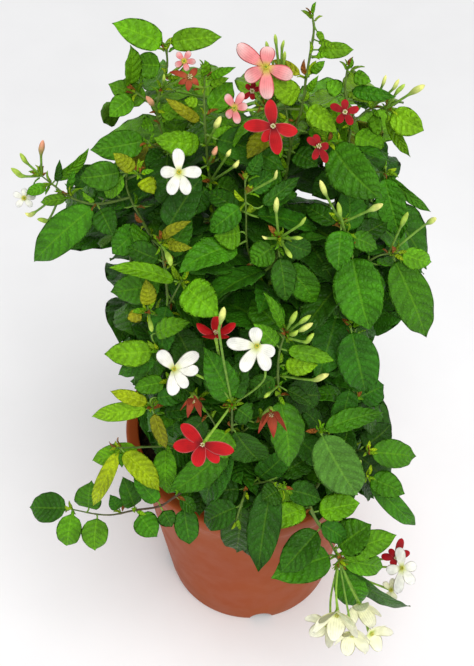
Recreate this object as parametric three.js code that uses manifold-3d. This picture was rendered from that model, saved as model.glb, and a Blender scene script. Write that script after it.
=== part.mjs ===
/**
 * Potted rangoon creeper: a tapered plastic pot filled with soil, and a bushy climber of many canes
 * with opposite leaves, long-tubed flowers and closed buds.
 *
 * Millimetres, +Z up, origin at the centre of the pot's floor. The plant's front faces -Y.
 * The front of the plant is laid out by the places that its leaves and flowers have in one view,
 * from above the front at a 48 degree slope. Those places are in the view's own pixels and are
 * turned into millimetres by seen(). The back of the plant follows a rule.
 */
import * as THREE from 'three';
import Module from 'manifold-3d';
import { mergeVertices } from 'three/addons/utils/BufferGeometryUtils.js';

const wasm = await Module();
wasm.setup();

// Pot sizes
const POT = {
  height: 250,
  footRadius: 93.5,
  wallRadiusUnderRim: 122,
  rimRadius: 132,
  rimHeight: 34,
  rimRound: 4,
  wall: 3,
  floor: 3,
  footBevel: 5,
  segments: 20,
};
const NOTCH = { count: 4, width: 26, height: 9, reach: 12, firstAngle: -83 };
const GAP = 0.3;

// Soil sizes
const SOIL = {
  drop: 30,
  innerRing: 0.5,
  segments: 10,
  heave: 3,
  holeDepth: 45,
  edgeSink: 2,
  holeSides: 4,
  holeEase: 0.2,
};

// The view that the front of the plant is laid out in
const VIEW = {
  eye: new THREE.Vector3(-16, -771, 1244),
  slope: THREE.MathUtils.degToRad(48),
  focal: 1200,
  centreX: 237,
  centreY: 333,
};
const FORWARD = new THREE.Vector3(0, Math.cos(VIEW.slope), -Math.sin(VIEW.slope));
const UPWARD = new THREE.Vector3(0, Math.sin(VIEW.slope), Math.cos(VIEW.slope));
const RIGHTWARD = new THREE.Vector3(1, 0, 0);

// How far the bush's front stands before the pot's axis, from the top of the view to its foot
const FRONT_ROWS = [0, 60, 100, 150, 200, 250, 300, 350, 400, 450, 500, 550, 600, 666];
const FRONT_DEPTHS = [0, 20, 45, 75, 100, 125, 140, 150, 155, 157, 160, 168, 185, 200];
const FRONT_CENTRE = 245;
const FRONT_HALF_WIDTH = 205;
const FRONT_EDGE_SHARE = 0.25;

// Stems, leaves and flowers
const STEM = {
  foot: 3.4,
  tip: 1.5,
  twig: 1.6,
  twigTip: 1.2,
  sides: 4,
  twigSides: 3,
  rise: 42,
  inset: 4,
  leastBend: -0.1,
};
const LEAF = {
  thick: 0.8,
  petiole: 1.7,
  fineFrom: 50,
  stalkFrom: 30,
  minPetiole: 5,
  leastTurn: 0.62,
  rootDepth: 1.3,
  fold: 0.16,
  arch: 0.07,
  wave: 0.035,
  droop: 0.2,
  rollSpread: 30,
  mostSlant: 0.42,
  widestAt: 0.4,
  freeShift: 10,
};
/* The distance kept between a leaf and other pieces, and how a crossing with another shoot counts. */
const CLEAR = 0.7;
const OTHER_WEIGHT = 10;
const BUD = { root: 0.5, tube: 1.0, waist: 1.2, belly: 2.4, fullFrom: 12, leastBend: 0.45, sides: 3 };
const COROLLA = {
  petals: 5,
  hub: 2.4,
  thick: 0.8,
  petalWaist: 0.62,
  petalShare: 0.6,
  apart: 0.9,
  dish: 0.8,
  sag: 2,
  bellSpread: 0.8,
  seatRadius: 1.5,
  neck: 4,
};

// Tries for laying a leaf clear of the others: how far its tip moves along the sight line, and roll
const TIP_SHIFTS = [0, 5, -5, 10, -10, 16, -16, 23, -23, 31, -31, 40, -40, 50];
const ROLLS = [0, 16, -16, 32, -32];
const SHARES = [1, 0.88, 0.76];
const BEND_LIFTS = [0, 5, -5, 10, -10, 16, -16, 24, -24, 32, -32];

const FINISHES = {
  pot: { color: '#a85c42', roughness: 0.5 },
  soil: { color: '#2c2119', roughness: 0.95 },
  plant: { color: '#3f7d1e', roughness: 0.5 },
  white: { color: '#fbfbf4', roughness: 0.6 },
  cream: { color: '#f4f2c4', roughness: 0.6 },
  pink: { color: '#ec8f93', roughness: 0.6 },
  red: { color: '#d3202f', roughness: 0.6 },
  crimson: { color: '#a50d1c', roughness: 0.6 },
  spent: { color: '#b4583f', roughness: 0.7 },
};

/** A repeatable draw between 0 and 1. */
function draw(index, salt) {
  return ((index + 1) * 0.6180339887 + salt * 0.7548776662) % 1;
}

function lerp(a, b, share) {
  return a + (b - a) * share;
}

/** How far before the pot's axis the bush's front stands at a place in the view. */
function frontDepth(px, py) {
  let row = 1;
  while (row < FRONT_ROWS.length - 1 && FRONT_ROWS[row] < py) {
    row += 1;
  }
  const share = (py - FRONT_ROWS[row - 1]) / (FRONT_ROWS[row] - FRONT_ROWS[row - 1]);
  const depth = lerp(FRONT_DEPTHS[row - 1], FRONT_DEPTHS[row], share);
  const side = (px - FRONT_CENTRE) / FRONT_HALF_WIDTH;
  return depth * Math.sqrt(Math.max(FRONT_EDGE_SHARE ** 2, 1 - side * side));
}

function sightLine(px, py) {
  return new THREE.Vector3()
    .addScaledVector(FORWARD, VIEW.focal)
    .addScaledVector(RIGHTWARD, px - VIEW.centreX)
    .addScaledVector(UPWARD, VIEW.centreY - py);
}

/** The point seen at a place in the view that stands a depth before the pot's axis. */
function seen(px, py, depth) {
  const ray = sightLine(px, py);
  const reach = (-depth - VIEW.eye.y) / ray.y;
  return VIEW.eye.clone().addScaledVector(ray, reach);
}

/** The same, with the depth given as a lift before the bush's front. */
function onFront([px, py, lift = 0]) {
  return seen(px, py, frontDepth(px, py) + lift);
}

/** Where the view shows a point. */
function placeInView(point) {
  const offset = point.clone().sub(VIEW.eye);
  const scale = VIEW.focal / offset.dot(FORWARD);
  return [VIEW.centreX + offset.x * scale, VIEW.centreY - offset.dot(UPWARD) * scale];
}

/** Millimetres for one pixel at a point. */
function pixelSize(point) {
  return point.clone().sub(VIEW.eye).dot(FORWARD) / VIEW.focal;
}

// Solids

/** A closed mesh from corner points and triangles, as a solid. */
function toSolid(shape) {
  const vertProperties = new Float32Array(shape.points.length * 3);
  shape.points.forEach((point, index) => point.toArray(vertProperties, index * 3));
  const triVerts = new Uint32Array(shape.triangles.flat());
  return new wasm.Manifold(new wasm.Mesh({ numProp: 3, vertProperties, triVerts }));
}

/** A closed three.js geometry as a solid. */
function geometryToSolid(geometry) {
  const bare = geometry.index ? geometry.clone() : geometry;
  bare.deleteAttribute('normal');
  bare.deleteAttribute('uv');
  const merged = mergeVertices(bare, 1e-4);
  const vertProperties = new Float32Array(merged.attributes.position.array);
  const triVerts = new Uint32Array(merged.index.array);
  return new wasm.Manifold(new wasm.Mesh({ numProp: 3, vertProperties, triVerts }));
}

function toGeometry(solid) {
  const mesh = solid.getMesh();
  const geometry = new THREE.BufferGeometry();
  geometry.setAttribute('position', new THREE.BufferAttribute(mesh.vertProperties, 3));
  geometry.setIndex(new THREE.BufferAttribute(mesh.triVerts, 1));
  geometry.computeVertexNormals();
  return geometry;
}

/** Joins solids pair by pair, so that each step joins pieces of like size. */
function joinAll(solids) {
  let left = solids;
  while (left.length > 1) {
    const next = [];
    for (let i = 0; i < left.length; i += 2) {
      next.push(i + 1 < left.length ? left[i].add(left[i + 1]) : left[i]);
    }
    left = next;
  }
  return left[0];
}

const NEARLY_ALONG = 0.8;

/** A closed tube through points, with a radius at each. An end of no radius is a point. */
function tube(points, radii, sides) {
  const corners = [];
  const rings = [];
  const triangles = [];
  let across = null;
  points.forEach((point, index) => {
    rings.push(corners.length);
    if (radii[index] === 0) {
      corners.push(point.clone());
      return;
    }
    const before = points[Math.max(index - 1, 0)];
    const after = points[Math.min(index + 1, points.length - 1)];
    const along = after.clone().sub(before).normalize();
    if (across === null) {
      across = Math.abs(along.x) < NEARLY_ALONG ? RIGHTWARD.clone() : new THREE.Vector3(0, 0, 1);
    }
    across.addScaledVector(along, -across.dot(along)).normalize();
    const other = along.clone().cross(across);
    for (let side = 0; side < sides; side += 1) {
      const angle = (2 * Math.PI * side) / sides;
      corners.push(
        point
          .clone()
          .addScaledVector(across, Math.cos(angle) * radii[index])
          .addScaledVector(other, Math.sin(angle) * radii[index]),
      );
    }
  });
  const corner = (ring, side) => rings[ring] + (radii[ring] === 0 ? 0 : side % sides);
  const last = points.length - 1;
  for (let ring = 0; ring < last; ring += 1) {
    for (let side = 0; side < sides; side += 1) {
      const a = corner(ring, side);
      const b = corner(ring, side + 1);
      const c = corner(ring + 1, side);
      const d = corner(ring + 1, side + 1);
      triangles.push(...[[a, b, d], [a, d, c]].filter((trio) => new Set(trio).size === 3));
    }
  }
  for (let side = 1; side < sides - 1; side += 1) {
    if (radii[0] > 0) {
      triangles.push([rings[0], rings[0] + side + 1, rings[0] + side]);
    }
    if (radii[last] > 0) {
      triangles.push([rings[last], rings[last] + side, rings[last] + side + 1]);
    }
  }
  return { points: corners, triangles };
}

/** Triangles between two rows of corners, walked by their share of each row. */
function bridge(rowA, rowB) {
  const triangles = [];
  let a = 0;
  let b = 0;
  while (a < rowA.length - 1 || b < rowB.length - 1) {
    const nextA = (a + 1) / Math.max(rowA.length - 1, 1);
    const nextB = (b + 1) / Math.max(rowB.length - 1, 1);
    if (b >= rowB.length - 1 || (a < rowA.length - 1 && nextA <= nextB)) {
      triangles.push([rowA[a], rowA[a + 1], rowB[b]]);
      a += 1;
    } else {
      triangles.push([rowA[a], rowB[b + 1], rowB[b]]);
      b += 1;
    }
  }
  return triangles;
}

/** The solid of a sheet: its corners moved both ways along their normals, but for a pointed one. */
function thicken(sheet, half) {
  const over = (point, i) => (i === sheet.pointed ? point : moved(point, i, half));
  const moved = (point, i, by) => point.clone().addScaledVector(sheet.normals[i], by);
  const points = sheet.points.map(over);
  const under = sheet.points.map((point, i) => {
    if (i === sheet.pointed) {
      return i;
    }
    points.push(moved(point, i, -half));
    return points.length - 1;
  });
  const triangles = [];
  for (const [a, b, c] of sheet.triangles) {
    triangles.push([a, b, c], [under[a], under[c], under[b]]);
  }
  sheet.rim.forEach((a, i) => {
    const b = sheet.rim[(i + 1) % sheet.rim.length];
    if (a !== sheet.pointed) {
      triangles.push([a, under[a], under[b]]);
    }
    if (b !== sheet.pointed) {
      triangles.push([a, under[b], b]);
    }
  });
  return { points, triangles };
}

// Blades

/** Half the width of a leaf's blade along its length, as a share of the greatest half width. */
function bladeShare(along) {
  return Math.sqrt(along / LEAF.widestAt) * ((1 - along) / (1 - LEAF.widestAt));
}

/** Frame of a leaf: its axis, its side and the way it faces. */
function leafFrame(leaf) {
  const axis = leaf.tip.clone().sub(leaf.base);
  const length = axis.length();
  axis.normalize();
  const face = leaf.face.clone().addScaledVector(axis, -leaf.face.dot(axis)).normalize();
  const side = axis.clone().cross(face).normalize();
  const roll = THREE.MathUtils.degToRad(leaf.roll);
  const turnedFace = face.clone().multiplyScalar(Math.cos(roll)).addScaledVector(side, Math.sin(roll));
  const turnedSide = axis.clone().cross(turnedFace).normalize();
  return { axis, length, face: turnedFace, side: turnedSide };
}

/* Rows of a blade: how far along it each lies, and how many corners it has. */
const STATIONS = {
  fine: [
    [0.2, 2],
    [0.48, 3],
    [0.8, 2],
  ],
  plain: [
    [0.24, 2],
    [0.62, 2],
  ],
};

/** The middle sheet of a leaf, with or without its stalk, widened all round by a margin. */
function leafSheet(leaf, margin, withStalk) {
  const { axis, length, face, side } = leafFrame(leaf);
  const stations = leaf.plain ? STATIONS.plain : STATIONS.fine;
  const rows = [];
  const points = [];
  const normals = [];
  const addRow = (centre, halfWidth, count, lean, wave) => {
    const row = [];
    for (let i = 0; i < count; i += 1) {
      const across = count > 1 ? -1 + (2 * i) / (count - 1) : 0;
      const raised = Math.abs(across) * halfWidth * LEAF.fold + across * wave;
      const point = centre
        .clone()
        .addScaledVector(side, across * (halfWidth + margin))
        .addScaledVector(face, raised);
      const normal = face
        .clone()
        .addScaledVector(side, -across * LEAF.fold)
        .addScaledVector(axis, lean)
        .normalize();
      row.push(points.length);
      points.push(point);
      normals.push(normal);
    }
    rows.push(row);
  };
  const stalkWidth = LEAF.petiole / 2;
  if (withStalk) {
    const first = leaf.sessile ? stations[0][0] * length : 0;
    const inward = leaf.joint.clone().sub(leaf.base).addScaledVector(axis, -first).normalize();
    addRow(leaf.joint.clone().addScaledVector(inward, LEAF.rootDepth), 0, 1, 0, 0);
  }
  if (!leaf.sessile) {
    addRow(leaf.base, stalkWidth, 2, 0, 0);
  }
  stations.forEach(([along, count], index) => {
    const bulge = 4 * along * (1 - along) * leaf.arch * length;
    const centre = leaf.base
      .clone()
      .addScaledVector(axis, along * length)
      .addScaledVector(face, bulge);
    const lean = (8 * along - 4) * leaf.arch;
    const wave = (index % 2 ? -1 : 1) * LEAF.wave * leaf.width;
    addRow(centre, (bladeShare(along) * leaf.width) / 2, count, lean, wave);
  });
  const tip = leaf.tip.clone().addScaledVector(axis, margin);
  addRow(tip, 0, 1, 4 * leaf.arch, 0);
  const triangles = [];
  for (let i = 0; i < rows.length - 1; i += 1) {
    triangles.push(...bridge(rows[i], rows[i + 1]));
  }
  const rights = rows.slice(withStalk ? 1 : 0, -1).map((row) => row[row.length - 1]);
  const lefts = rows.map((row) => row[0]).reverse();
  const pointed = withStalk ? rows[0][0] : -1;
  return { points, normals, triangles, rim: [...lefts, ...rights], pointed };
}

/** The middle sheet of a corolla: petals to the given tips, which meet round the throat. */
function corollaSheet({ centre, face, right, up, tips, petalWidth }) {
  const turned = (angle) =>
    right.clone().multiplyScalar(Math.cos(angle)).addScaledVector(up, Math.sin(angle));
  const petals = tips.map((tip) => {
    const reach = tip.clone().sub(centre);
    const bearing = Math.atan2(reach.dot(up), reach.dot(right));
    return { tip, bearing, flat: turned(bearing), drop: reach.dot(face) };
  });
  petals.sort((a, b) => a.bearing - b.bearing);
  const count = petals.length;
  petals.forEach((petal, i) => {
    const before = petals[(i + count - 1) % count];
    petal.gap = (petal.bearing - before.bearing + 2 * Math.PI) % (2 * Math.PI);
  });
  const points = [centre.clone()];
  const triangles = [];
  const rim = [];
  for (const { bearing, gap } of petals) {
    points.push(centre.clone().addScaledVector(turned(bearing - gap / 2), COROLLA.hub));
  }
  petals.forEach(({ tip, flat, drop, gap }, i) => {
    const side = face.clone().cross(flat);
    const along = COROLLA.petalWaist * tip.clone().sub(centre).dot(flat);
    const waist = centre
      .clone()
      .addScaledVector(flat, along)
      .addScaledVector(face, drop * COROLLA.petalWaist ** 2 - COROLLA.dish);
    const gaps = [gap, petals[(i + 1) % count].gap];
    const [before, after] = gaps.map((space) =>
      Math.min(petalWidth / 2, COROLLA.apart * along * Math.tan(Math.min(space / 2, 1))),
    );
    const root = 1 + i;
    const nextRoot = 1 + ((i + 1) % count);
    const left = points.length;
    points.push(waist.clone().addScaledVector(side, -before));
    points.push(waist.clone().addScaledVector(side, after));
    points.push(tip.clone());
    triangles.push([0, root, nextRoot]);
    triangles.push([root, left, left + 1], [root, left + 1, nextRoot], [left, left + 2, left + 1]);
    rim.push(root, left, left + 2, left + 1);
  });
  return { points, normals: points.map(() => face), triangles, rim };
}

// Clearance between pieces

/** Turns a shape's triangles to face out. */
function faceOut(shape) {
  let volume = 0;
  const cross = new THREE.Vector3();
  for (const [a, b, c] of shape.triangles) {
    volume += shape.points[a].dot(cross.crossVectors(shape.points[b], shape.points[c]));
  }
  if (volume < 0) {
    shape.triangles.forEach((triangle) => triangle.reverse());
  }
  return shape;
}

/** Adds what the crossing test needs to a shape: flat numbers, edges and a box. */
function prepare(shape) {
  const xyz = new Float64Array(shape.points.length * 3);
  shape.points.forEach((point, index) => point.toArray(xyz, index * 3));
  const edges = new Map();
  for (const [a, b, c] of shape.triangles) {
    for (const [from, to] of [[a, b], [b, c], [c, a]]) {
      edges.set(`${Math.min(from, to)} ${Math.max(from, to)}`, [from, to]);
    }
  }
  const box = new THREE.Box3().setFromPoints(shape.points);
  return { xyz, triangles: shape.triangles, edges: [...edges.values()], box };
}

const PARALLEL = 1e-12;

/** Whether any edge of one shape runs through a triangle of the other. */
function edgesPierce(one, other) {
  const p = one.xyz;
  const q = other.xyz;
  for (const [i, j] of one.edges) {
    const ox = p[3 * i];
    const oy = p[3 * i + 1];
    const oz = p[3 * i + 2];
    const dx = p[3 * j] - ox;
    const dy = p[3 * j + 1] - oy;
    const dz = p[3 * j + 2] - oz;
    for (const [a, b, c] of other.triangles) {
      const e1x = q[3 * b] - q[3 * a];
      const e1y = q[3 * b + 1] - q[3 * a + 1];
      const e1z = q[3 * b + 2] - q[3 * a + 2];
      const e2x = q[3 * c] - q[3 * a];
      const e2y = q[3 * c + 1] - q[3 * a + 1];
      const e2z = q[3 * c + 2] - q[3 * a + 2];
      const hx = dy * e2z - dz * e2y;
      const hy = dz * e2x - dx * e2z;
      const hz = dx * e2y - dy * e2x;
      const det = e1x * hx + e1y * hy + e1z * hz;
      if (Math.abs(det) < PARALLEL) {
        continue;
      }
      const sx = ox - q[3 * a];
      const sy = oy - q[3 * a + 1];
      const sz = oz - q[3 * a + 2];
      const u = (sx * hx + sy * hy + sz * hz) / det;
      if (u < 0 || u > 1) {
        continue;
      }
      const gx = sy * e1z - sz * e1y;
      const gy = sz * e1x - sx * e1z;
      const gz = sx * e1y - sy * e1x;
      const v = (dx * gx + dy * gy + dz * gz) / det;
      if (v < 0 || u + v > 1) {
        continue;
      }
      const t = (e2x * gx + e2y * gy + e2z * gz) / det;
      if (t >= 0 && t <= 1) {
        return true;
      }
    }
  }
  return false;
}

/** Whether a piece's wider shell meets another piece's skin. */
function meets(shell, skin) {
  return shell.box.intersectsBox(skin.box) && (edgesPierce(shell, skin) || edgesPierce(skin, shell));
}

/** All placed pieces, each with its owner, so that later ones can keep clear of them. */
const placed = [];

/** How many placed pieces a leaf meets, where one of its own shoot counts less. */
function countCrossings(owner, whole, bladeOnly, limit) {
  let count = 0;
  for (const piece of placed) {
    const own = piece.owner === owner;
    const shell = own ? bladeOnly : whole;
    const skin = (own && piece.bladeSkin) || piece.skin;
    if (meets(shell, skin)) {
      count += own ? 1 : OTHER_WEIGHT;
      if (count >= limit) {
        return count;
      }
    }
  }
  return count;
}

/*
 * The front shoots. All places are pixels of the view. A stem is a list of [x, y, lift], the lift in
 * millimetres before the bush's front. The first stem rises from the soil at root and the others
 * branch from it. A leaf is [base x, base y, tip x, tip y, seen width, lift, roll in degrees].
 * A bud is [foot x, foot y, base x, base y, tip x, tip y, lift].
 */
const SHOOTS = {
  shoot_crown_left: {
    root: [-58, 12],
    stems: [
      [[190, 330, -95], [178, 230, -75], [171, 160, -48], [157, 112, -22], [167, 66, -8], [166, 47, 0]],
      [[155, 108, -20], [133, 90, -8]],
      [[170, 155, -40], [147, 143, -18]],
    ],
    leaves: [
      [163, 44, 112, 23, 28, 4], [170, 43, 222, 37, 23, 2], [168, 64, 134, 64, 27, -6],
      [130, 86, 131, 45, 12, -8, 62], [153, 102, 108, 84, 24, -8], [133, 90, 109, 117, 22, 0],
      [144, 141, 90, 150, 30, 4], [172, 118, 141, 127, 16, -12, 55], [162, 118, 182, 100, 18, -12],
      [168, 148, 146, 170, 25, -14], [168, 74, 184, 84, 12, -6],
    ],
    buds: [
      [154, 116, 155, 107, 146, 96, 2],
      [168, 90, 164, 82, 164, 74, 4],
      [168, 90, 181, 82, 184, 74, 4],
    ],
  },
  shoot_crown_middle: {
    root: [-20, 34],
    stems: [
      [[226, 330, -100], [216, 230, -75], [208, 165, -40], [205, 125, -18], [204, 88, -8], [205, 70, -2]],
    ],
    leaves: [
      [203, 124, 165, 98, 12, 4], [207, 106, 184, 100, 12, -4], [224, 118, 233, 82, 24, -16],
      [204, 88, 229, 78, 9, 6], [206, 78, 236, 67, 9, 4], [205, 84, 205, 60, 14, 0],
      [202, 148, 153, 138, 26, 0], [210, 146, 240, 132, 24, -18], [209, 180, 240, 196, 26, -20],
      [210, 190, 188, 216, 26, -12],
    ],
    buds: [
      [205, 150, 214, 130, 221, 116, 6],
      [207, 170, 212, 158, 217, 146, 6],
      [208, 175, 226, 158, 231, 149, 2],
      [208, 180, 233, 170, 239, 160, 2],
    ],
  },
  shoot_crown_right: {
    root: [22, 34],
    stems: [
      [[272, 330, -100], [280, 230, -78], [290, 150, -42], [303, 103, -8], [306, 78, 0], [311, 50, 4],
        [314, 28, 6], [312, 15, 8]],
      [[292, 146, -40], [286, 110, -10], [280, 80, -4]],
      [[300, 110, -12], [262, 108, -8]],
    ],
    leaves: [
      [301, 102, 268, 78, 25, 6], [305, 103, 337, 132, 22, 6], [313, 25, 324, 43, 7, 6],
      [307, 76, 272, 60, 11, -10], [303, 112, 335, 139, 16, -12], [312, 50, 354, 50, 17, 2],
      [312, 60, 329, 53, 7, 8], [314, 40, 338, 48, 7, 10], [309, 78, 325, 61, 10, 6],
      [310, 98, 318, 76, 8, 2], [290, 150, 318, 166, 24, -8], [284, 160, 258, 178, 26, -20],
      [286, 150, 248, 150, 20, -10],
    ],
    buds: [
      [280, 82, 268, 50, 266, 41, 2],
      [280, 82, 276, 43, 275, 34, 2],
      [280, 82, 282, 48, 284, 40, 2],
      [280, 82, 284, 60, 285, 51, 4],
    ],
  },
  shoot_right_top: {
    root: [52, 18],
    stems: [
      [[318, 330, -95], [332, 250, -78], [343, 170, -50], [351, 120, -22], [345, 90, -8], [348, 66, 0]],
      [[350, 124, -26], [372, 108, -18], [390, 110, -6]],
      [[343, 172, -50], [370, 172, -24], [388, 172, -12]],
      [[346, 150, -42], [326, 141, -12]],
    ],
    leaves: [
      [349, 64, 371, 82, 15, 4], [345, 92, 396, 97, 15, 2], [372, 104, 378, 136, 15, -4, 20],
      [389, 110, 424, 131, 28, 6], [389, 113, 410, 158, 12, -6, 35], [327, 141, 381, 199, 45, 12],
      [388, 173, 401, 240, 30, -14], [389, 171, 431, 213, 11, 4, 30], [345, 98, 326, 82, 18, -10],
      [352, 130, 384, 148, 26, -24], [344, 180, 312, 196, 30, -24],
    ],
    buds: [
      [391, 108, 404, 97, 425, 85, 8],
      [374, 106, 383, 84, 386, 75, 6],
      [374, 106, 394, 88, 399, 79, 6],
      [391, 108, 397, 92, 405, 84, 2],
    ],
  },
  shoot_right_middle: {
    root: [66, -14],
    stems: [
      [[326, 345, -72], [340, 300, -50], [350, 262, -24], [352, 240, -12]],
      [[346, 275, -36], [378, 256, -16], [398, 253, -6]],
      [[350, 250, -16], [340, 220, -4]],
    ],
    leaves: [
      [353, 253, 370, 331, 50, 10], [395, 261, 426, 338, 40, 0], [402, 253, 432, 262, 22, 4],
      [330, 222, 338, 272, 30, 6], [352, 234, 378, 249, 20, -2], [340, 290, 296, 262, 18, -16],
      [338, 304, 292, 296, 38, -22], [352, 244, 388, 222, 24, -16],
    ],
    buds: [
      [341, 219, 368, 211, 383, 204, 10],
      [386, 252, 402, 224, 408, 212, 8],
      [390, 252, 422, 227, 436, 218, 8],
      [345, 234, 340, 214, 338, 202, 6],
      [342, 222, 325, 193, 320, 180, 6],
    ],
  },
  shoot_middle: {
    root: [6, -6],
    stems: [
      [[262, 345, -90], [268, 290, -56], [278, 250, -20], [279, 236, -4]],
      [[266, 300, -62], [248, 250, -36], [246, 212, -14], [245, 176, -6]],
    ],
    leaves: [
      [246, 205, 209, 232, 26, -12], [247, 232, 214, 236, 30, -6], [280, 240, 312, 252, 24, -14],
      [276, 244, 250, 262, 28, -16], [262, 205, 300, 176, 16, -16], [246, 196, 272, 172, 22, -20],
      [270, 270, 300, 232, 26, -30], [246, 180, 262, 152, 14, -6], [266, 292, 238, 300, 34, -30],
    ],
    buds: [
      [279, 238, 276, 210, 277, 197, 8],
      [279, 238, 301, 224, 306, 217, 6],
      [279, 238, 268, 240, 262, 236, 10],
      [279, 238, 294, 238, 303, 238, 8],
      [279, 238, 286, 250, 292, 258, 8],
      [246, 190, 275, 178, 277, 170, 4],
    ],
  },
  shoot_left_top: {
    root: [-74, -8],
    stems: [
      [[192, 345, -84], [176, 290, -62], [150, 235, -38], [128, 192, -22], [127, 168, -8]],
      [[130, 196, -26], [97, 204, -12], [72, 198, -4], [52, 184, 0], [38, 173, 2]],
      [[128, 180, -14], [141, 173, -6]],
    ],
    leaves: [
      [126, 166, 79, 178, 30, 4], [127, 172, 106, 198, 22, -2], [141, 172, 113, 153, 16, 4],
      [142, 173, 154, 194, 18, 4], [97, 207, 34, 262, 36, 6], [72, 200, 40, 202, 12, 2],
      [99, 202, 113, 236, 26, 4], [146, 226, 112, 254, 30, -8], [150, 222, 134, 242, 26, 2],
      [53, 182, 89, 149, 12, -6, 30], [54, 184, 26, 193, 12, 2], [60, 186, 60, 160, 8, 2],
      [66, 192, 74, 170, 8, 0], [150, 232, 186, 236, 26, -22], [122, 196, 92, 176, 26, -18],
      [166, 268, 132, 262, 30, -26],
    ],
    buds: [
      [38, 173, 41, 152, 43, 140, 4],
      [38, 174, 22, 176, 11, 168, 4],
      [40, 174, 26, 162, 20, 153, 2],
      [60, 190, 36, 217, 25, 213, 4],
      [62, 192, 48, 221, 37, 219, 4],
    ],
  },
  shoot_left_middle: {
    root: [-52, -38],
    stems: [
      [[186, 405, -70], [174, 350, -46], [168, 300, -26], [164, 262, -14], [160, 240, -2]],
      [[168, 305, -28], [182, 280, -8]],
      [[170, 322, -34], [146, 310, -4]],
      [[175, 360, -46], [158, 350, -10]],
      [[184, 396, -64], [170, 380, -14]],
    ],
    leaves: [
      [161, 238, 191, 221, 11, 6], [162, 243, 192, 248, 11, 4], [165, 262, 192, 217, 26, -22],
      [180, 277, 109, 267, 17, 6, 20], [183, 278, 219, 316, 38, 10], [160, 280, 110, 292, 32, -6],
      [146, 307, 146, 279, 17, 4], [145, 308, 127, 319, 14, 4], [155, 334, 190, 322, 20, -2],
      [166, 312, 198, 316, 26, -24], [157, 345, 104, 354, 27, 8], [156, 360, 118, 375, 20, -4],
      [168, 379, 134, 388, 20, -2], [172, 380, 196, 398, 26, -10], [172, 336, 204, 352, 30, -28],
      [164, 262, 128, 246, 26, -20],
    ],
    buds: [
      [160, 240, 168, 252, 171, 266, 6],
      [147, 310, 150, 322, 152, 332, 6],
    ],
  },
  shoot_white_flowers: {
    root: [-12, -48],
    stems: [
      [[230, 480, -70], [232, 436, -24], [232, 403, 0]],
      [[232, 452, -40], [212, 420, -14], [196, 396, -10]],
      [[233, 440, -30], [262, 416, -8]],
    ],
    leaves: [
      [231, 404, 213, 393, 7, 4], [231, 398, 204, 348, 34, -10], [233, 398, 246, 358, 26, -16],
      [232, 425, 208, 452, 36, -8], [234, 430, 262, 462, 40, -12], [231, 440, 168, 494, 32, 0],
      [233, 444, 204, 506, 36, -10], [236, 392, 252, 420, 26, -20], [208, 414, 186, 444, 26, -18],
    ],
    buds: [[230, 402, 219, 331, 224, 307, 14]],
  },
  shoot_centre_right: {
    root: [26, -44],
    stems: [
      [[300, 480, -70], [288, 440, -44], [279, 395, -16], [279, 355, -6], [286, 330, -2]],
    ],
    leaves: [
      [281, 346, 254, 324, 19, 6], [284, 348, 335, 361, 17, 4], [279, 362, 318, 365, 19, 10],
      [283, 334, 264, 292, 11, 2, 30], [277, 392, 289, 468, 35, 10], [282, 334, 250, 300, 34, -24],
      [281, 376, 250, 392, 26, -18], [282, 396, 322, 396, 36, -24],
    ],
    buds: [
      [286, 332, 291, 322, 297, 311, 6],
      [286, 332, 301, 322, 311, 315, 6],
      [286, 332, 301, 330, 313, 323, 6],
      [286, 334, 291, 338, 298, 330, 8],
      [286, 340, 306, 342, 314, 333, 6],
      [281, 380, 314, 380, 329, 374, 8],
      [281, 384, 270, 392, 264, 398, 6],
    ],
  },
  shoot_right_low: {
    root: [60, -44],
    stems: [
      [[344, 480, -66], [350, 446, -44], [353, 400, -36], [352, 340, -22], [350, 324, -14]],
      [[350, 450, -48], [318, 430, -8]],
      [[350, 448, -46], [368, 452, -8]],
      [[347, 466, -56], [368, 478, -6]],
    ],
    leaves: [
      [351, 325, 366, 394, 42, 4], [322, 425, 384, 412, 22, -6], [317, 433, 358, 495, 45, 8],
      [370, 452, 416, 457, 29, 0], [360, 440, 391, 424, 30, -14], [370, 480, 417, 527, 20, 4],
      [368, 476, 405, 494, 26, -8], [352, 372, 318, 352, 34, -30], [353, 400, 384, 386, 32, -24],
      [352, 402, 322, 414, 34, -24],
    ],
    buds: [[352, 470, 357, 468, 361, 460, 6]],
  },
  shoot_left_low: {
    root: [-62, -50],
    stems: [
      [[186, 480, -60], [166, 444, -26], [151, 406, -2]],
      [[167, 446, -28], [142, 440, 0], [116, 448, 8]],
    ],
    leaves: [
      [148, 403, 110, 391, 15, 4], [149, 408, 91, 417, 19, 8], [156, 398, 188, 392, 20, -6],
      [154, 407, 166, 449, 14, 8, 20], [140, 438, 92, 461, 22, 0], [112, 448, 92, 507, 16, 8],
      [118, 448, 160, 491, 24, 10], [160, 444, 167, 494, 24, 0], [117, 450, 122, 468, 6, 4],
      [166, 446, 196, 458, 30, -20],
    ],
    buds: [],
  },
  shoot_trailing: {
    root: [-34, -72],
    stems: [
      [[190, 486, -8], [176, 496, 4], [160, 506, 8], [136, 510, 12], [107, 515, 18], [70, 509, 26]],
    ],
    leaves: [
      [66, 508, 29, 507, 31, 26], [71, 512, 67, 547, 25, 26], [92, 511, 91, 481, 27, 20],
      [97, 516, 95, 551, 27, 22], [118, 514, 110, 495, 14, 16], [135, 508, 123, 477, 22, 12],
      [137, 514, 157, 537, 26, 16], [158, 502, 133, 474, 18, 8], [160, 508, 172, 527, 20, 12],
      [184, 508, 190, 545, 25, 10], [176, 498, 196, 512, 16, -2],
    ],
    buds: [],
  },
  shoot_hanging: {
    root: [62, -74],
    stems: [
      [[318, 484, -14], [310, 500, 4], [314, 516, 10], [328, 538, 12], [340, 562, 14]],
    ],
    leaves: [
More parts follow.
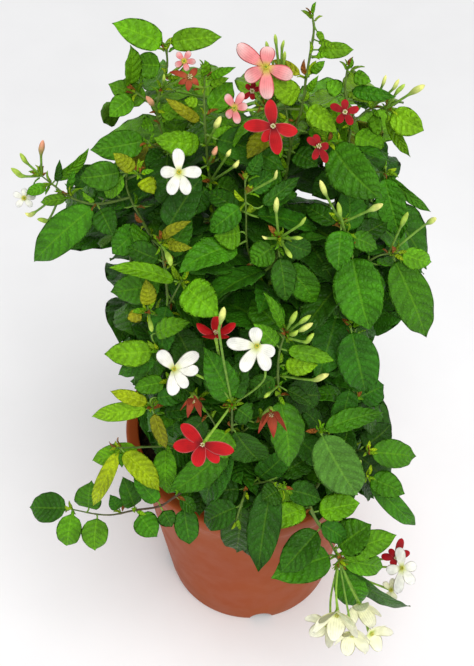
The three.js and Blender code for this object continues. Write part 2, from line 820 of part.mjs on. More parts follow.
      [306, 508, 265, 527, 25, 12], [314, 513, 360, 503, 28, 8], [318, 526, 280, 573, 32, 14],
      [330, 556, 271, 578, 38, 18], [337, 550, 371, 524, 38, 6], [341, 556, 397, 535, 28, 10],
      [342, 560, 384, 567, 24, 0], [343, 566, 411, 609, 20, 10], [341, 568, 362, 605, 32, 16],
      [318, 520, 346, 540, 22, -12],
    ],
    buds: [[341, 560, 348, 560, 353, 557, 18]],
  },
  shoot_skirt: {
    root: [4, -74],
    stems: [
      [[246, 486, -26], [244, 496, -6], [240, 508, 4], [236, 522, 8]],
      [[246, 486, -26], [272, 482, -8], [286, 490, 0]],
    ],
    leaves: [
      [240, 506, 203, 524, 30, 0], [241, 500, 236, 552, 38, 6], [246, 490, 262, 558, 38, 2],
      [272, 484, 258, 573, 34, 8], [276, 482, 296, 520, 34, -8], [244, 488, 206, 494, 32, -10],
      [286, 490, 262, 500, 26, -4], [288, 490, 322, 500, 26, -14],
    ],
    buds: [],
  },
};

/*
 * The open flowers. Tips are where the petals end in the view, and a bell, which is a flower seen
 * from its side, has the reach of its petals in pixels, how far forward they lean and their turn.
 * The tube starts at the named shoot near its first point. Turn moves the way that the flower faces
 * from the viewer, to the right and up.
 */
const FLOWERS = {
  corolla_white_left: {
    shoot: 'shoot_crown_left', colour: 'white', centre: [179, 172, 14],
    tips: [[177, 148], [202, 172], [188, 195], [170, 195], [160, 172]],
    tube: [[174, 150, -34], [176, 165, -16]],
  },
  corolla_white_middle_left: {
    shoot: 'shoot_white_flowers', colour: 'white', centre: [174, 369, 22],
    tips: [[158, 351], [199, 353], [199, 370], [187, 388], [172, 396]],
    tube: [[230, 400, 0], [222, 390, 4], [195, 374, 12]],
  },
  corolla_white_middle: {
    shoot: 'shoot_white_flowers', colour: 'white', centre: [257, 346, 18],
    tips: [[254, 327], [226, 342], [242, 372], [268, 371], [275, 354]],
    tube: [[235, 402, 0], [263, 381, 4], [264, 362, 4]],
  },
  corolla_red_drooping: {
    shoot: 'shoot_white_flowers', colour: 'red', centre: [203, 444, 22],
    tips: [[180, 425], [172, 447], [196, 468], [218, 464], [234, 452]],
    tube: [[231, 402, 0], [222, 404, 8], [211, 424, 16]], turn: [-0.2, -0.3],
  },
  corolla_white_right_low: {
    shoot: 'shoot_hanging', colour: 'white', centre: [402, 568, 26],
    tips: [[399, 547], [417, 566], [414, 584], [397, 594], [386, 570]],
    tube: [[341, 561, 14], [372, 566, 18]],
  },
  corolla_red_right_low: {
    shoot: 'shoot_hanging', colour: 'crimson', centre: [396, 558, 12],
    tips: [[381, 556], [389, 549], [402, 538], [410, 552], [392, 566]],
    tube: [[341, 559, 14], [370, 560, 10]],
  },
  corolla_cream_right_low: {
    shoot: 'shoot_hanging', colour: 'cream', centre: [391, 590, 22],
    tips: [[383, 582], [393, 578], [401, 588], [396, 600], [386, 599]],
    tube: [[341, 564, 14], [366, 580, 16]],
  },
  corolla_hanging_left: {
    shoot: 'shoot_hanging', colour: 'cream', centre: [327, 624, 32],
    bell: { reach: 25, forward: 0.5, spin: 18 },
    tube: [[338, 566, 18], [331, 596, 26]], turn: [-0.9, -0.9],
  },
  corolla_hanging_middle_left: {
    shoot: 'shoot_hanging', colour: 'white', centre: [337, 614, 36],
    bell: { reach: 29, forward: 0.7, spin: 54 },
    tube: [[339, 567, 20], [336, 590, 30]], turn: [-0.1, -1.5],
  },
  corolla_hanging_middle: {
    shoot: 'shoot_hanging', colour: 'white', centre: [352, 634, 44],
    bell: { reach: 24, forward: 0.6, spin: 36 },
    tube: [[340, 566, 22], [346, 600, 38]], turn: [0.1, -1.2],
  },
  corolla_hanging_middle_right: {
    shoot: 'shoot_hanging', colour: 'white', centre: [359, 606, 30],
    bell: { reach: 25, forward: 0.7, spin: 18 },
    tube: [[342, 566, 18], [350, 586, 28]], turn: [0.3, -1.3],
  },
  corolla_hanging_right: {
    shoot: 'shoot_hanging', colour: 'cream', centre: [371, 633, 34],
    bell: { reach: 24, forward: 0.5, spin: 0 },
    tube: [[343, 568, 18], [361, 606, 24]], turn: [0.8, -0.9],
  },
  corolla_pink_top: {
    shoot: 'shoot_crown_right', colour: 'pink', centre: [266, 67, 16],
    tips: [[237, 44], [268, 46], [293, 77], [268, 100], [245, 80]],
    tube: [[282, 90, -6], [275, 80, 2]],
  },
  corolla_red_top: {
    shoot: 'shoot_crown_right', colour: 'red', centre: [273, 126, 18],
    tips: [[270, 99], [243, 126], [262, 142], [278, 155], [298, 132]],
    tube: [[290, 122, -16], [284, 124, 2]],
  },
  corolla_pink_half_open: {
    shoot: 'shoot_crown_right', colour: 'pink', centre: [235, 108, 10],
    tips: [[225, 94], [242, 92], [247, 106], [237, 124], [226, 118]],
    tube: [[266, 107, -6], [250, 110, 0]], turn: [-0.3, 0],
  },
  corolla_crimson_back: {
    shoot: 'shoot_crown_right', colour: 'crimson', centre: [252, 91, 2],
    tips: [[243, 99], [253, 100], [261, 88], [254, 82], [246, 84]],
    tube: [[268, 106, -12], [258, 98, -6]],
  },
  corolla_crimson_right: {
    shoot: 'shoot_right_top', colour: 'crimson', centre: [345, 112, 14],
    tips: [[330, 105], [345, 99], [359, 108], [352, 125], [337, 123]],
    tube: [[350, 126, -20], [348, 120, -2]],
  },
  corolla_crimson_lower: {
    shoot: 'shoot_right_top', colour: 'crimson', centre: [318, 146, 10],
    tips: [[308, 138], [317, 134], [330, 146], [328, 163], [315, 160]],
    tube: [[328, 144, -16], [323, 146, -4]], turn: [0.4, 0],
  },
  corolla_pale_top_left: {
    shoot: 'shoot_crown_left', colour: 'pink', centre: [184, 61, 10],
    tips: [[177, 52], [190, 51], [196, 62], [188, 71], [175, 66]],
    tube: [[168, 76, -8], [178, 68, 0]],
  },
  corolla_spent_top_left: {
    shoot: 'shoot_crown_middle', colour: 'spent', centre: [190, 78, 6],
    tips: [[169, 70], [178, 82], [197, 66], [199, 84], [188, 90]],
    tube: [[204, 92, -6], [197, 86, 0]], turn: [0, 0.6],
  },
  corolla_white_far_left: {
    shoot: 'shoot_left_top', colour: 'white', centre: [24, 198, 6],
    tips: [[13, 193], [25, 188], [36, 196], [32, 207], [17, 207]],
    tube: [[50, 184, 0], [36, 190, 4]],
  },
  corolla_red_side: {
    shoot: 'shoot_white_flowers', colour: 'red', centre: [216, 334, 4],
    bell: { reach: 26, forward: 0.35, spin: 90 },
    tube: [[229, 400, -4], [220, 360, -4]], turn: [0, 1.3],
  },
  corolla_spent_left: {
    shoot: 'shoot_white_flowers', colour: 'spent', centre: [193, 399, 6],
    bell: { reach: 15, forward: 1.1, spin: 30 },
    tube: [[197, 392, -8], [194, 394, 0]], turn: [-0.1, -1.4],
  },
  corolla_withered: {
    shoot: 'shoot_white_flowers', colour: 'spent', centre: [271, 413, 8],
    bell: { reach: 19, forward: 1.1, spin: 60 },
    tube: [[264, 412, -6], [268, 409, 0]], turn: [0.1, -1.4],
  },
};

/* The back shoots: each cane leans out at its own angle from +X and carries pairs of leaves. */
const BACK_SHOOTS = {
  names: ['shoot_back_right', 'shoot_back_right_inner', 'shoot_back', 'shoot_back_left_inner',
    'shoot_back_left'],
  angles: [18, 52, 88, 126, 160],
  heights: [225, 315, 410, 500, 580, 640],
  reaches: [66, 104, 120, 114, 88, 50],
  sway: 16,
  turnPerLift: 0.5,
};
/* Pairs of leaves laid by rule: where they start on a stem, how far apart, and their draws' seeds. */
const BACK_PAIRS = { start: 110, step: 68, seed: 0, seedStep: 40 };
const FRONT_PAIRS = { start: 120, step: 100, seed: 300, seedStep: 24 };
/* The bush's outline in the view, inside which the leaves laid by rule keep. */
const OUTLINE = [
  [128, 52], [196, 50], [262, 46], [300, 58], [345, 58], [356, 86], [392, 92], [418, 128],
  [396, 160], [404, 236], [430, 262], [422, 332], [378, 306], [374, 392], [392, 436], [402, 494],
  [330, 520], [196, 520], [160, 470], [130, 384], [108, 296], [108, 250], [40, 256], [66, 190],
  [92, 132],
];
const BEHIND_FRONT = 14;
const RULE_LEAF = {
  length: 78,
  lengthSpread: 14,
  widthShare: 0.56,
  stalk: 8,
  sink: 12,
  leanShare: 0.8,
  droop: 5,
  splay: 62,
  faceOut: 0.7,
  rollSpread: 20,
  arch: 0.09,
  swings: [0, 12, -12, 24, -24, 38, -38],
};

// Pot and soil

function lathe(profile, segments) {
  const points = profile.map(([radius, height]) => new THREE.Vector2(radius, height));
  const geometry = new THREE.LatheGeometry(points, segments);
  geometry.rotateX(Math.PI / 2);
  return geometryToSolid(geometry);
}

/** Outer radius of the pot's wall at a height. */
function potRadius(height) {
  const top = POT.height - POT.rimHeight;
  return lerp(POT.footRadius, POT.wallRadiusUnderRim, Math.min(height / top, 1));
}

function makePot() {
  const underRim = POT.height - POT.rimHeight;
  const lip = POT.rimRadius;
  const inner = potRadius(POT.height) - POT.wall;
  const body = lathe(
    [
      [0, 0],
      [POT.footRadius - POT.footBevel, 0],
      [POT.footRadius, POT.footBevel],
      [POT.wallRadiusUnderRim, underRim],
      [lip, underRim],
      [lip, POT.height - POT.rimRound],
      [lip - POT.rimRound, POT.height],
      [inner, POT.height],
      [inner, underRim],
      [POT.footRadius - POT.wall, POT.floor],
      [0, POT.floor],
    ],
    POT.segments,
  );
  const cutter = new THREE.BoxGeometry(2 * NOTCH.reach, NOTCH.width, 2 * NOTCH.height);
  const notches = [];
  for (let i = 0; i < NOTCH.count; i += 1) {
    const angle = THREE.MathUtils.degToRad(NOTCH.firstAngle + (360 / NOTCH.count) * i);
    const notch = cutter.clone();
    notch.rotateZ(angle);
    notch.translate(POT.footRadius * Math.cos(angle), POT.footRadius * Math.sin(angle), 0);
    notches.push(geometryToSolid(notch));
  }
  return body.subtract(joinAll(notches));
}

/** The pot's mesh as a plain shape, for the crossing test. */
function potShape() {
  const mesh = pot.getMesh();
  const points = [];
  for (let i = 0; i < mesh.vertProperties.length; i += 3) {
    points.push(new THREE.Vector3().fromArray(mesh.vertProperties, i));
  }
  const triangles = [];
  for (let i = 0; i < mesh.triVerts.length; i += 3) {
    triangles.push([...mesh.triVerts.slice(i, i + 3)]);
  }
  return { points, triangles };
}

/** The soil, with a plain hole round each stem that stands in it. */
function makeSoil(stems) {
  const top = POT.height - SOIL.drop;
  const floorGap = POT.floor + GAP;
  const ring = (radius, height, uneven) =>
    Array.from({ length: SOIL.segments }, (_, i) => {
      const angle = (2 * Math.PI * i) / SOIL.segments;
      const heave = uneven ? SOIL.heave * (2 * draw(i, radius) - 1) : 0;
      return new THREE.Vector3(radius * Math.cos(angle), radius * Math.sin(angle), height + heave);
    });
  const inside = (height) =>
    (potRadius(height) - POT.wall - GAP) * Math.cos(Math.PI / POT.segments) - GAP;
  const sheet = [
    [new THREE.Vector3(0, 0, floorGap)],
    ring(inside(floorGap), floorGap, false),
    ring(inside(top), top - SOIL.edgeSink, false),
    ring(inside(top) * SOIL.innerRing, top, true),
    [new THREE.Vector3(0, 0, top)],
  ];
  const points = sheet.flat();
  const starts = [];
  let count = 0;
  for (const row of sheet) {
    starts.push(count);
    count += row.length;
  }
  const triangles = [];
  for (let r = 0; r < sheet.length - 1; r += 1) {
    for (let i = 0; i < SOIL.segments; i += 1) {
      const next = (i + 1) % SOIL.segments;
      const a = starts[r] + (sheet[r].length > 1 ? i : 0);
      const b = starts[r] + (sheet[r].length > 1 ? next : 0);
      const c = starts[r + 1] + (sheet[r + 1].length > 1 ? i : 0);
      const d = starts[r + 1] + (sheet[r + 1].length > 1 ? next : 0);
      if (a !== b) {
        triangles.push([a, b, d]);
      }
      if (c !== d) {
        triangles.push([a, d, c]);
      }
    }
  }
  const body = toSolid(faceOut({ points, triangles }));
  return body.subtract(joinAll(stems));
}

// Shoots

/** The stems of a shoot as lines of points with radii. The first rises from the soil. */
function growStems(knotLists) {
  const lines = [];
  knotLists.forEach((knots, index) => {
    const points =
      index === 0 ? knots : unfold([nearestPoint(lines, knots[0]), ...knots.slice(1)], 1, STEM.leastBend);
    const from = index === 0 ? STEM.foot : STEM.twig;
    const to = index === 0 ? STEM.tip : STEM.twigTip;
    const radii = points.map((_, i) => lerp(from, to, i / (points.length - 1)));
    lines.push({ points, radii, sides: index === 0 ? STEM.sides : STEM.twigSides });
  });
  return lines;
}

/** Leaves out the points at which a path would fold back, but for so many at its end. */
function unfold(path, kept, leastBend) {
  const points = [...path];
  for (let i = 1; i < points.length - 1; ) {
    const before = points[i].clone().sub(points[i - 1]);
    const after = points[i + 1].clone().sub(points[i]);
    const folds = before.dot(after) < leastBend * before.length() * after.length();
    const movable = i < points.length - kept ? i : i - 1;
    if (folds && movable > 0) {
      points.splice(movable, 1);
      i = 1;
    } else {
      i += 1;
    }
  }
  return points;
}

/** How far along a stretch of a line a root may sit, so that it is sunk in at the line's end. */
function lastShare(points, i) {
  const atEnd = i === points.length - 2;
  return atEnd ? Math.max(0, 1 - STEM.inset / points[i].distanceTo(points[i + 1])) : 1;
}

/** The point on any of the lines that lies nearest to a point. */
function nearestPoint(lines, target) {
  let best = null;
  let least = Infinity;
  const found = new THREE.Vector3();
  for (const { points } of lines) {
    for (let i = 0; i < points.length - 1; i += 1) {
      const line = new THREE.Line3(points[i], points[i + 1]);
      const share = line.closestPointToPointParameter(target, true);
      line.at(Math.min(share, lastShare(points, i)), found);
      const distance = found.distanceTo(target);
      if (distance < least) {
        least = distance;
        best = found.clone();
      }
    }
  }
  return best;
}

/** The point on any of the lines that the view shows nearest to a place. */
function nearestSeen(lines, px, py) {
  let best = null;
  let least = Infinity;
  for (const { points } of lines) {
    for (let i = 0; i < points.length - 1; i += 1) {
      for (const share of [0, 0.25, 0.5, 0.75, 1]) {
        const point = points[i].clone().lerp(points[i + 1], Math.min(share, lastShare(points, i)));
        const [x, y] = placeInView(point);
        const distance = Math.hypot(x - px, y - py);
        if (distance < least) {
          least = distance;
          best = point;
        }
      }
    }
  }
  return best;
}

function makeLeafShapes(leaf) {
  const half = LEAF.thick / 2;
  const build = (margin, grow, withStalk) =>
    faceOut(thicken(leafSheet(leaf, margin, withStalk), half + grow));
  return {
    solid: build(0, 0, true),
    whole: () => prepare(build(CLEAR, CLEAR, true)),
    blade: () => prepare(build(CLEAR, CLEAR, false)),
    bladeSkin: () => prepare(build(0, 0, false)),
  };
}

/** Lays a leaf at the first of its tries that is clear of all placed pieces. */
function layLeaf(owner, tries, optional) {
  let best = null;
  let least = Infinity;
  for (const leaf of tries) {
    const shapes = makeLeafShapes(leaf);
    const crossings = countCrossings(owner, shapes.whole(), shapes.blade(), least);
    if (crossings < least) {
      least = crossings;
      best = { shapes };
    }
    if (crossings === 0) {
      break;
    }
  }
  if (optional && least > 0) {
    return [];
  }
  const { shapes } = best;
  placed.push({ owner, skin: prepare(shapes.solid), bladeSkin: shapes.bladeSkin() });
  return [shapes.solid];
}

/** A leaf of the front, from its places in the view, with its tries. */
function seenLeafTries(lines, [bx, by, tx, ty, seenWidth, lift = 0, roll = 0], index) {
  const joint = nearestSeen(lines, bx, by);
  const depth = -joint.y;
  let base = seen(bx, by, depth);
  const seenLength = Math.hypot(tx - bx, ty - by);
  const forward = LEAF.droop * Math.max(ty - by, 0);
  const natural = seenLength * pixelSize(joint);
  const most = LEAF.mostSlant * natural;
  const faceOn = depth + Math.sin(VIEW.slope) * (ty - by) * pixelSize(joint);
  const wished = (depth + frontDepth(tx, ty)) / 2 + lift + forward;
  const tipDepth = THREE.MathUtils.clamp(wished, faceOn - most, faceOn + most);
  const stalk = base.clone().sub(joint);
  const toTip = seen(tx, ty, tipDepth).sub(joint).normalize();
  if (stalk.length() < LEAF.minPetiole || stalk.dot(toTip) < LEAF.leastTurn * stalk.length()) {
    base = joint.clone().addScaledVector(toTip, LEAF.minPetiole);
  }
  const turn = roll || LEAF.rollSpread * (draw(index, 3) - 0.5);
  const tries = [];
  for (const share of SHARES) {
    for (const extra of ROLLS) {
      for (const shift of TIP_SHIFTS) {
        if (Math.abs(shift) > Math.max(most, LEAF.freeShift)) {
          continue;
        }
        const tip = base.clone().lerp(seen(tx, ty, tipDepth + shift), share);
        const middle = base.clone().lerp(tip, 0.5);
        const seenShare = Math.cos(THREE.MathUtils.degToRad(turn));
        tries.push({
          joint,
          base,
          tip,
          face: VIEW.eye.clone().sub(middle).normalize(),
          roll: turn + extra,
          width: (share * seenWidth * pixelSize(middle)) / seenShare,
          arch: LEAF.arch,
          plain: seenLength < LEAF.fineFrom || lift < -5,
          sessile: seenLength < LEAF.stalkFrom,
        });
      }
    }
  }
  return tries;
}

/** A closed bud: a thin stalk that swells where the bud is. */
function makeBud(lines, [fx, fy, bx, by, tx, ty, lift], extra, wider) {
  const foot = nearestSeen(lines, fx, fy);
  const base = onFront([bx, by, lift + extra]);
  const tip = onFront([tx, ty, lift + extra]);
  const scale = Math.min(1, base.distanceTo(tip) / BUD.fullFrom);
  const belly = BUD.belly * scale + wider;
  const points = unfold([foot, base, base.clone().lerp(tip, 0.5), tip], 2, BUD.leastBend);
  const radii = [BUD.root, BUD.waist + wider, belly, 0];
  return faceOut(tube(points, points.length < radii.length ? [BUD.root, belly, 0] : radii, BUD.sides));
}

/** A flower's long tube, from its twig to its seat under the corolla. */
function makeFlowerTube(lines, flower, corolla, extra, wider) {
  const joint = nearestSeen(lines, flower.tube[0][0], flower.tube[0][1]);
  const knots = flower.tube.map(([px, py, lift = 0]) => onFront([px, py, lift + extra]));
  const seat = corolla.centre.clone().addScaledVector(corolla.face, -(COROLLA.thick / 2 + GAP));
  const neck = seat.clone().addScaledVector(corolla.face, -COROLLA.neck);
  const path = unfold([joint, ...knots.slice(1), neck, seat], 2, STEM.leastBend);
  const radii = path.map((_, i) => (i < path.length - 2 ? BUD.tube + wider : COROLLA.seatRadius));
  radii[0] = BUD.root;
  return faceOut(tube(path, radii, BUD.sides));
}

/** A corolla's shape and place, moved along the sight line by a lift. */
function makeCorolla(flower, extra) {
  const [px, py, lift = 0] = flower.centre;
  const centre = onFront([px, py, lift + extra]);
  const [turnRight, turnUp] = flower.turn ?? [0, 0];
  const face = VIEW.eye.clone().sub(centre).normalize();
  face.addScaledVector(RIGHTWARD, turnRight).addScaledVector(UPWARD, turnUp).normalize();
  const right = RIGHTWARD.clone().addScaledVector(face, -RIGHTWARD.dot(face)).normalize();
  const up = face.clone().cross(right);
  const tips = flower.bell
    ? bellTips(flower.bell, { centre, face, right, up })
    : flower.tips.map(([tx, ty]) => {
        const ray = sightLine(tx, ty);
        const plane = centre.clone().sub(VIEW.eye).dot(face) / ray.dot(face);
        return VIEW.eye.clone().addScaledVector(ray, plane).addScaledVector(face, -COROLLA.sag);
      });
  const size = tips.reduce((sum, tip) => sum + tip.distanceTo(centre), 0) / tips.length;
  const petalWidth = size * COROLLA.petalShare;
  const sheet = corollaSheet({ centre, face, right, up, tips, petalWidth });
  return {
    centre,
    face,
    shape: faceOut(thicken(sheet, COROLLA.thick / 2)),
    wide: faceOut(thicken(sheet, COROLLA.thick / 2 + CLEAR)),
  };
}

/** Petal tips of a flower seen from its side: evenly round its axis, leaning forward along it. */
function bellTips({ reach, forward, spin }, { centre, face, right, up }) {
  const size = reach * pixelSize(centre);
  return Array.from({ length: COROLLA.petals }, (_, i) => {
    const angle = THREE.MathUtils.degToRad(spin + (360 / COROLLA.petals) * i);
    const spread = size * COROLLA.bellSpread;
    return centre
      .clone()
      .addScaledVector(right, spread * Math.cos(angle))
      .addScaledVector(up, spread * Math.sin(angle))
      .addScaledVector(face, forward * size);
  });
}

/** The first of a piece's bends that is clear of what other owners have placed. */
function firstClear(owner, build) {
  for (const extra of BEND_LIFTS) {
    const { found, wide } = build(extra);
    const shell = prepare(wide);
    if (placed.every((piece) => piece.owner === owner || !meets(shell, piece.skin))) {
      return found;
    }
  }
  return build(0).found;
}

const pot = makePot();
const parts = [];
const shootSolids = new Map();

function addPart(name, finish, solid) {
  const material = new THREE.MeshStandardMaterial({ ...FINISHES[finish], metalness: 0 });
  const mesh = new THREE.Mesh(toGeometry(solid), material);
  mesh.name = name;
  parts.push(mesh);
}

/** Keeps a stem, tube or bud for the crossing test and for its shoot's solid. */
function keepTube(owner, shape) {
  placed.push({ owner, skin: prepare(shape) });
  shootSolids.get(owner).push(shape);
}

const shootLines = new Map();
const holes = [];

/** Grows a shoot's stems, bent clear of the shoots before it, with a hole in the soil for its foot. */
function plantShoot(name, knotsFor) {
  const lines = firstClear(name, (extra) => {
    const found = growStems(knotsFor(extra));
    const wide = tube(found[0].points, found[0].radii.map((radius) => radius + CLEAR), STEM.sides);
    return { found, wide: faceOut(wide) };
  });
  shootLines.set(name, lines);
  shootSolids.set(name, []);
  for (const { points, radii, sides } of lines) {
    keepTube(name, faceOut(tube(points, radii, sides)));
  }
  const foot = lines[0].points[0];
  const up = lines[0].points[1].clone().sub(foot).normalize();
  const start = foot.clone().addScaledVector(up, -GAP);
  const end = foot.clone().addScaledVector(up, SOIL.holeDepth + STEM.rise / 2);
  const wide = (STEM.foot + GAP) / Math.cos(Math.PI / SOIL.holeSides) + SOIL.holeEase;
  holes.push(faceOut(tube([start, end], [wide, wide], SOIL.holeSides)));
}

placed.push({ owner: 'pot', skin: prepare(potShape()) });

const soilTop = POT.height - SOIL.drop;
for (const [name, shoot] of Object.entries(SHOOTS)) {
  const [rootX, rootY] = shoot.root;
  plantShoot(name, (extra) => {
    const knotLists = shoot.stems.map((stem) =>
      stem.map(([px, py, lift = 0]) => onFront([px, py, lift + extra])),
    );
    knotLists[0].unshift(
      new THREE.Vector3(rootX, rootY, soilTop - SOIL.holeDepth),
      new THREE.Vector3(rootX, rootY, soilTop + STEM.rise),
    );
    return knotLists;
  });
}
BACK_SHOOTS.names.forEach((name, index) => {
  plantShoot(name, (extra) => {
    const knots = BACK_SHOOTS.heights.map((height, level) => {
      const turn = BACK_SHOOTS.angles[index] + BACK_SHOOTS.sway * (draw(level, index) - 0.5);
      const angle = THREE.MathUtils.degToRad(turn + extra * BACK_SHOOTS.turnPerLift);
      const reach = BACK_SHOOTS.reaches[level];
      return new THREE.Vector3(reach * Math.cos(angle), reach * Math.sin(angle), height);
    });
    const foot = knots[0].clone().setZ(soilTop - SOIL.holeDepth);
    return [[foot, ...knots]];
  });
});

const corollas = new Map();
for (const [name, flower] of Object.entries(FLOWERS)) {
  const corolla = firstClear(name, (extra) => {
    const found = makeCorolla(flower, extra);
    return { found, wide: found.wide };
  });
  corollas.set(name, corolla);
  placed.push({ owner: name, skin: prepare(corolla.shape) });
}
for (const [name, flower] of Object.entries(FLOWERS)) {
  const lines = shootLines.get(flower.shoot);
  const corolla = corollas.get(name);
  const build = (extra) => ({
    found: makeFlowerTube(lines, flower, corolla, extra, 0),
    wide: makeFlowerTube(lines, flower, corolla, extra, GAP / 2),
  });
  keepTube(flower.shoot, firstClear(flower.shoot, build));
}
for (const [name, shoot] of Object.entries(SHOOTS)) {
  const lines = shootLines.get(name);
  for (const bud of shoot.buds) {
    const build = (extra) => ({
      found: makeBud(lines, bud, extra, 0),
      wide: makeBud(lines, bud, extra, CLEAR),
    });
    keepTube(name, firstClear(name, build));
  }
}
let leafNumber = 0;
for (const [name, shoot] of Object.entries(SHOOTS)) {
  const lines = shootLines.get(name);
  for (const leaf of shoot.leaves) {
    const tries = seenLeafTries(lines, leaf, leafNumber);
    shootSolids.get(name).push(...layLeaf(name, tries, false));
    leafNumber += 1;
  }
}

/** Tries for a leaf that stands out from a cane by the rule. */
function ruleLeafTries(joint, bearing, index) {
  const length = RULE_LEAF.length + RULE_LEAF.lengthSpread * (draw(index, 5) - 0.5);
  const tries = [];
  for (const swing of RULE_LEAF.swings) {
    for (const lean of RULE_LEAF.swings) {
      const angle = THREE.MathUtils.degToRad(bearing + swing);
      const climb = THREE.MathUtils.degToRad(lean * RULE_LEAF.leanShare - RULE_LEAF.sink);
      const out = new THREE.Vector3(Math.cos(angle), Math.sin(angle), 0);
      const axis = out.clone().multiplyScalar(Math.cos(climb)).setZ(Math.sin(climb));
      const base = joint.clone().addScaledVector(axis, RULE_LEAF.stalk);
      const tip = base.clone().addScaledVector(axis, length);
      tip.z -= RULE_LEAF.droop;
      if (isHidden(tip) && isHidden(base.clone().lerp(tip, 0.5))) {
        tries.push({
          joint,
          base,
          tip,
          face: new THREE.Vector3(0, 0, 1).addScaledVector(out, RULE_LEAF.faceOut).normalize(),
          roll: RULE_LEAF.rollSpread * (draw(index, 9) - 0.5),
          width: length * RULE_LEAF.widthShare,
          arch: RULE_LEAF.arch,
          plain: true,
          sessile: true,
        });
      }
    }
  }
  return tries;
}

/** Whether the view shows a point inside the bush's outline and behind its front. */
function isHidden(point) {
  const [x, y] = placeInView(point);
  if (-point.y > frontDepth(x, y) - BEHIND_FRONT) {
    return false;
  }
  let inside = false;
  OUTLINE.forEach(([ax, ay], i) => {
    const [bx, by] = OUTLINE[(i + 1) % OUTLINE.length];
    if (ay > y !== by > y && x < ((bx - ax) * (y - ay)) / (by - ay) + ax) {
      inside = !inside;
    }
  });
  return inside;
}

/** Lays pairs of leaves along a shoot's first stem, turned a quarter from pair to pair. */
function layPairs(name, { start, step, seed, seedStep }, shootNumber) {
  const { points } = shootLines.get(name)[0];
  const curve = new THREE.CurvePath();
  for (let i = 0; i < points.length - 1; i += 1) {
    curve.add(new THREE.LineCurve3(points[i], points[i + 1]));
  }
  const length = curve.getLength();
  let index = 0;
  for (let along = start; along <= length; along += step) {
    const joint = curve.getPointAt(along / length);
    const outward = THREE.MathUtils.radToDeg(Math.atan2(joint.y, joint.x));
    const offsets = index % 2 ? [0, 180] : [RULE_LEAF.splay, -RULE_LEAF.splay];
    for (const offset of offsets) {
      const drawn = seed + seedStep * shootNumber + index * 2 + (offset > 0 ? 1 : 0);
      const tries = ruleLeafTries(joint, outward + offset, drawn);
      shootSolids.get(name).push(...layLeaf(name, tries, true));
    }
    index += 1;
  }
}

BACK_SHOOTS.names.forEach((name, index) => layPairs(name, BACK_PAIRS, index));
Object.keys(SHOOTS).forEach((name, index) => layPairs(name, FRONT_PAIRS, index));

// The finished parts

addPart('pot', 'pot', pot);
addPart('soil', 'soil', makeSoil(holes.map(toSolid)));
for (const [name, shapes] of shootSolids) {
  addPart(name, 'plant', joinAll(shapes.map(toSolid)));
}
for (const [name, { shape }] of corollas) {
  addPart(name, FLOWERS[name].colour, toSolid(shape));
}

const creeper = new THREE.Group();
creeper.name = 'potted_rangoon_creeper';
creeper.add(...parts);
export default creeper;
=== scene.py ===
"""Looks of a potted rangoon creeper: its pot, soil, canes, leaves, buds and long-tubed flowers.

The places of the stems, leaves, buds and flowers are laid out in millimetres from one view, as the
solids are. Where a solid was moved a little to keep clear of its neighbours, the move is found again
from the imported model, so each fine piece lies where its solid lies. Blender's objects are in metres.
"""

from __future__ import annotations

import logging
import math
from dataclasses import dataclass, field
from enum import Enum
from typing import Callable, Iterable, Optional, Sequence

import bmesh
import bpy
import numpy as np
from mathutils import Matrix, Vector
from mathutils.kdtree import KDTree

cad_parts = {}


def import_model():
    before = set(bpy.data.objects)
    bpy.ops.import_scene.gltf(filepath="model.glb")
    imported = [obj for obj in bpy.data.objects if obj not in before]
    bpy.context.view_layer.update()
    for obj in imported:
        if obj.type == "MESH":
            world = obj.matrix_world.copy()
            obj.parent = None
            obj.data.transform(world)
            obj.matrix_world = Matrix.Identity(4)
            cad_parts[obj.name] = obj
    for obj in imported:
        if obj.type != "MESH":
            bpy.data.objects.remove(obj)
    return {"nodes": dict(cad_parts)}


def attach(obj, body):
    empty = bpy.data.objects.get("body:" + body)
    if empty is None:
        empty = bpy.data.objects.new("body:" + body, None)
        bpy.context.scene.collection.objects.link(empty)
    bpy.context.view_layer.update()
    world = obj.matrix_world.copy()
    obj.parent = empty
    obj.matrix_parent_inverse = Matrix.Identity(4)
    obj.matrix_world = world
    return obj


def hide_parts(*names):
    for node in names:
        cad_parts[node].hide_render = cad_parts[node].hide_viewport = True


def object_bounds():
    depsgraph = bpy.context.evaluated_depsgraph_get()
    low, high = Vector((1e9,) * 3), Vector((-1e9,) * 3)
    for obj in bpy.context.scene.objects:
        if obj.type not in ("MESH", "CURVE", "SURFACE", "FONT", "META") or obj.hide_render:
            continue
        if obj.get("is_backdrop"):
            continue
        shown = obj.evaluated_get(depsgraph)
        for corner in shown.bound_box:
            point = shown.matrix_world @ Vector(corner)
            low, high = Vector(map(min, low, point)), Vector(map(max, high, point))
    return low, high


LOG = logging.getLogger("rangoon_creeper")
MM = 0.001
BODY = "root"
SEED_STEP = 100

Array = np.ndarray
Colour = tuple[float, float, float]
Number = float | Array


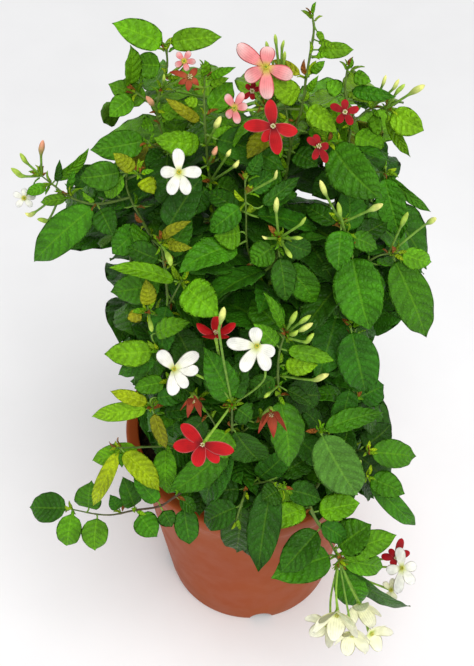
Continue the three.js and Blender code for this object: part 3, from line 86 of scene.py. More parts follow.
@dataclass(frozen=True)
class View:
    """The view that the plant is laid out in: millimetres, with places in pixels of its picture."""

    eye: tuple[float, float, float] = (-16.0, -771.0, 1244.0)
    slope: float = math.radians(48)
    focal: float = 1200.0
    width: int = 474
    height: int = 666

    @property
    def forward(self) -> Array:
        """The way that the view looks."""
        return np.array([0.0, math.cos(self.slope), -math.sin(self.slope)])

    @property
    def upward(self) -> Array:
        """The way that is up in the picture."""
        return np.array([0.0, math.sin(self.slope), math.cos(self.slope)])

    def sight_line(self, px: float, py: float) -> Array:
        """The ray to a place in the picture, a focal length deep.

        Args:
            px: how far right of the picture's left edge, in pixels.
            py: how far under the picture's top edge, in pixels.

        Returns:
            The ray, not of unit length.
        """
        across = px - self.width / 2
        up = self.height / 2 - py
        return self.forward * self.focal + RIGHTWARD * across + self.upward * up

    def seen(self, px: float, py: float, depth: float) -> Array:
        """The point at a place in the picture that stands a depth before the pot's axis.

        Args:
            px: how far right of the picture's left edge, in pixels.
            py: how far under the picture's top edge, in pixels.
            depth: how far before the pot's axis it stands.

        Returns:
            The point.
        """
        ray = self.sight_line(px, py)
        reach = (-depth - self.eye[1]) / ray[1]
        return np.array(self.eye) + ray * reach

    def front_depth(self, px: Number, py: Number) -> Number:
        """How far before the pot's axis the bush's front stands, at one place or at many.

        Args:
            px: how far right of the picture's left edge, in pixels.
            py: how far under the picture's top edge, in pixels.

        Returns:
            The depth, in millimetres.
        """
        depth = np.interp(py, FRONT_ROWS, FRONT_DEPTHS)
        side = (px - FRONT_CENTRE) / FRONT_HALF_WIDTH
        return depth * np.sqrt(np.maximum(FRONT_EDGE_SHARE**2, 1 - side * side))

    def on_front(self, knot: Sequence[float], extra: float = 0.0) -> Array:
        """The point of a knot (x, y, lift before the bush's front), moved by an extra lift.

        Args:
            knot: its place in the picture and its lift.
            extra: what is added to the lift.

        Returns:
            The point.
        """
        px, py = knot[0], knot[1]
        lift = knot[2] if len(knot) > 2 else 0.0
        return self.seen(px, py, self.front_depth(px, py) + lift + extra)

    def place(self, point: Array) -> tuple[float, float]:
        """Where the picture shows a point.

        Args:
            point: the point.

        Returns:
            Its pixels from the left and from the top.
        """
        offset = point - np.array(self.eye)
        scale = self.focal / float(offset @ self.forward)
        px = self.width / 2 + float(offset[0]) * scale
        return px, self.height / 2 - float(offset @ self.upward) * scale

    def places(self, points: Array) -> tuple[Array, Array]:
        """Where the picture shows many points, and how deep they lie.

        Args:
            points: the points.

        Returns:
            Their places, one to a row, and their depths.
        """
        offset = points - np.array(self.eye)
        depth = offset @ self.forward
        x = self.width / 2 + offset[:, 0] * self.focal / depth
        y = self.height / 2 - (offset @ self.upward) * self.focal / depth
        return np.stack([x, y], axis=1), depth

    def pixel_size(self, point: Array) -> float:
        """Millimetres for one pixel at a point."""
        return float((point - np.array(self.eye)) @ self.forward) / self.focal


RIGHTWARD = np.array([1.0, 0.0, 0.0])
SKYWARD = np.array([0.0, 0.0, 1.0])
SLANTWARD = np.array([0.31, 0.2, 0.93])
VIEW = View()

# How far the bush's front stands before the pot's axis, from the top of the picture to its foot
FRONT_ROWS = [0, 60, 100, 150, 200, 250, 300, 350, 400, 450, 500, 550, 600, 666]
FRONT_DEPTHS = [0, 20, 45, 75, 100, 125, 140, 150, 155, 157, 160, 168, 185, 200]
FRONT_CENTRE = 245
FRONT_HALF_WIDTH = 205
FRONT_EDGE_SHARE = 0.25


@dataclass(frozen=True)
class PotSizes:
    """Sizes of the pot, in millimetres."""

    height: float = 250
    foot_radius: float = 93.5
    wall_radius_under_rim: float = 122
    rim_radius: float = 132
    rim_height: float = 34
    wall: float = 3
    floor: float = 3
    foot_bevel: float = 5
    notch_count: int = 4
    notch_width: float = 26
    notch_reach: float = 12
    notch_first_angle: float = -83

    @property
    def under_rim(self) -> float:
        """Height of the rim band's lower edge."""
        return self.height - self.rim_height

    def wall_radius(self, height: float) -> float:
        """Outer radius of the wall at a height."""
        share = min(height / self.under_rim, 1.0)
        return self.foot_radius + (self.wall_radius_under_rim - self.foot_radius) * share


POT = PotSizes()


@dataclass(frozen=True)
class SolidRules:
    """The sizes and rules, in millimetres, that the solids of the plant were laid out by."""

    soil_drop: float = 30
    hole_depth: float = 45
    stem_foot: float = 3.4
    stem_tip: float = 1.5
    twig: float = 1.6
    twig_tip: float = 1.2
    stem_rise: float = 42
    stem_inset: float = 4
    stem_least_bend: float = -0.1
    leaf_thick: float = 0.8
    fine_from: float = 50
    stalk_from: float = 30
    min_petiole: float = 5
    least_turn: float = 0.62
    fold: float = 0.16
    arch: float = 0.07
    wave: float = 0.035
    droop: float = 0.2
    roll_spread: float = 30
    most_slant: float = 0.42
    widest_at: float = 0.4
    free_shift: float = 10
    bud_belly: float = 2.4
    bud_full_from: float = 12
    bud_least_bend: float = 0.45
    tube: float = 1.0
    petals: int = 5
    petal_thick: float = 0.8
    petal_sag: float = 2
    bell_spread: float = 0.8
    neck: float = 4
    gap: float = 0.3


RULES = SolidRules()
SOIL_TOP = POT.height - RULES.soil_drop
TIP_SHIFTS = [0, 5, -5, 10, -10, 16, -16, 23, -23, 31, -31, 40, -40, 50]
ROLLS = [0, 16, -16, 32, -32]
SHARES = [1, 0.88, 0.76]
BEND_LIFTS = [0, 5, -5, 10, -10, 16, -16, 24, -24, 32, -32]
# A try is taken for good from this share of corners met, a leaf laid by rule needs at least the
# second share, and a better try has to gain the third
GOOD_FIT = 0.99
PAIR_FIT = 0.7
LEAST_GAIN = 1e-6
# Leaves behind this lift are plain ones
PLAIN_LIFT = -5
FINE_ROWS = [(0.2, 2), (0.48, 3), (0.8, 2)]
PLAIN_ROWS = [(0.24, 2), (0.62, 2)]

# The back shoots: each cane leans out at its own angle from +X and carries pairs of leaves
BACK_ANGLES = {
    "shoot_back_right": 18,
    "shoot_back_right_inner": 52,
    "shoot_back": 88,
    "shoot_back_left_inner": 126,
    "shoot_back_left": 160,
}
BACK_HEIGHTS = [225, 315, 410, 500, 580, 640]
BACK_REACHES = [66, 104, 120, 114, 88, 50]
BACK_SWAY = 16
BACK_TURN_PER_LIFT = 0.5


@dataclass(frozen=True)
class PairRule:
    """Pairs of leaves laid by rule: where they start on a stem, how far apart, and their seeds."""

    start: float
    step: float
    seed: int
    seed_step: int


BACK_PAIRS = PairRule(110, 68, 0, 40)
FRONT_PAIRS = PairRule(120, 100, 300, 24)
# The bush's outline in the picture, inside which the leaves laid by rule keep
OUTLINE = [
    (128, 52), (196, 50), (262, 46), (300, 58), (345, 58), (356, 86), (392, 92), (418, 128),
    (396, 160), (404, 236), (430, 262), (422, 332), (378, 306), (374, 392), (392, 436), (402, 494),
    (330, 520), (196, 520), (160, 470), (130, 384), (108, 296), (108, 250), (40, 256), (66, 190),
    (92, 132),
]
BEHIND_FRONT = 14


@dataclass(frozen=True)
class RuleLeaf:
    """How a leaf laid by rule stands out from its cane, in millimetres and degrees."""

    length: float = 78
    length_spread: float = 14
    width_share: float = 0.56
    stalk: float = 8
    sink: float = 12
    lean_share: float = 0.8
    droop: float = 5
    splay: float = 62
    face_out: float = 0.7
    roll_spread: float = 20
    arch: float = 0.09
    swings: tuple[int, ...] = (0, 12, -12, 24, -24, 38, -38)


RULE_LEAF = RuleLeaf()


# The front shoots. All places are pixels of the view. A stem is a list of [x, y, lift], the lift in
# millimetres before the bush's front. The first stem rises from the soil at root and the others
# branch from it. A leaf is [base x, base y, tip x, tip y, seen width, lift, roll in degrees].
# A bud is [foot x, foot y, base x, base y, tip x, tip y, lift].
SHOOTS = {
    "shoot_crown_left": {
        "root": [-58, 12],
        "stems": [
            [
                [190, 330, -95], [178, 230, -75], [171, 160, -48], [157, 112, -22], [167, 66, -8],
                [166, 47, 0],
            ],
            [[155, 108, -20], [133, 90, -8]],
            [[170, 155, -40], [147, 143, -18]],
        ],
        "leaves": [
            [163, 44, 112, 23, 28, 4], [170, 43, 222, 37, 23, 2], [168, 64, 134, 64, 27, -6],
            [130, 86, 131, 45, 12, -8, 62], [153, 102, 108, 84, 24, -8], [133, 90, 109, 117, 22, 0],
            [144, 141, 90, 150, 30, 4], [172, 118, 141, 127, 16, -12, 55],
            [162, 118, 182, 100, 18, -12], [168, 148, 146, 170, 25, -14],
            [168, 74, 184, 84, 12, -6],
        ],
        "buds": [
            [154, 116, 155, 107, 146, 96, 2], [168, 90, 164, 82, 164, 74, 4],
            [168, 90, 181, 82, 184, 74, 4],
        ],
    },
    "shoot_crown_middle": {
        "root": [-20, 34],
        "stems": [
            [
                [226, 330, -100], [216, 230, -75], [208, 165, -40], [205, 125, -18], [204, 88, -8],
                [205, 70, -2],
            ],
        ],
        "leaves": [
            [203, 124, 165, 98, 12, 4], [207, 106, 184, 100, 12, -4], [224, 118, 233, 82, 24, -16],
            [204, 88, 229, 78, 9, 6], [206, 78, 236, 67, 9, 4], [205, 84, 205, 60, 14, 0],
            [202, 148, 153, 138, 26, 0], [210, 146, 240, 132, 24, -18],
            [209, 180, 240, 196, 26, -20], [210, 190, 188, 216, 26, -12],
        ],
        "buds": [
            [205, 150, 214, 130, 221, 116, 6], [207, 170, 212, 158, 217, 146, 6],
            [208, 175, 226, 158, 231, 149, 2], [208, 180, 233, 170, 239, 160, 2],
        ],
    },
    "shoot_crown_right": {
        "root": [22, 34],
        "stems": [
            [
                [272, 330, -100], [280, 230, -78], [290, 150, -42], [303, 103, -8], [306, 78, 0],
                [311, 50, 4], [314, 28, 6], [312, 15, 8],
            ],
            [[292, 146, -40], [286, 110, -10], [280, 80, -4]],
            [[300, 110, -12], [262, 108, -8]],
        ],
        "leaves": [
            [301, 102, 268, 78, 25, 6], [305, 103, 337, 132, 22, 6], [313, 25, 324, 43, 7, 6],
            [307, 76, 272, 60, 11, -10], [303, 112, 335, 139, 16, -12], [312, 50, 354, 50, 17, 2],
            [312, 60, 329, 53, 7, 8], [314, 40, 338, 48, 7, 10], [309, 78, 325, 61, 10, 6],
            [310, 98, 318, 76, 8, 2], [290, 150, 318, 166, 24, -8], [284, 160, 258, 178, 26, -20],
            [286, 150, 248, 150, 20, -10],
        ],
        "buds": [
            [280, 82, 268, 50, 266, 41, 2], [280, 82, 276, 43, 275, 34, 2],
            [280, 82, 282, 48, 284, 40, 2], [280, 82, 284, 60, 285, 51, 4],
        ],
    },
    "shoot_right_top": {
        "root": [52, 18],
        "stems": [
            [
                [318, 330, -95], [332, 250, -78], [343, 170, -50], [351, 120, -22], [345, 90, -8],
                [348, 66, 0],
            ],
            [[350, 124, -26], [372, 108, -18], [390, 110, -6]],
            [[343, 172, -50], [370, 172, -24], [388, 172, -12]],
            [[346, 150, -42], [326, 141, -12]],
        ],
        "leaves": [
            [349, 64, 371, 82, 15, 4], [345, 92, 396, 97, 15, 2], [372, 104, 378, 136, 15, -4, 20],
            [389, 110, 424, 131, 28, 6], [389, 113, 410, 158, 12, -6, 35],
            [327, 141, 381, 199, 45, 12], [388, 173, 401, 240, 30, -14],
            [389, 171, 431, 213, 11, 4, 30], [345, 98, 326, 82, 18, -10],
            [352, 130, 384, 148, 26, -24], [344, 180, 312, 196, 30, -24],
        ],
        "buds": [
            [391, 108, 404, 97, 425, 85, 8], [374, 106, 383, 84, 386, 75, 6],
            [374, 106, 394, 88, 399, 79, 6], [391, 108, 397, 92, 405, 84, 2],
        ],
    },
    "shoot_right_middle": {
        "root": [66, -14],
        "stems": [
            [[326, 345, -72], [340, 300, -50], [350, 262, -24], [352, 240, -12]],
            [[346, 275, -36], [378, 256, -16], [398, 253, -6]],
            [[350, 250, -16], [340, 220, -4]],
        ],
        "leaves": [
            [353, 253, 370, 331, 50, 10], [395, 261, 426, 338, 40, 0], [402, 253, 432, 262, 22, 4],
            [330, 222, 338, 272, 30, 6], [352, 234, 378, 249, 20, -2],
            [340, 290, 296, 262, 18, -16], [338, 304, 292, 296, 38, -22],
            [352, 244, 388, 222, 24, -16],
        ],
        "buds": [
            [341, 219, 368, 211, 383, 204, 10], [386, 252, 402, 224, 408, 212, 8],
            [390, 252, 422, 227, 436, 218, 8], [345, 234, 340, 214, 338, 202, 6],
            [342, 222, 325, 193, 320, 180, 6],
        ],
    },
    "shoot_middle": {
        "root": [6, -6],
        "stems": [
            [[262, 345, -90], [268, 290, -56], [278, 250, -20], [279, 236, -4]],
            [[266, 300, -62], [248, 250, -36], [246, 212, -14], [245, 176, -6]],
        ],
        "leaves": [
            [246, 205, 209, 232, 26, -12], [247, 232, 214, 236, 30, -6],
            [280, 240, 312, 252, 24, -14], [276, 244, 250, 262, 28, -16],
            [262, 205, 300, 176, 16, -16], [246, 196, 272, 172, 22, -20],
            [270, 270, 300, 232, 26, -30], [246, 180, 262, 152, 14, -6],
            [266, 292, 238, 300, 34, -30],
        ],
        "buds": [
            [279, 238, 276, 210, 277, 197, 8], [279, 238, 301, 224, 306, 217, 6],
            [279, 238, 268, 240, 262, 236, 10], [279, 238, 294, 238, 303, 238, 8],
            [279, 238, 286, 250, 292, 258, 8], [246, 190, 275, 178, 277, 170, 4],
        ],
    },
    "shoot_left_top": {
        "root": [-74, -8],
        "stems": [
            [[192, 345, -84], [176, 290, -62], [150, 235, -38], [128, 192, -22], [127, 168, -8]],
            [[130, 196, -26], [97, 204, -12], [72, 198, -4], [52, 184, 0], [38, 173, 2]],
            [[128, 180, -14], [141, 173, -6]],
        ],
        "leaves": [
            [126, 166, 79, 178, 30, 4], [127, 172, 106, 198, 22, -2], [141, 172, 113, 153, 16, 4],
            [142, 173, 154, 194, 18, 4], [97, 207, 34, 262, 36, 6], [72, 200, 40, 202, 12, 2],
            [99, 202, 113, 236, 26, 4], [146, 226, 112, 254, 30, -8], [150, 222, 134, 242, 26, 2],
            [53, 182, 89, 149, 12, -6, 30], [54, 184, 26, 193, 12, 2], [60, 186, 60, 160, 8, 2],
            [66, 192, 74, 170, 8, 0], [150, 232, 186, 236, 26, -22], [122, 196, 92, 176, 26, -18],
            [166, 268, 132, 262, 30, -26],
        ],
        "buds": [
            [38, 173, 41, 152, 43, 140, 4], [38, 174, 22, 176, 11, 168, 4],
            [40, 174, 26, 162, 20, 153, 2], [60, 190, 36, 217, 25, 213, 4],
            [62, 192, 48, 221, 37, 219, 4],
        ],
    },
    "shoot_left_middle": {
        "root": [-52, -38],
        "stems": [
            [[186, 405, -70], [174, 350, -46], [168, 300, -26], [164, 262, -14], [160, 240, -2]],
            [[168, 305, -28], [182, 280, -8]],
            [[170, 322, -34], [146, 310, -4]],
            [[175, 360, -46], [158, 350, -10]],
            [[184, 396, -64], [170, 380, -14]],
        ],
        "leaves": [
            [161, 238, 191, 221, 11, 6], [162, 243, 192, 248, 11, 4], [165, 262, 192, 217, 26, -22],
            [180, 277, 109, 267, 17, 6, 20], [183, 278, 219, 316, 38, 10],
            [160, 280, 110, 292, 32, -6], [146, 307, 146, 279, 17, 4], [145, 308, 127, 319, 14, 4],
            [155, 334, 190, 322, 20, -2], [166, 312, 198, 316, 26, -24],
            [157, 345, 104, 354, 27, 8], [156, 360, 118, 375, 20, -4], [168, 379, 134, 388, 20, -2],
            [172, 380, 196, 398, 26, -10], [172, 336, 204, 352, 30, -28],
            [164, 262, 128, 246, 26, -20],
        ],
        "buds": [[160, 240, 168, 252, 171, 266, 6], [147, 310, 150, 322, 152, 332, 6]],
    },
    "shoot_white_flowers": {
        "root": [-12, -48],
        "stems": [
            [[230, 480, -70], [232, 436, -24], [232, 403, 0]],
            [[232, 452, -40], [212, 420, -14], [196, 396, -10]],
            [[233, 440, -30], [262, 416, -8]],
        ],
        "leaves": [
            [231, 404, 213, 393, 7, 4], [231, 398, 204, 348, 34, -10],
            [233, 398, 246, 358, 26, -16], [232, 425, 208, 452, 36, -8],
            [234, 430, 262, 462, 40, -12], [231, 440, 168, 494, 32, 0],
            [233, 444, 204, 506, 36, -10], [236, 392, 252, 420, 26, -20],
            [208, 414, 186, 444, 26, -18],
        ],
        "buds": [[230, 402, 219, 331, 224, 307, 14]],
    },
    "shoot_centre_right": {
        "root": [26, -44],
        "stems": [
            [[300, 480, -70], [288, 440, -44], [279, 395, -16], [279, 355, -6], [286, 330, -2]],
        ],
        "leaves": [
            [281, 346, 254, 324, 19, 6], [284, 348, 335, 361, 17, 4], [279, 362, 318, 365, 19, 10],
            [283, 334, 264, 292, 11, 2, 30], [277, 392, 289, 468, 35, 10],
            [282, 334, 250, 300, 34, -24], [281, 376, 250, 392, 26, -18],
            [282, 396, 322, 396, 36, -24],
        ],
        "buds": [
            [286, 332, 291, 322, 297, 311, 6], [286, 332, 301, 322, 311, 315, 6],
            [286, 332, 301, 330, 313, 323, 6], [286, 334, 291, 338, 298, 330, 8],
            [286, 340, 306, 342, 314, 333, 6], [281, 380, 314, 380, 329, 374, 8],
            [281, 384, 270, 392, 264, 398, 6],
        ],
    },
    "shoot_right_low": {
        "root": [60, -44],
        "stems": [
            [[344, 480, -66], [350, 446, -44], [353, 400, -36], [352, 340, -22], [350, 324, -14]],
            [[350, 450, -48], [318, 430, -8]],
            [[350, 448, -46], [368, 452, -8]],
            [[347, 466, -56], [368, 478, -6]],
        ],
        "leaves": [
            [351, 325, 366, 394, 42, 4], [322, 425, 384, 412, 22, -6], [317, 433, 358, 495, 45, 8],
            [370, 452, 416, 457, 29, 0], [360, 440, 391, 424, 30, -14], [370, 480, 417, 527, 20, 4],
            [368, 476, 405, 494, 26, -8], [352, 372, 318, 352, 34, -30],
            [353, 400, 384, 386, 32, -24], [352, 402, 322, 414, 34, -24],
        ],
        "buds": [[352, 470, 357, 468, 361, 460, 6]],
    },
    "shoot_left_low": {
        "root": [-62, -50],
        "stems": [
            [[186, 480, -60], [166, 444, -26], [151, 406, -2]],
            [[167, 446, -28], [142, 440, 0], [116, 448, 8]],
        ],
        "leaves": [
            [148, 403, 110, 391, 15, 4], [149, 408, 91, 417, 19, 8], [156, 398, 188, 392, 20, -6],
            [154, 407, 166, 449, 14, 8, 20], [140, 438, 92, 461, 22, 0], [112, 448, 92, 507, 16, 8],
            [118, 448, 160, 491, 24, 10], [160, 444, 167, 494, 24, 0], [117, 450, 122, 468, 6, 4],
            [166, 446, 196, 458, 30, -20],
        ],
        "buds": [],
    },
    "shoot_trailing": {
        "root": [-34, -72],
        "stems": [
            [
                [190, 486, -8], [176, 496, 4], [160, 506, 8], [136, 510, 12], [107, 515, 18],
                [70, 509, 26],
            ],
        ],
        "leaves": [
            [66, 508, 29, 507, 31, 26], [71, 512, 67, 547, 25, 26], [92, 511, 91, 481, 27, 20],
            [97, 516, 95, 551, 27, 22], [118, 514, 110, 495, 14, 16], [135, 508, 123, 477, 22, 12],
            [137, 514, 157, 537, 26, 16], [158, 502, 133, 474, 18, 8], [160, 508, 172, 527, 20, 12],
            [184, 508, 190, 545, 25, 10], [176, 498, 196, 512, 16, -2],
        ],
        "buds": [],
    },
    "shoot_hanging": {
        "root": [62, -74],
        "stems": [
            [[318, 484, -14], [310, 500, 4], [314, 516, 10], [328, 538, 12], [340, 562, 14]],
        ],
        "leaves": [
            [306, 508, 265, 527, 25, 12], [314, 513, 360, 503, 28, 8], [318, 526, 280, 573, 32, 14],
            [330, 556, 271, 578, 38, 18], [337, 550, 371, 524, 38, 6], [341, 556, 397, 535, 28, 10],
            [342, 560, 384, 567, 24, 0], [343, 566, 411, 609, 20, 10], [341, 568, 362, 605, 32, 16],
            [318, 520, 346, 540, 22, -12],
        ],
        "buds": [[341, 560, 348, 560, 353, 557, 18]],
    },
    "shoot_skirt": {
        "root": [4, -74],
        "stems": [
            [[246, 486, -26], [244, 496, -6], [240, 508, 4], [236, 522, 8]],
            [[246, 486, -26], [272, 482, -8], [286, 490, 0]],
        ],
        "leaves": [
            [240, 506, 203, 524, 30, 0], [241, 500, 236, 552, 38, 6], [246, 490, 262, 558, 38, 2],
            [272, 484, 258, 573, 34, 8], [276, 482, 296, 520, 34, -8],
            [244, 488, 206, 494, 32, -10], [286, 490, 262, 500, 26, -4],
            [288, 490, 322, 500, 26, -14],
        ],
        "buds": [],
    },
}

# The open flowers. Tips are where the petals end in the view, and a bell, which is a flower seen
# from its side, has the reach of its petals in pixels, how far forward they lean and their turn.
# The tube starts at the named shoot near its first point. Turn moves the way that the flower faces
# from the viewer, to the right and up.
FLOWERS = {
    "corolla_white_left": {
        "shoot": "shoot_crown_left", "colour": "white", "centre": [179, 172, 14],
        "tips": [[177, 148], [202, 172], [188, 195], [170, 195], [160, 172]],
        "tube": [[174, 150, -34], [176, 165, -16]],
    },
    "corolla_white_middle_left": {
        "shoot": "shoot_white_flowers", "colour": "white", "centre": [174, 369, 22],
        "tips": [[158, 351], [199, 353], [199, 370], [187, 388], [172, 396]],
        "tube": [[230, 400, 0], [222, 390, 4], [195, 374, 12]],
    },
    "corolla_white_middle": {
        "shoot": "shoot_white_flowers", "colour": "white", "centre": [257, 346, 18],
        "tips": [[254, 327], [226, 342], [242, 372], [268, 371], [275, 354]],
        "tube": [[235, 402, 0], [263, 381, 4], [264, 362, 4]],
    },
    "corolla_red_drooping": {
        "shoot": "shoot_white_flowers", "colour": "red", "centre": [203, 444, 22],
        "tips": [[180, 425], [172, 447], [196, 468], [218, 464], [234, 452]],
        "tube": [[231, 402, 0], [222, 404, 8], [211, 424, 16]], "turn": [-0.2, -0.3],
    },
    "corolla_white_right_low": {
        "shoot": "shoot_hanging", "colour": "white", "centre": [402, 568, 26],
        "tips": [[399, 547], [417, 566], [414, 584], [397, 594], [386, 570]],
        "tube": [[341, 561, 14], [372, 566, 18]],
    },
    "corolla_red_right_low": {
        "shoot": "shoot_hanging", "colour": "crimson", "centre": [396, 558, 12],
        "tips": [[381, 556], [389, 549], [402, 538], [410, 552], [392, 566]],
        "tube": [[341, 559, 14], [370, 560, 10]],
    },
    "corolla_cream_right_low": {
        "shoot": "shoot_hanging", "colour": "cream", "centre": [391, 590, 22],
        "tips": [[383, 582], [393, 578], [401, 588], [396, 600], [386, 599]],
        "tube": [[341, 564, 14], [366, 580, 16]],
    },
    "corolla_hanging_left": {
        "shoot": "shoot_hanging", "colour": "cream", "centre": [327, 624, 32],
        "bell": {"reach": 25, "forward": 0.5, "spin": 18}, "tube": [[338, 566, 18], [331, 596, 26]],
        "turn": [-0.9, -0.9],
    },
    "corolla_hanging_middle_left": {
        "shoot": "shoot_hanging", "colour": "white", "centre": [337, 614, 36],
        "bell": {"reach": 29, "forward": 0.7, "spin": 54}, "tube": [[339, 567, 20], [336, 590, 30]],
        "turn": [-0.1, -1.5],
    },
    "corolla_hanging_middle": {
        "shoot": "shoot_hanging", "colour": "white", "centre": [352, 634, 44],
        "bell": {"reach": 24, "forward": 0.6, "spin": 36}, "tube": [[340, 566, 22], [346, 600, 38]],
        "turn": [0.1, -1.2],
    },
    "corolla_hanging_middle_right": {
        "shoot": "shoot_hanging", "colour": "white", "centre": [359, 606, 30],
        "bell": {"reach": 25, "forward": 0.7, "spin": 18}, "tube": [[342, 566, 18], [350, 586, 28]],
        "turn": [0.3, -1.3],
    },
    "corolla_hanging_right": {
        "shoot": "shoot_hanging", "colour": "cream", "centre": [371, 633, 34],
        "bell": {"reach": 24, "forward": 0.5, "spin": 0}, "tube": [[343, 568, 18], [361, 606, 24]],
        "turn": [0.8, -0.9],
    },
    "corolla_pink_top": {
        "shoot": "shoot_crown_right", "colour": "pink", "centre": [266, 67, 16],
        "tips": [[237, 44], [268, 46], [293, 77], [268, 100], [245, 80]],
        "tube": [[282, 90, -6], [275, 80, 2]],
    },
    "corolla_red_top": {
        "shoot": "shoot_crown_right", "colour": "red", "centre": [273, 126, 18],
        "tips": [[270, 99], [243, 126], [262, 142], [278, 155], [298, 132]],
        "tube": [[290, 122, -16], [284, 124, 2]],
    },
    "corolla_pink_half_open": {
        "shoot": "shoot_crown_right", "colour": "pink", "centre": [235, 108, 10],
        "tips": [[225, 94], [242, 92], [247, 106], [237, 124], [226, 118]],
        "tube": [[266, 107, -6], [250, 110, 0]], "turn": [-0.3, 0],
    },
    "corolla_crimson_back": {
        "shoot": "shoot_crown_right", "colour": "crimson", "centre": [252, 91, 2],
        "tips": [[243, 99], [253, 100], [261, 88], [254, 82], [246, 84]],
        "tube": [[268, 106, -12], [258, 98, -6]],
    },
    "corolla_crimson_right": {
        "shoot": "shoot_right_top", "colour": "crimson", "centre": [345, 112, 14],
        "tips": [[330, 105], [345, 99], [359, 108], [352, 125], [337, 123]],
        "tube": [[350, 126, -20], [348, 120, -2]],
    },
    "corolla_crimson_lower": {
        "shoot": "shoot_right_top", "colour": "crimson", "centre": [318, 146, 10],
        "tips": [[308, 138], [317, 134], [330, 146], [328, 163], [315, 160]],
        "tube": [[328, 144, -16], [323, 146, -4]], "turn": [0.4, 0],
    },
    "corolla_pale_top_left": {
        "shoot": "shoot_crown_left", "colour": "pink", "centre": [184, 61, 10],
        "tips": [[177, 52], [190, 51], [196, 62], [188, 71], [175, 66]],
        "tube": [[168, 76, -8], [178, 68, 0]],
    },
    "corolla_spent_top_left": {
        "shoot": "shoot_crown_middle", "colour": "spent", "centre": [190, 78, 6],
        "tips": [[169, 70], [178, 82], [197, 66], [199, 84], [188, 90]],
        "tube": [[204, 92, -6], [197, 86, 0]], "turn": [0, 0.6],
    },
    "corolla_white_far_left": {
        "shoot": "shoot_left_top", "colour": "white", "centre": [24, 198, 6],
        "tips": [[13, 193], [25, 188], [36, 196], [32, 207], [17, 207]],
        "tube": [[50, 184, 0], [36, 190, 4]],
    },
    "corolla_red_side": {
        "shoot": "shoot_white_flowers", "colour": "red", "centre": [216, 334, 4],
        "bell": {"reach": 26, "forward": 0.35, "spin": 90},
        "tube": [[229, 400, -4], [220, 360, -4]], "turn": [0, 1.3],
    },
    "corolla_spent_left": {
        "shoot": "shoot_white_flowers", "colour": "spent", "centre": [193, 399, 6],
        "bell": {"reach": 15, "forward": 1.1, "spin": 30}, "tube": [[197, 392, -8], [194, 394, 0]],
        "turn": [-0.1, -1.4],
    },
    "corolla_withered": {
        "shoot": "shoot_white_flowers", "colour": "spent", "centre": [271, 413, 8],
        "bell": {"reach": 19, "forward": 1.1, "spin": 60}, "tube": [[264, 412, -6], [268, 409, 0]],
        "turn": [0.1, -1.4],
    },
}


def draw(index: int, salt: float) -> float:
    """A repeatable draw between 0 and 1."""
    return ((index + 1) * 0.6180339887 + salt * 0.7548776662) % 1


def unit(vector: Array) -> Array:
    """A vector at length one."""
    return vector / math.sqrt(float(vector @ vector))


def cross(first: Array, second: Array) -> Array:
    """The vector square to two others.

    Args:
        first: a vector.
        second: another.

    Returns:
        The vector square to both.
    """
    ax, ay, az = first.tolist()
    bx, by, bz = second.tolist()
    return np.array([ay * bz - az * by, az * bx - ax * bz, ax * by - ay * bx])


def square_to(vector: Array, axis: Array) -> Array:
    """The part of a vector that is square to an axis, at length one."""
    return unit(vector - axis * float(vector @ axis))


def bearing_of(point: Array) -> float:
    """A point's turn from +X round the pot's axis, in degrees."""
    return math.degrees(math.atan2(point[1], point[0]))


def leaning(turn: float, climb: float) -> tuple[Array, Array]:
    """The level way at a turn from +X, and that way as it climbs, both angles in radians."""
    out = np.array([math.cos(turn), math.sin(turn), 0.0])
    return out, out * math.cos(climb) + SKYWARD * math.sin(climb)


def lengths_along(points: Sequence[Array]) -> Array:
    """How far along a path each of its points is."""
    steps = np.linalg.norm(np.diff(np.array(points), axis=0), axis=1)
    return np.concatenate([[0], np.cumsum(steps)])


@dataclass
class Leaf:
    """A leaf: the point on its stem, its blade's two ends, the way it faces, and its form."""

    joint: Array
    base: Array
    tip: Array
    face: Array
    roll: float
    width: float
    arch: float
    plain: bool
    sessile: bool
    lift: float = 0.0
    number: int = 0

    def frame(self) -> tuple[Array, float, Array, Array]:
        """The blade's axis, length, side and the way that it faces, with its roll.

        Returns:
            The axis, the length, the side and the face.
        """
        reach = self.tip - self.base
        length = float(np.linalg.norm(reach))
        axis = reach / length
        face = square_to(self.face, axis)
        side = unit(cross(axis, face))
        roll = math.radians(self.roll)
        face = face * math.cos(roll) + side * math.sin(roll)
        return axis, length, unit(cross(axis, face)), face

    def marks(self) -> Array:
        """The corners that the leaf's solid has along its blade and at its tip.

        Returns:
            The corners, one to a row.
        """
        axis, length, side, face = self.frame()
        half = RULES.leaf_thick / 2
        lean = 4 * self.arch
        found = [(self.tip, unit(face + axis * lean))]
        for index, (along, count) in enumerate(PLAIN_ROWS if self.plain else FINE_ROWS):
            bulge = 4 * along * (1 - along) * self.arch * length
            centre = self.base + axis * along * length + face * bulge
            share = math.sqrt(along / RULES.widest_at) * ((1 - along) / (1 - RULES.widest_at))
            reach = share * self.width / 2
            wave = (-1 if index % 2 else 1) * RULES.wave * self.width
            for across in np.linspace(-1, 1, count):
                raised = abs(across) * reach * RULES.fold + across * wave
                normal = face - side * across * RULES.fold + axis * (8 * along - 4) * self.arch
                found.append((centre + side * across * reach + face * raised, unit(normal)))
        return np.array([point + normal * by for point, normal in found for by in (half, -half)])


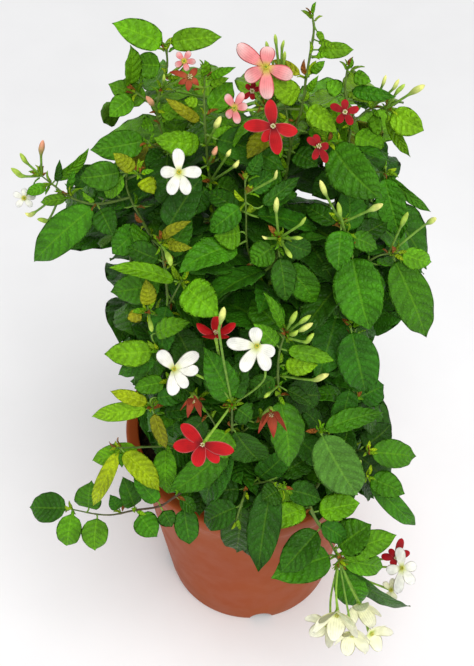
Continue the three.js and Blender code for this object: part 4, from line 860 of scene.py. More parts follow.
class SolidNode:
    """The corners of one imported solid, in millimetres, to find a laid-out piece again."""

    NEAR = 0.06

    def __init__(self, node: bpy.types.Object) -> None:
        """Reads the corners.

        Args:
            node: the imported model's object, in metres.
        """
        mesh = node.data
        flat = np.zeros(len(mesh.vertices) * 3, np.float32)
        mesh.vertices.foreach_get("co", flat)
        corners = flat.reshape(-1, 3).astype(float) / MM
        self.tree = KDTree(len(corners))
        for index, corner in enumerate(corners):
            self.tree.insert(corner, index)
        self.tree.balance()

    def has(self, point: Array) -> bool:
        """Whether the solid has a corner at a point."""
        return self.tree.find(point)[2] < self.NEAR

    def share(self, points: Iterable[Array]) -> float:
        """The share of points at which the solid has a corner."""
        found = [self.has(point) for point in points]
        return sum(found) / len(found)

    def rings(self, points: Sequence[Array], radii: Sequence[float]) -> float:
        """The share of a path's points round which the solid has a ring of corners.

        Args:
            points: the points.
            radii: the radius at each.

        Returns:
            The share, from 0 to 1.
        """
        found = 0
        for point, radius in zip(points, radii):
            near = self.tree.find_range(point, radius + self.NEAR)
            ring = [1 for _, _, distance in near if distance > radius - self.NEAR]
            found += len(ring) >= 2
        return found / len(points)


def unfold(path: Sequence[Array], kept: int, least_bend: float) -> list[Array]:
    """Leaves out the points at which a path would fold back, but for so many at its end.

    Args:
        path: the points.
        kept: how many points at the end stay.
        least_bend: the least cosine of a bend.

    Returns:
        The points that are left.
    """
    points = list(path)
    index = 1
    while index < len(points) - 1:
        before = points[index] - points[index - 1]
        after = points[index + 1] - points[index]
        most = least_bend * float(np.linalg.norm(before) * np.linalg.norm(after))
        movable = index if index < len(points) - kept else index - 1
        if float(before @ after) < most and movable > 0:
            points.pop(movable)
            index = 1
        else:
            index += 1
    return points


@dataclass
class Line:
    """A stem as a line of points, with a radius at each."""

    points: list[Array]
    radii: list[float]

    def last_share(self, index: int) -> float:
        """How far along a stretch a root may sit, so that it is sunk in at the line's end.

        Args:
            index: the number of the stretch.

        Returns:
            The share, from 0 to 1.
        """
        if index < len(self.points) - 2:
            return 1.0
        stretch = float(np.linalg.norm(self.points[index + 1] - self.points[index]))
        return max(0.0, 1 - RULES.stem_inset / stretch)

    def at(self, index: int, share: float) -> Array:
        """The point at a share of a stretch."""
        share = min(share, self.last_share(index))
        return self.points[index] * (1 - share) + self.points[index + 1] * share


def nearest_point(lines: Sequence[Line], target: Array) -> Array:
    """The point on any of the lines that lies nearest to a point.

    Args:
        lines: the shoot's stems.
        target: the point.

    Returns:
        The nearest point.
    """
    found = []
    for line in lines:
        for index in range(len(line.points) - 1):
            start = line.points[index]
            stretch = line.points[index + 1] - start
            share = float((target - start) @ stretch) / float(stretch @ stretch)
            found.append(line.at(index, min(max(share, 0.0), 1.0)))
    return min(found, key=lambda point: float(np.linalg.norm(point - target)))


def nearest_seen(lines: Sequence[Line], px: float, py: float) -> Array:
    """The point on any of the lines that the picture shows nearest to a place.

    Args:
        lines: the shoot's stems.
        px: how far right of the picture's left edge, in pixels.
        py: how far under the picture's top edge, in pixels.

    Returns:
        The nearest point.
    """
    found = [
        line.at(index, share)
        for line in lines
        for index in range(len(line.points) - 1)
        for share in (0, 0.25, 0.5, 0.75, 1)
    ]
    return min(found, key=lambda point: math.dist(VIEW.place(point), (px, py)))


def grow_stems(knot_lists: Sequence[Sequence[Array]]) -> list[Line]:
    """The stems of a shoot. The first rises from the soil and the others branch from it.

    Args:
        knot_lists: the points of each stem.

    Returns:
        The stems.
    """
    lines: list[Line] = []
    for index, knots in enumerate(knot_lists):
        points = list(knots)
        if index > 0:
            points = unfold([nearest_point(lines, knots[0]), *knots[1:]], 1, RULES.stem_least_bend)
        first, last = (RULES.stem_foot, RULES.stem_tip) if index == 0 else (RULES.twig, RULES.twig_tip)
        lines.append(Line(points, list(np.linspace(first, last, len(points)))))
    return lines


def best_lift(score: Callable[[float], float]) -> float:
    """The bend at which a piece lies on its solid.

    Args:
        score: how well the piece fits its solid at a bend, from 0 to 1.

    Returns:
        The bend, in millimetres.
    """
    best, most = 0.0, -1.0
    for extra in BEND_LIFTS:
        found = score(extra)
        if found > most + LEAST_GAIN:
            best, most = float(extra), found
        if found > GOOD_FIT:
            break
    return best


@dataclass
class Bud:
    """A closed bud: the path from its twig to its tip, and the size of its belly."""

    points: list[Array]
    belly: float
    number: int


@dataclass
class Flower:
    """An open flower: its seat, the way it faces, its petals' tips and the path of its tube."""

    name: str
    colour: str
    centre: Array
    face: Array
    right: Array
    up: Array
    tips: list[Array]
    tube: list[Array] = field(default_factory=list)

    def outward(self, angle: float) -> Array:
        """The way across the flower, at an angle from its right."""
        return self.right * math.cos(angle) + self.up * math.sin(angle)


@dataclass
class Shoot:
    """A leafy shoot: its stems, leaves, buds and the tubes of its flowers."""

    name: str
    lines: list[Line]
    leaves: list[Leaf] = field(default_factory=list)
    buds: list[Bud] = field(default_factory=list)
    flowers: list[Flower] = field(default_factory=list)


class Layout:
    """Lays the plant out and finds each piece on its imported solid."""

    def __init__(self, nodes: dict[str, bpy.types.Object]) -> None:
        """Lays out stems, flowers, buds and leaves.

        Args:
            nodes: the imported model's objects by name.
        """
        names = [*SHOOTS, *BACK_ANGLES, *FLOWERS]
        self.solids = {name: SolidNode(nodes[name]) for name in names}
        self.shoots: dict[str, Shoot] = {}
        self.flowers: dict[str, Flower] = {}
        self.plant_front()
        self.plant_back()
        for name, entry in FLOWERS.items():
            self.open_flower(name, entry)
        for name, entry in SHOOTS.items():
            self.add_buds(self.shoots[name], entry["buds"])
        number = 0
        for name, entry in SHOOTS.items():
            for row in entry["leaves"]:
                self.add_seen_leaf(self.shoots[name], row, number)
                number += 1
        for index, name in enumerate(BACK_ANGLES):
            self.add_pairs(self.shoots[name], BACK_PAIRS, index)
        for index, name in enumerate(SHOOTS):
            self.add_pairs(self.shoots[name], FRONT_PAIRS, index)

    def plant(self, name: str, knots_for: Callable[[float], list[list[Array]]]) -> None:
        """Grows a shoot's stems at the bend that its solid has.

        Args:
            name: the shoot's name.
            knots_for: its stems' points at a bend.
        """
        solid = self.solids[name]

        def score(extra: float) -> float:
            """How well the first stem fits its solid at a bend."""
            line = grow_stems(knots_for(extra))[0]
            return solid.rings(line.points[1:-1], line.radii[1:-1])

        self.shoots[name] = Shoot(name, grow_stems(knots_for(best_lift(score))))

    def plant_front(self) -> None:
        """Plants the shoots that the picture shows."""
        for name, entry in SHOOTS.items():
            root_x, root_y = entry["root"]

            def knots_for(extra: float) -> list[list[Array]]:
                """The stems' points at a bend.

                Args:
                    extra: the bend.

                Returns:
                    The points of each stem.
                """
                lists = [[VIEW.on_front(knot, extra) for knot in stem] for stem in entry["stems"]]
                foot = np.array([root_x, root_y, SOIL_TOP - RULES.hole_depth])
                rise = np.array([root_x, root_y, SOIL_TOP + RULES.stem_rise])
                return [[foot, rise, *lists[0]], *lists[1:]]

            self.plant(name, knots_for)

    def plant_back(self) -> None:
        """Plants the shoots at the back, which follow a rule."""
        for index, (name, bearing) in enumerate(BACK_ANGLES.items()):

            def knots_for(extra: float) -> list[list[Array]]:
                """The cane's points at a bend.

                Args:
                    extra: the bend.

                Returns:
                    The points of its one stem.
                """
                knots = []
                for level, (height, reach) in enumerate(zip(BACK_HEIGHTS, BACK_REACHES)):
                    turn = bearing + BACK_SWAY * (draw(level, index) - 0.5)
                    angle = math.radians(turn + extra * BACK_TURN_PER_LIFT)
                    knots.append(np.array([reach * math.cos(angle), reach * math.sin(angle), height]))
                foot = knots[0].copy()
                foot[2] = SOIL_TOP - RULES.hole_depth
                return [[foot, *knots]]

            self.plant(name, knots_for)

    def open_flower(self, name: str, entry: dict) -> None:
        """Lays out an open flower and its tube.

        Args:
            name: its name.
            entry: its row in the table of flowers.
        """
        solid = self.solids[name]
        half = RULES.petal_thick / 2

        def score(extra: float) -> float:
            """How well the flower's middle fits its solid at a bend."""
            flower = self.flower_at(name, entry, extra)
            return solid.share([flower.centre + flower.face * half, flower.centre - flower.face * half])

        flower = self.flower_at(name, entry, best_lift(score))
        shoot = self.shoots[entry["shoot"]]
        lines = shoot.lines
        knots = entry["tube"]
        joint = nearest_seen(lines, knots[0][0], knots[0][1])
        seat = flower.centre - flower.face * (half + RULES.gap)
        neck = seat - flower.face * RULES.neck

        def path_for(extra: float) -> list[Array]:
            """The tube's path at a bend."""
            middle = [VIEW.on_front(knot, extra) for knot in knots[1:]]
            return unfold([joint, *middle, neck, seat], 2, RULES.stem_least_bend)

        def tube_score(extra: float) -> float:
            """How well the tube fits its solid at a bend."""
            path = path_for(extra)
            return self.solids[shoot.name].rings(path[1:-2] or path[-2:-1], [RULES.tube] * len(path))

        flower.tube = path_for(best_lift(tube_score))
        self.flowers[name] = flower
        shoot.flowers.append(flower)

    def flower_at(self, name: str, entry: dict, extra: float) -> Flower:
        """An open flower moved before the bush's front by an extra lift.

        Args:
            name: its name.
            entry: its row in the table of flowers.
            extra: the bend, which is added to the lift.

        Returns:
            The flower, without its tube.
        """
        centre = VIEW.on_front(entry["centre"], extra)
        turn_right, turn_up = entry.get("turn", [0, 0])
        face = unit(np.array(VIEW.eye) - centre)
        face = unit(face + RIGHTWARD * turn_right + VIEW.upward * turn_up)
        right = square_to(RIGHTWARD, face)
        up = cross(face, right)
        bell = entry.get("bell")
        tips = []
        if bell:
            size = bell["reach"] * VIEW.pixel_size(centre)
            for index in range(RULES.petals):
                angle = math.radians(bell["spin"] + 360 / RULES.petals * index)
                spread = right * math.cos(angle) + up * math.sin(angle)
                tips.append(centre + spread * size * RULES.bell_spread + face * bell["forward"] * size)
        else:
            for px, py in entry["tips"]:
                ray = VIEW.sight_line(px, py)
                plane = float((centre - np.array(VIEW.eye)) @ face) / float(ray @ face)
                tips.append(np.array(VIEW.eye) + ray * plane - face * RULES.petal_sag)
        return Flower(name, entry["colour"], centre, face, right, up, tips)

    def add_buds(self, shoot: Shoot, rows: Sequence[Sequence[float]]) -> None:
        """Adds a shoot's closed buds at the bends that their solids have.

        Args:
            shoot: the shoot.
            rows: the buds' rows in the table of shoots.
        """
        solid = self.solids[shoot.name]
        for number, (fx, fy, bx, by, tx, ty, lift) in enumerate(rows):
            foot = nearest_seen(shoot.lines, fx, fy)

            def tip_at(extra: float) -> Array:
                """The bud's tip at a bend."""
                return VIEW.on_front((tx, ty, lift), extra)

            extra = best_lift(lambda by_lift: float(solid.has(tip_at(by_lift))))
            base = VIEW.on_front((bx, by, lift), extra)
            tip = tip_at(extra)
            path = unfold([foot, base, (base + tip) / 2, tip], 2, RULES.bud_least_bend)
            scale = min(1.0, float(np.linalg.norm(tip - base)) / RULES.bud_full_from)
            shoot.buds.append(Bud(path, RULES.bud_belly * scale, number))

    def keep_leaf(self, shoot: Shoot, tries: Iterable[Leaf], least: float) -> None:
        """Keeps the try that lies on its solid, if at least that share of its corners is there.

        Args:
            shoot: the shoot.
            tries: the leaf in each place that was tried.
            least: the least share of corners.
        """
        solid = self.solids[shoot.name]
        best, most = None, -1.0
        for leaf in tries:
            marks = leaf.marks()
            if not (solid.has(marks[0]) or solid.has(marks[1])) and best is not None:
                continue
            found = solid.share(marks)
            if found > most + LEAST_GAIN:
                best, most = leaf, found
            if found > GOOD_FIT:
                break
        if best is not None and most >= least:
            shoot.leaves.append(best)
        else:
            LOG.debug("no solid for a leaf of %s: %.2f", shoot.name, most)

    def add_seen_leaf(self, shoot: Shoot, row: Sequence[float], number: int) -> None:
        """Adds a leaf of the front from its places in the picture."""
        self.keep_leaf(shoot, self.seen_tries(shoot.lines, row, number), 0.0)

    def seen_tries(self, lines: Sequence[Line], row: Sequence[float], number: int) -> Iterable[Leaf]:
        """The places in which a leaf of the front was tried, in their order.

        Args:
            lines: the shoot's stems.
            row: its row in the table of shoots.
            number: the number of its draws.

        Returns:
            The tries, one by one.
        """
        bx, by, tx, ty, seen_width = row[:5]
        lift = row[5] if len(row) > 5 else 0
        roll = row[6] if len(row) > 6 else 0
        joint = nearest_seen(lines, bx, by)
        depth = -float(joint[1])
        base = VIEW.seen(bx, by, depth)
        seen_length = math.hypot(tx - bx, ty - by)
        size = VIEW.pixel_size(joint)
        most = RULES.most_slant * seen_length * size
        face_on = depth + math.sin(VIEW.slope) * (ty - by) * size
        forward = RULES.droop * max(ty - by, 0)
        wished = (depth + VIEW.front_depth(tx, ty)) / 2 + lift + forward
        tip_depth = min(max(wished, face_on - most), face_on + most)
        stalk = base - joint
        to_tip = unit(VIEW.seen(tx, ty, tip_depth) - joint)
        stalk_length = float(np.linalg.norm(stalk))
        turned = float(stalk @ to_tip) < RULES.least_turn * stalk_length
        if stalk_length < RULES.min_petiole or turned:
            base = joint + to_tip * RULES.min_petiole
        turn = roll or RULES.roll_spread * (draw(number, 3) - 0.5)
        for share in SHARES:
            for extra in ROLLS:
                for shift in TIP_SHIFTS:
                    if abs(shift) > max(most, RULES.free_shift):
                        continue
                    tip = base + (VIEW.seen(tx, ty, tip_depth + shift) - base) * share
                    middle = (base + tip) / 2
                    width = share * seen_width * VIEW.pixel_size(middle) / math.cos(math.radians(turn))
                    yield Leaf(
                        joint=joint,
                        base=base,
                        tip=tip,
                        face=unit(np.array(VIEW.eye) - middle),
                        roll=turn + extra,
                        width=width,
                        arch=RULES.arch,
                        plain=seen_length < RULES.fine_from or lift < PLAIN_LIFT,
                        sessile=seen_length < RULES.stalk_from,
                        lift=lift,
                        number=number,
                    )

    def add_pairs(self, shoot: Shoot, rule: PairRule, shoot_number: int) -> None:
        """Adds the pairs of leaves that a rule laid along a shoot's first stem.

        Args:
            shoot: the shoot.
            rule: the rule.
            shoot_number: the shoot's number in its row.
        """
        points = np.array(shoot.lines[0].points)
        ends = lengths_along(points)
        index = 0
        along = rule.start
        while along <= ends[-1]:
            joint = np.array([np.interp(along, ends, points[:, axis]) for axis in range(3)])
            outward = bearing_of(joint)
            offsets = [0, 180] if index % 2 else [RULE_LEAF.splay, -RULE_LEAF.splay]
            for offset in offsets:
                drawn = rule.seed + rule.seed_step * shoot_number + index * 2 + (offset > 0)
                self.keep_leaf(shoot, self.rule_tries(joint, outward + offset, drawn), PAIR_FIT)
            index += 1
            along += rule.step

    def rule_tries(self, joint: Array, bearing: float, number: int) -> Iterable[Leaf]:
        """The places in which a leaf laid by rule was tried, in their order.

        Args:
            joint: where it leaves its cane.
            bearing: its turn from +X, in degrees.
            number: the number of its draws.

        Returns:
            The tries, one by one.
        """
        length = RULE_LEAF.length + RULE_LEAF.length_spread * (draw(number, 5) - 0.5)
        for swing in RULE_LEAF.swings:
            for lean in RULE_LEAF.swings:
                climb = math.radians(lean * RULE_LEAF.lean_share - RULE_LEAF.sink)
                out, axis = leaning(math.radians(bearing + swing), climb)
                base = joint + axis * RULE_LEAF.stalk
                tip = base + axis * length - SKYWARD * RULE_LEAF.droop
                if not (is_hidden(tip) and is_hidden((base + tip) / 2)):
                    continue
                yield Leaf(
                    joint=joint,
                    base=base,
                    tip=tip,
                    face=unit(SKYWARD + out * RULE_LEAF.face_out),
                    roll=RULE_LEAF.roll_spread * (draw(number, 9) - 0.5),
                    width=length * RULE_LEAF.width_share,
                    arch=RULE_LEAF.arch,
                    plain=True,
                    sessile=True,
                    lift=-BEHIND_FRONT,
                    number=number,
                )


def is_hidden(point: Array) -> bool:
    """Whether the picture shows a point inside the bush's outline and behind its front.

    Args:
        point: the point.

    Returns:
        Whether it does.
    """
    x, y = VIEW.place(point)
    if -float(point[1]) > VIEW.front_depth(x, y) - BEHIND_FRONT:
        return False
    inside = False
    for (ax, ay), (bx, by) in zip(OUTLINE, OUTLINE[1:] + OUTLINE[:1]):
        if (ay > y) != (by > y) and x < (bx - ax) * (y - ay) / (by - ay) + ax:
            inside = not inside
    return inside


# A plain white tone, the draw of pieces that need none, and the place of pieces without one
WHITE = (1, 1, 1, 0)
PLAIN_DRAW = 0.5
NO_PLACE = (0, 0, 0)


def put(name: str, data: bpy.types.ID) -> bpy.types.Object:
    """Puts a new object into the scene.

    Args:
        name: its name.
        data: what it shows.

    Returns:
        The object.
    """
    piece = bpy.data.objects.new(name, data)
    bpy.context.scene.collection.objects.link(piece)
    return piece


@dataclass
class MeshGather:
    """Gathers points and faces, with a tone and a place on its own form for each point."""

    points: list[Array] = field(default_factory=list)
    tones: list[Array] = field(default_factory=list)
    places: list[Array] = field(default_factory=list)
    faces: list[tuple[int, ...]] = field(default_factory=list)
    count: int = 0

    def add(self, points: Array, faces: Iterable[Sequence[int]], tone: Array, place: Array) -> None:
        """Adds a closed form.

        Args:
            points: its points, in millimetres.
            faces: its faces, which count from its own first point.
            tone: a colour with a draw from 0 to 1 as its fourth number, for all points or each.
            place: three numbers for the finish, for all points or each.
        """
        size = len(points)
        self.points.append(np.asarray(points, float))
        self.tones.append(np.broadcast_to(np.asarray(tone, float), (size, 4)))
        self.places.append(np.broadcast_to(np.asarray(place, float), (size, 3)))
        start = self.count
        self.faces.extend(tuple(corner + start for corner in face) for face in faces)
        self.count += size

    def build(self, name: str, material: bpy.types.Material) -> bpy.types.Object:
        """Makes the object of all that was gathered.

        Args:
            name: the object's name.
            material: its finish.

        Returns:
            The object, in metres, with smooth faces.
        """
        mesh = bpy.data.meshes.new(name)
        points = np.concatenate(self.points) * MM
        mesh.from_pydata(points.tolist(), [], self.faces)
        tone = mesh.color_attributes.new("tone", "FLOAT_COLOR", "POINT")
        tone.data.foreach_set("color", np.concatenate(self.tones).astype(np.float32).ravel())
        place = mesh.attributes.new("place", "FLOAT_VECTOR", "POINT")
        place.data.foreach_set("vector", np.concatenate(self.places).astype(np.float32).ravel())
        mesh.polygons.foreach_set("use_smooth", np.ones(len(mesh.polygons), bool))
        mesh.materials.append(material)
        mesh.update()
        return put(name, mesh)


def smooth_path(points: Sequence[Array], step: float, pull: float = 0.35) -> Array:
    """A path rounded through its points, with a sample about every step.

    Args:
        points: the points.
        step: how far apart the samples are.
        pull: the reach of the curve's handles, as a share of a stretch.

    Returns:
        The samples, one to a row.
    """
    knots = [np.asarray(point, float) for point in points]
    ways = []
    for index, knot in enumerate(knots):
        before = knots[max(index - 1, 0)]
        after = knots[min(index + 1, len(knots) - 1)]
        ways.append(unit(after - before))
    found = []
    for index in range(len(knots) - 1):
        start, end = knots[index], knots[index + 1]
        length = float(np.linalg.norm(end - start))
        count = max(2, int(round(length / step)))
        reach = pull * length
        share = np.linspace(0, 1, count, endpoint=False)[:, None]
        first, second = start + ways[index] * reach, end - ways[index + 1] * reach
        rest = 1 - share
        curve = start * rest**3 + 3 * first * rest**2 * share
        found.append(curve + 3 * second * rest * share**2 + end * share**3)
    return np.concatenate([*found, knots[-1][None, :]])


def sweep(path: Array, radii: Sequence[float], sides: int) -> tuple[Array, list[tuple[int, ...]]]:
    """A closed tube along a path.

    Args:
        path: the points of its centre line.
        radii: the radius at each point.
        sides: how many sides it has.

    Returns:
        Its points and its faces.
    """
    along = np.gradient(path, axis=0)
    along /= np.linalg.norm(along, axis=1)[:, None]
    across = SKYWARD if abs(along[0][2]) < 0.8 else RIGHTWARD
    turns = np.linspace(0, 2 * math.pi, sides, endpoint=False)
    cosine, sine = np.cos(turns)[:, None], np.sin(turns)[:, None]
    rings = []
    for point, way, radius in zip(path, along, radii):
        across = square_to(across, way)
        other = cross(way, across)
        rings.append(point + (across * cosine + other * sine) * radius)
    faces: list[tuple[int, ...]] = []
    for ring in range(len(path) - 1):
        for side in range(sides):
            nearby = (side + 1) % sides
            low, high = ring * sides, (ring + 1) * sides
            faces.append((low + side, low + nearby, high + nearby, high + side))
    faces.append(tuple(reversed(range(sides))))
    last = (len(path) - 1) * sides
    faces.append(tuple(range(last, last + sides)))
    return np.concatenate(rings), faces


@dataclass(frozen=True)
class BladeGrid:
    """The shared grid of a blade: rows that follow its side veins, columns from edge to edge."""

    veins: int
    rows_per_vein: int
    columns: tuple[float, ...]

    def cells(self) -> tuple[Array, Array, Array, list[tuple[int, ...]]]:
        """The grid's corners.

        Returns:
            For each corner its row's share, its place across from -1 to 1, and 1 on the upper side,
            0 on the rim or -1 on the lower side; and the faces of the closed blade.
        """
        rows = self.veins * self.rows_per_vein
        across = list(self.columns)
        last = len(across) - 1
        row_share, place, side = [0.0], [0.0], [0.0]
        upper: dict[tuple[int, int], int] = {}
        lower: dict[tuple[int, int], int] = {}
        for row in range(1, rows):
            for column, value in enumerate(across):
                rim = column in (0, last)
                upper[row, column] = len(row_share)
                row_share.append(row / rows)
                place.append(value)
                side.append(0.0 if rim else 1.0)
                lower[row, column] = upper[row, column]
                if not rim:
                    lower[row, column] = len(row_share)
                    row_share.append(row / rows)
                    place.append(value)
                    side.append(-1.0)
        end = len(row_share)
        row_share.append(1.0)
        place.append(0.0)
        side.append(0.0)
        faces: list[tuple[int, ...]] = []
        for grid, turned in ((upper, False), (lower, True)):
            for column in range(last):
                found = [(0, grid[1, column + 1], grid[1, column])]
                found.append((grid[rows - 1, column], grid[rows - 1, column + 1], end))
                for row in range(1, rows - 1):
                    near = (grid[row, column], grid[row, column + 1])
                    found.append((*near, grid[row + 1, column + 1], grid[row + 1, column]))
                faces.extend(tuple(reversed(face)) if turned else face for face in found)
        return np.array(row_share), np.array(place), np.array(side), faces


BLADE_COLUMNS = (-1, -0.86, -0.66, -0.44, -0.22, -0.06, 0, 0.06, 0.22, 0.44, 0.66, 0.86, 1)
PLAIN_COLUMNS = (-1, -0.8, -0.5, -0.2, 0, 0.2, 0.5, 0.8, 1)
SMALL_COLUMNS = (-1, -0.6, 0, 0.6, 1)
FINE_VEINS = 8
PLAIN_VEINS = 6
SMALL_VEINS = 4
FINE_BLADE = BladeGrid(FINE_VEINS, 4, BLADE_COLUMNS).cells()
PLAIN_BLADE = BladeGrid(PLAIN_VEINS, 3, PLAIN_COLUMNS).cells()
SMALL_BLADE = BladeGrid(SMALL_VEINS, 2, SMALL_COLUMNS).cells()
FINE_FROM = 42
PLAIN_FROM = 18
BLADE_SALTS = range(20, 28)


@dataclass(frozen=True)
class BladeForm:
    """How a leaf's blade is shaped, as shares of its width or length."""

    shear: float = 0.2
    shear_power: float = 1.3
    fold: float = 0.17
    fold_power: float = 1.3
    fold_least: float = 0.6
    fold_spread: float = 0.8
    groove: float = 0.012
    groove_half: float = 0.07
    quilt: float = 0.028
    quilt_round: float = 0.7
    cushion_rise: float = 0.35
    cushion_fall: float = 3
    wave: float = 0.04
    wave_turns: tuple[float, float] = (1.4, 1.1)
    wave_power: float = 1.5
    ruffle: float = 0.02
    ruffle_turns: float = 4.3
    ruffle_power: float = 4
    sway: float = 0.03
    twist: float = math.radians(10)
    twist_from: float = 0.3
    hook: float = 0.05
    hook_from: float = 0.6
    thick: float = 0.5
    rib: float = 1.0
    rib_half: float = 0.08
    tip_from: float = 0.78
    tip_draw: float = 0.64
    tip_power: float = 1.5
    broadest: float = 0.4312


BLADE_FORM = BladeForm()


def leaf_outline(along: Array) -> Array:
    """Half the width of a leaf along its length, as a share of the most.

    Args:
        along: shares of the leaf's length.

    Returns:
        The half widths.
    """
    broad = np.sqrt(along) * np.maximum(1 - along, 0) ** 0.75 / BLADE_FORM.broadest
    tip = np.clip((along - BLADE_FORM.tip_from) / (1 - BLADE_FORM.tip_from), 0, 1)
    return broad * (1 - BLADE_FORM.tip_draw * tip**BLADE_FORM.tip_power)


def lay_blade(gather: MeshGather, leaf: Leaf, tone: Sequence[float], quilt: float, seed: int) -> None:
    """Adds a leaf's blade.

    Args:
        gather: what the blade goes into.
        leaf: the leaf.
        tone: its colour.
        quilt: how far it is raised between its veins, against a full-grown leaf.
        seed: the number of its draws.
    """
    form = BLADE_FORM
    axis, length, side, face = leaf.frame()
    (share, place, level, faces), veins = SMALL_BLADE, SMALL_VEINS
    if length > PLAIN_FROM:
        (share, place, level, faces), veins = PLAIN_BLADE, PLAIN_VEINS
    if length > FINE_FROM and not leaf.sessile:
        (share, place, level, faces), veins = FINE_BLADE, FINE_VEINS
    spread = np.abs(place)
    along = share + form.shear * spread**form.shear_power * 4 * share * (1 - share)
    half = leaf.width / 2 * leaf_outline(along)
    phase = [draw(seed, salt) for salt in BLADE_SALTS]
    way = 2 * math.pi
    lobe = np.abs(np.sin(math.pi * share * veins)) ** form.quilt_round
    cushion = spread**form.cushion_rise * (1 - spread**form.cushion_fall)
    folded = form.fold_least + form.fold_spread * phase[0]
    height = form.fold * half * spread**form.fold_power * folded
    height += 4 * along * (1 - along) * leaf.arch * length
    height -= form.groove * leaf.width * np.exp(-((place / form.groove_half) ** 2)) * (1 - along)
    height += quilt * form.quilt * leaf.width * lobe * cushion * np.minimum(1, 4 * (1 - along))
    odd, even = form.wave_turns
    ripple = np.sin(way * (odd * along + phase[1])) * np.sign(place)
    ripple = ripple + np.sin(way * (even * along + phase[2]))
    height += form.wave * leaf.width * ripple * spread**form.wave_power * np.minimum(1, 3 * along)
    ruffle = np.sin(way * (form.ruffle_turns * along + place + phase[3]))
    height += form.ruffle * leaf.width * ruffle * spread**form.ruffle_power
    hooked = np.clip((along - form.hook_from) / (1 - form.hook_from), 0, 1)
    height -= form.hook * length * phase[4] * hooked**2
    bend = form.sway * (2 * phase[5] - 1) * length * 4 * along * (1 - along)
    turn = form.twist * (2 * phase[6] - 1) * (along - form.twist_from)
    lateral = place * half
    rib = form.rib * np.exp(-((place / form.rib_half) ** 2)) * (1 - along)
    under = np.where(level < 0, form.thick + rib, 0)
    lift = height - under
    sideways = lateral * np.cos(turn) + bend
    upward = lift + lateral * np.sin(turn)
    points = (
        leaf.base
        + np.outer(along * length, axis)
        + np.outer(sideways, side)
        + np.outer(upward, face)
    )
    marks = np.stack([share * veins, place, level], axis=1)
    gather.add(points, faces, [*tone, phase[7]], marks)


@dataclass(frozen=True)
class StalkForm:
    """A leaf's stalk: in millimetres, but for the shares."""

    half: float = 0.55
    half_per_width: float = 0.012
    foot_swell: float = 1.35
    end: float = 0.25
    swell_shares: tuple[float, ...] = (0, 0.15, 0.7, 1)
    step: float = 2.5
    sides: int = 6
    inward_share: float = 0.12
    inward_most: float = 8
    under_blade: float = 0.7
    back_share: float = 0.4
    back_most: float = 4
    under_base: float = 0.6


STALK_FORM = StalkForm()


def lay_stalk(gather: MeshGather, leaf: Leaf, start: Array, tone: Sequence[float]) -> None:
    """Adds a leaf's stalk, from its stem to a little way under its blade.

    Args:
        gather: what it goes into.
        leaf: the leaf.
        start: where it leaves the stem.
        tone: its colour.
    """
    form = STALK_FORM
    axis, length, _, face = leaf.frame()
    reach = float(np.linalg.norm(leaf.base - start))
    inward = axis * min(form.inward_share * length, form.inward_most)
    back = axis * min(form.back_share * reach, form.back_most)
    below = leaf.base - back - face * form.under_base
    end = leaf.base + inward - face * form.under_blade
    path = smooth_path([start, below, end], form.step)
    half = form.half + form.half_per_width * leaf.width
    marks = np.linspace(0, 1, len(path))
    radii = np.interp(marks, form.swell_shares, [form.foot_swell * half, half, half, form.end])
    points, faces = sweep(path, radii, form.sides)
    gather.add(points, faces, [*tone, PLAIN_DRAW], NO_PLACE)


# The shares of a blade's length and half width that its samples span
SAMPLED_ALONG = (0.08, 0.98)
SAMPLED_ACROSS = (-0.94, 0.94)


def blade_samples(leaf: Leaf, spacing: float) -> Array:
    """Points spread over a leaf's blade, about so far apart.

    Args:
        leaf: the leaf.
        spacing: how far apart the points are.

    Returns:
        The points, one to a row.
    """
    axis, length, side, face = leaf.frame()
    rows = max(4, int(length / spacing) + 1)
    columns = max(3, int(leaf.width / spacing) + 2)
    along = np.repeat(np.linspace(*SAMPLED_ALONG, rows), columns)
    across = np.tile(np.linspace(*SAMPLED_ACROSS, columns), rows)
    reach = across * leaf_outline(along) * (leaf.width / 2)
    raised = 4 * along * (1 - along) * leaf.arch * length + BLADE_FORM.fold * np.abs(reach)
    return leaf.base + np.outer(along * length, axis) + np.outer(reach, side) + np.outer(raised, face)


def path_samples(points: Sequence[Array], spacing: float) -> Array:
    """Points along a path, so far apart.

    Args:
        points: the path.
        spacing: how far apart the points are.

    Returns:
        The points, one to a row.
    """
    knots = np.array(points)
    ends = lengths_along(knots)
    marks = np.arange(0, ends[-1] + spacing, spacing)
    return np.stack([np.interp(marks, ends, knots[:, axis]) for axis in range(3)], axis=1)


# Leaves behind this lift are inner ones, which need not be seen; the filling leaves have the other
SHOWN_LIFT = -9
FILL_LIFT = -30
# Where the picture shows the background through the bush: (x, y, reach in pixels)
CLEAR_SPOTS = [
    (143, 112, 10), (156, 132, 9), (140, 158, 7), (240, 70, 8), (246, 96, 5), (250, 108, 4),
    (262, 50, 16), (232, 52, 12), (206, 52, 12), (290, 62, 12), (318, 62, 12), (342, 66, 14),
    (366, 84, 12), (392, 96, 14), (410, 124, 12), (402, 152, 12), (306, 82, 5), (361, 112, 5),
    (304, 131, 6), (334, 163, 6), (398, 204, 8), (120, 130, 8), (108, 152, 10), (112, 280, 12),
    (116, 320, 10), (180, 60, 10), (135, 62, 10), (208, 207, 6), (227, 222, 5), (237, 177, 7),
    (164, 281, 8), (133, 253, 4), (309, 190, 8), (331, 197, 5), (104, 112, 10),
]


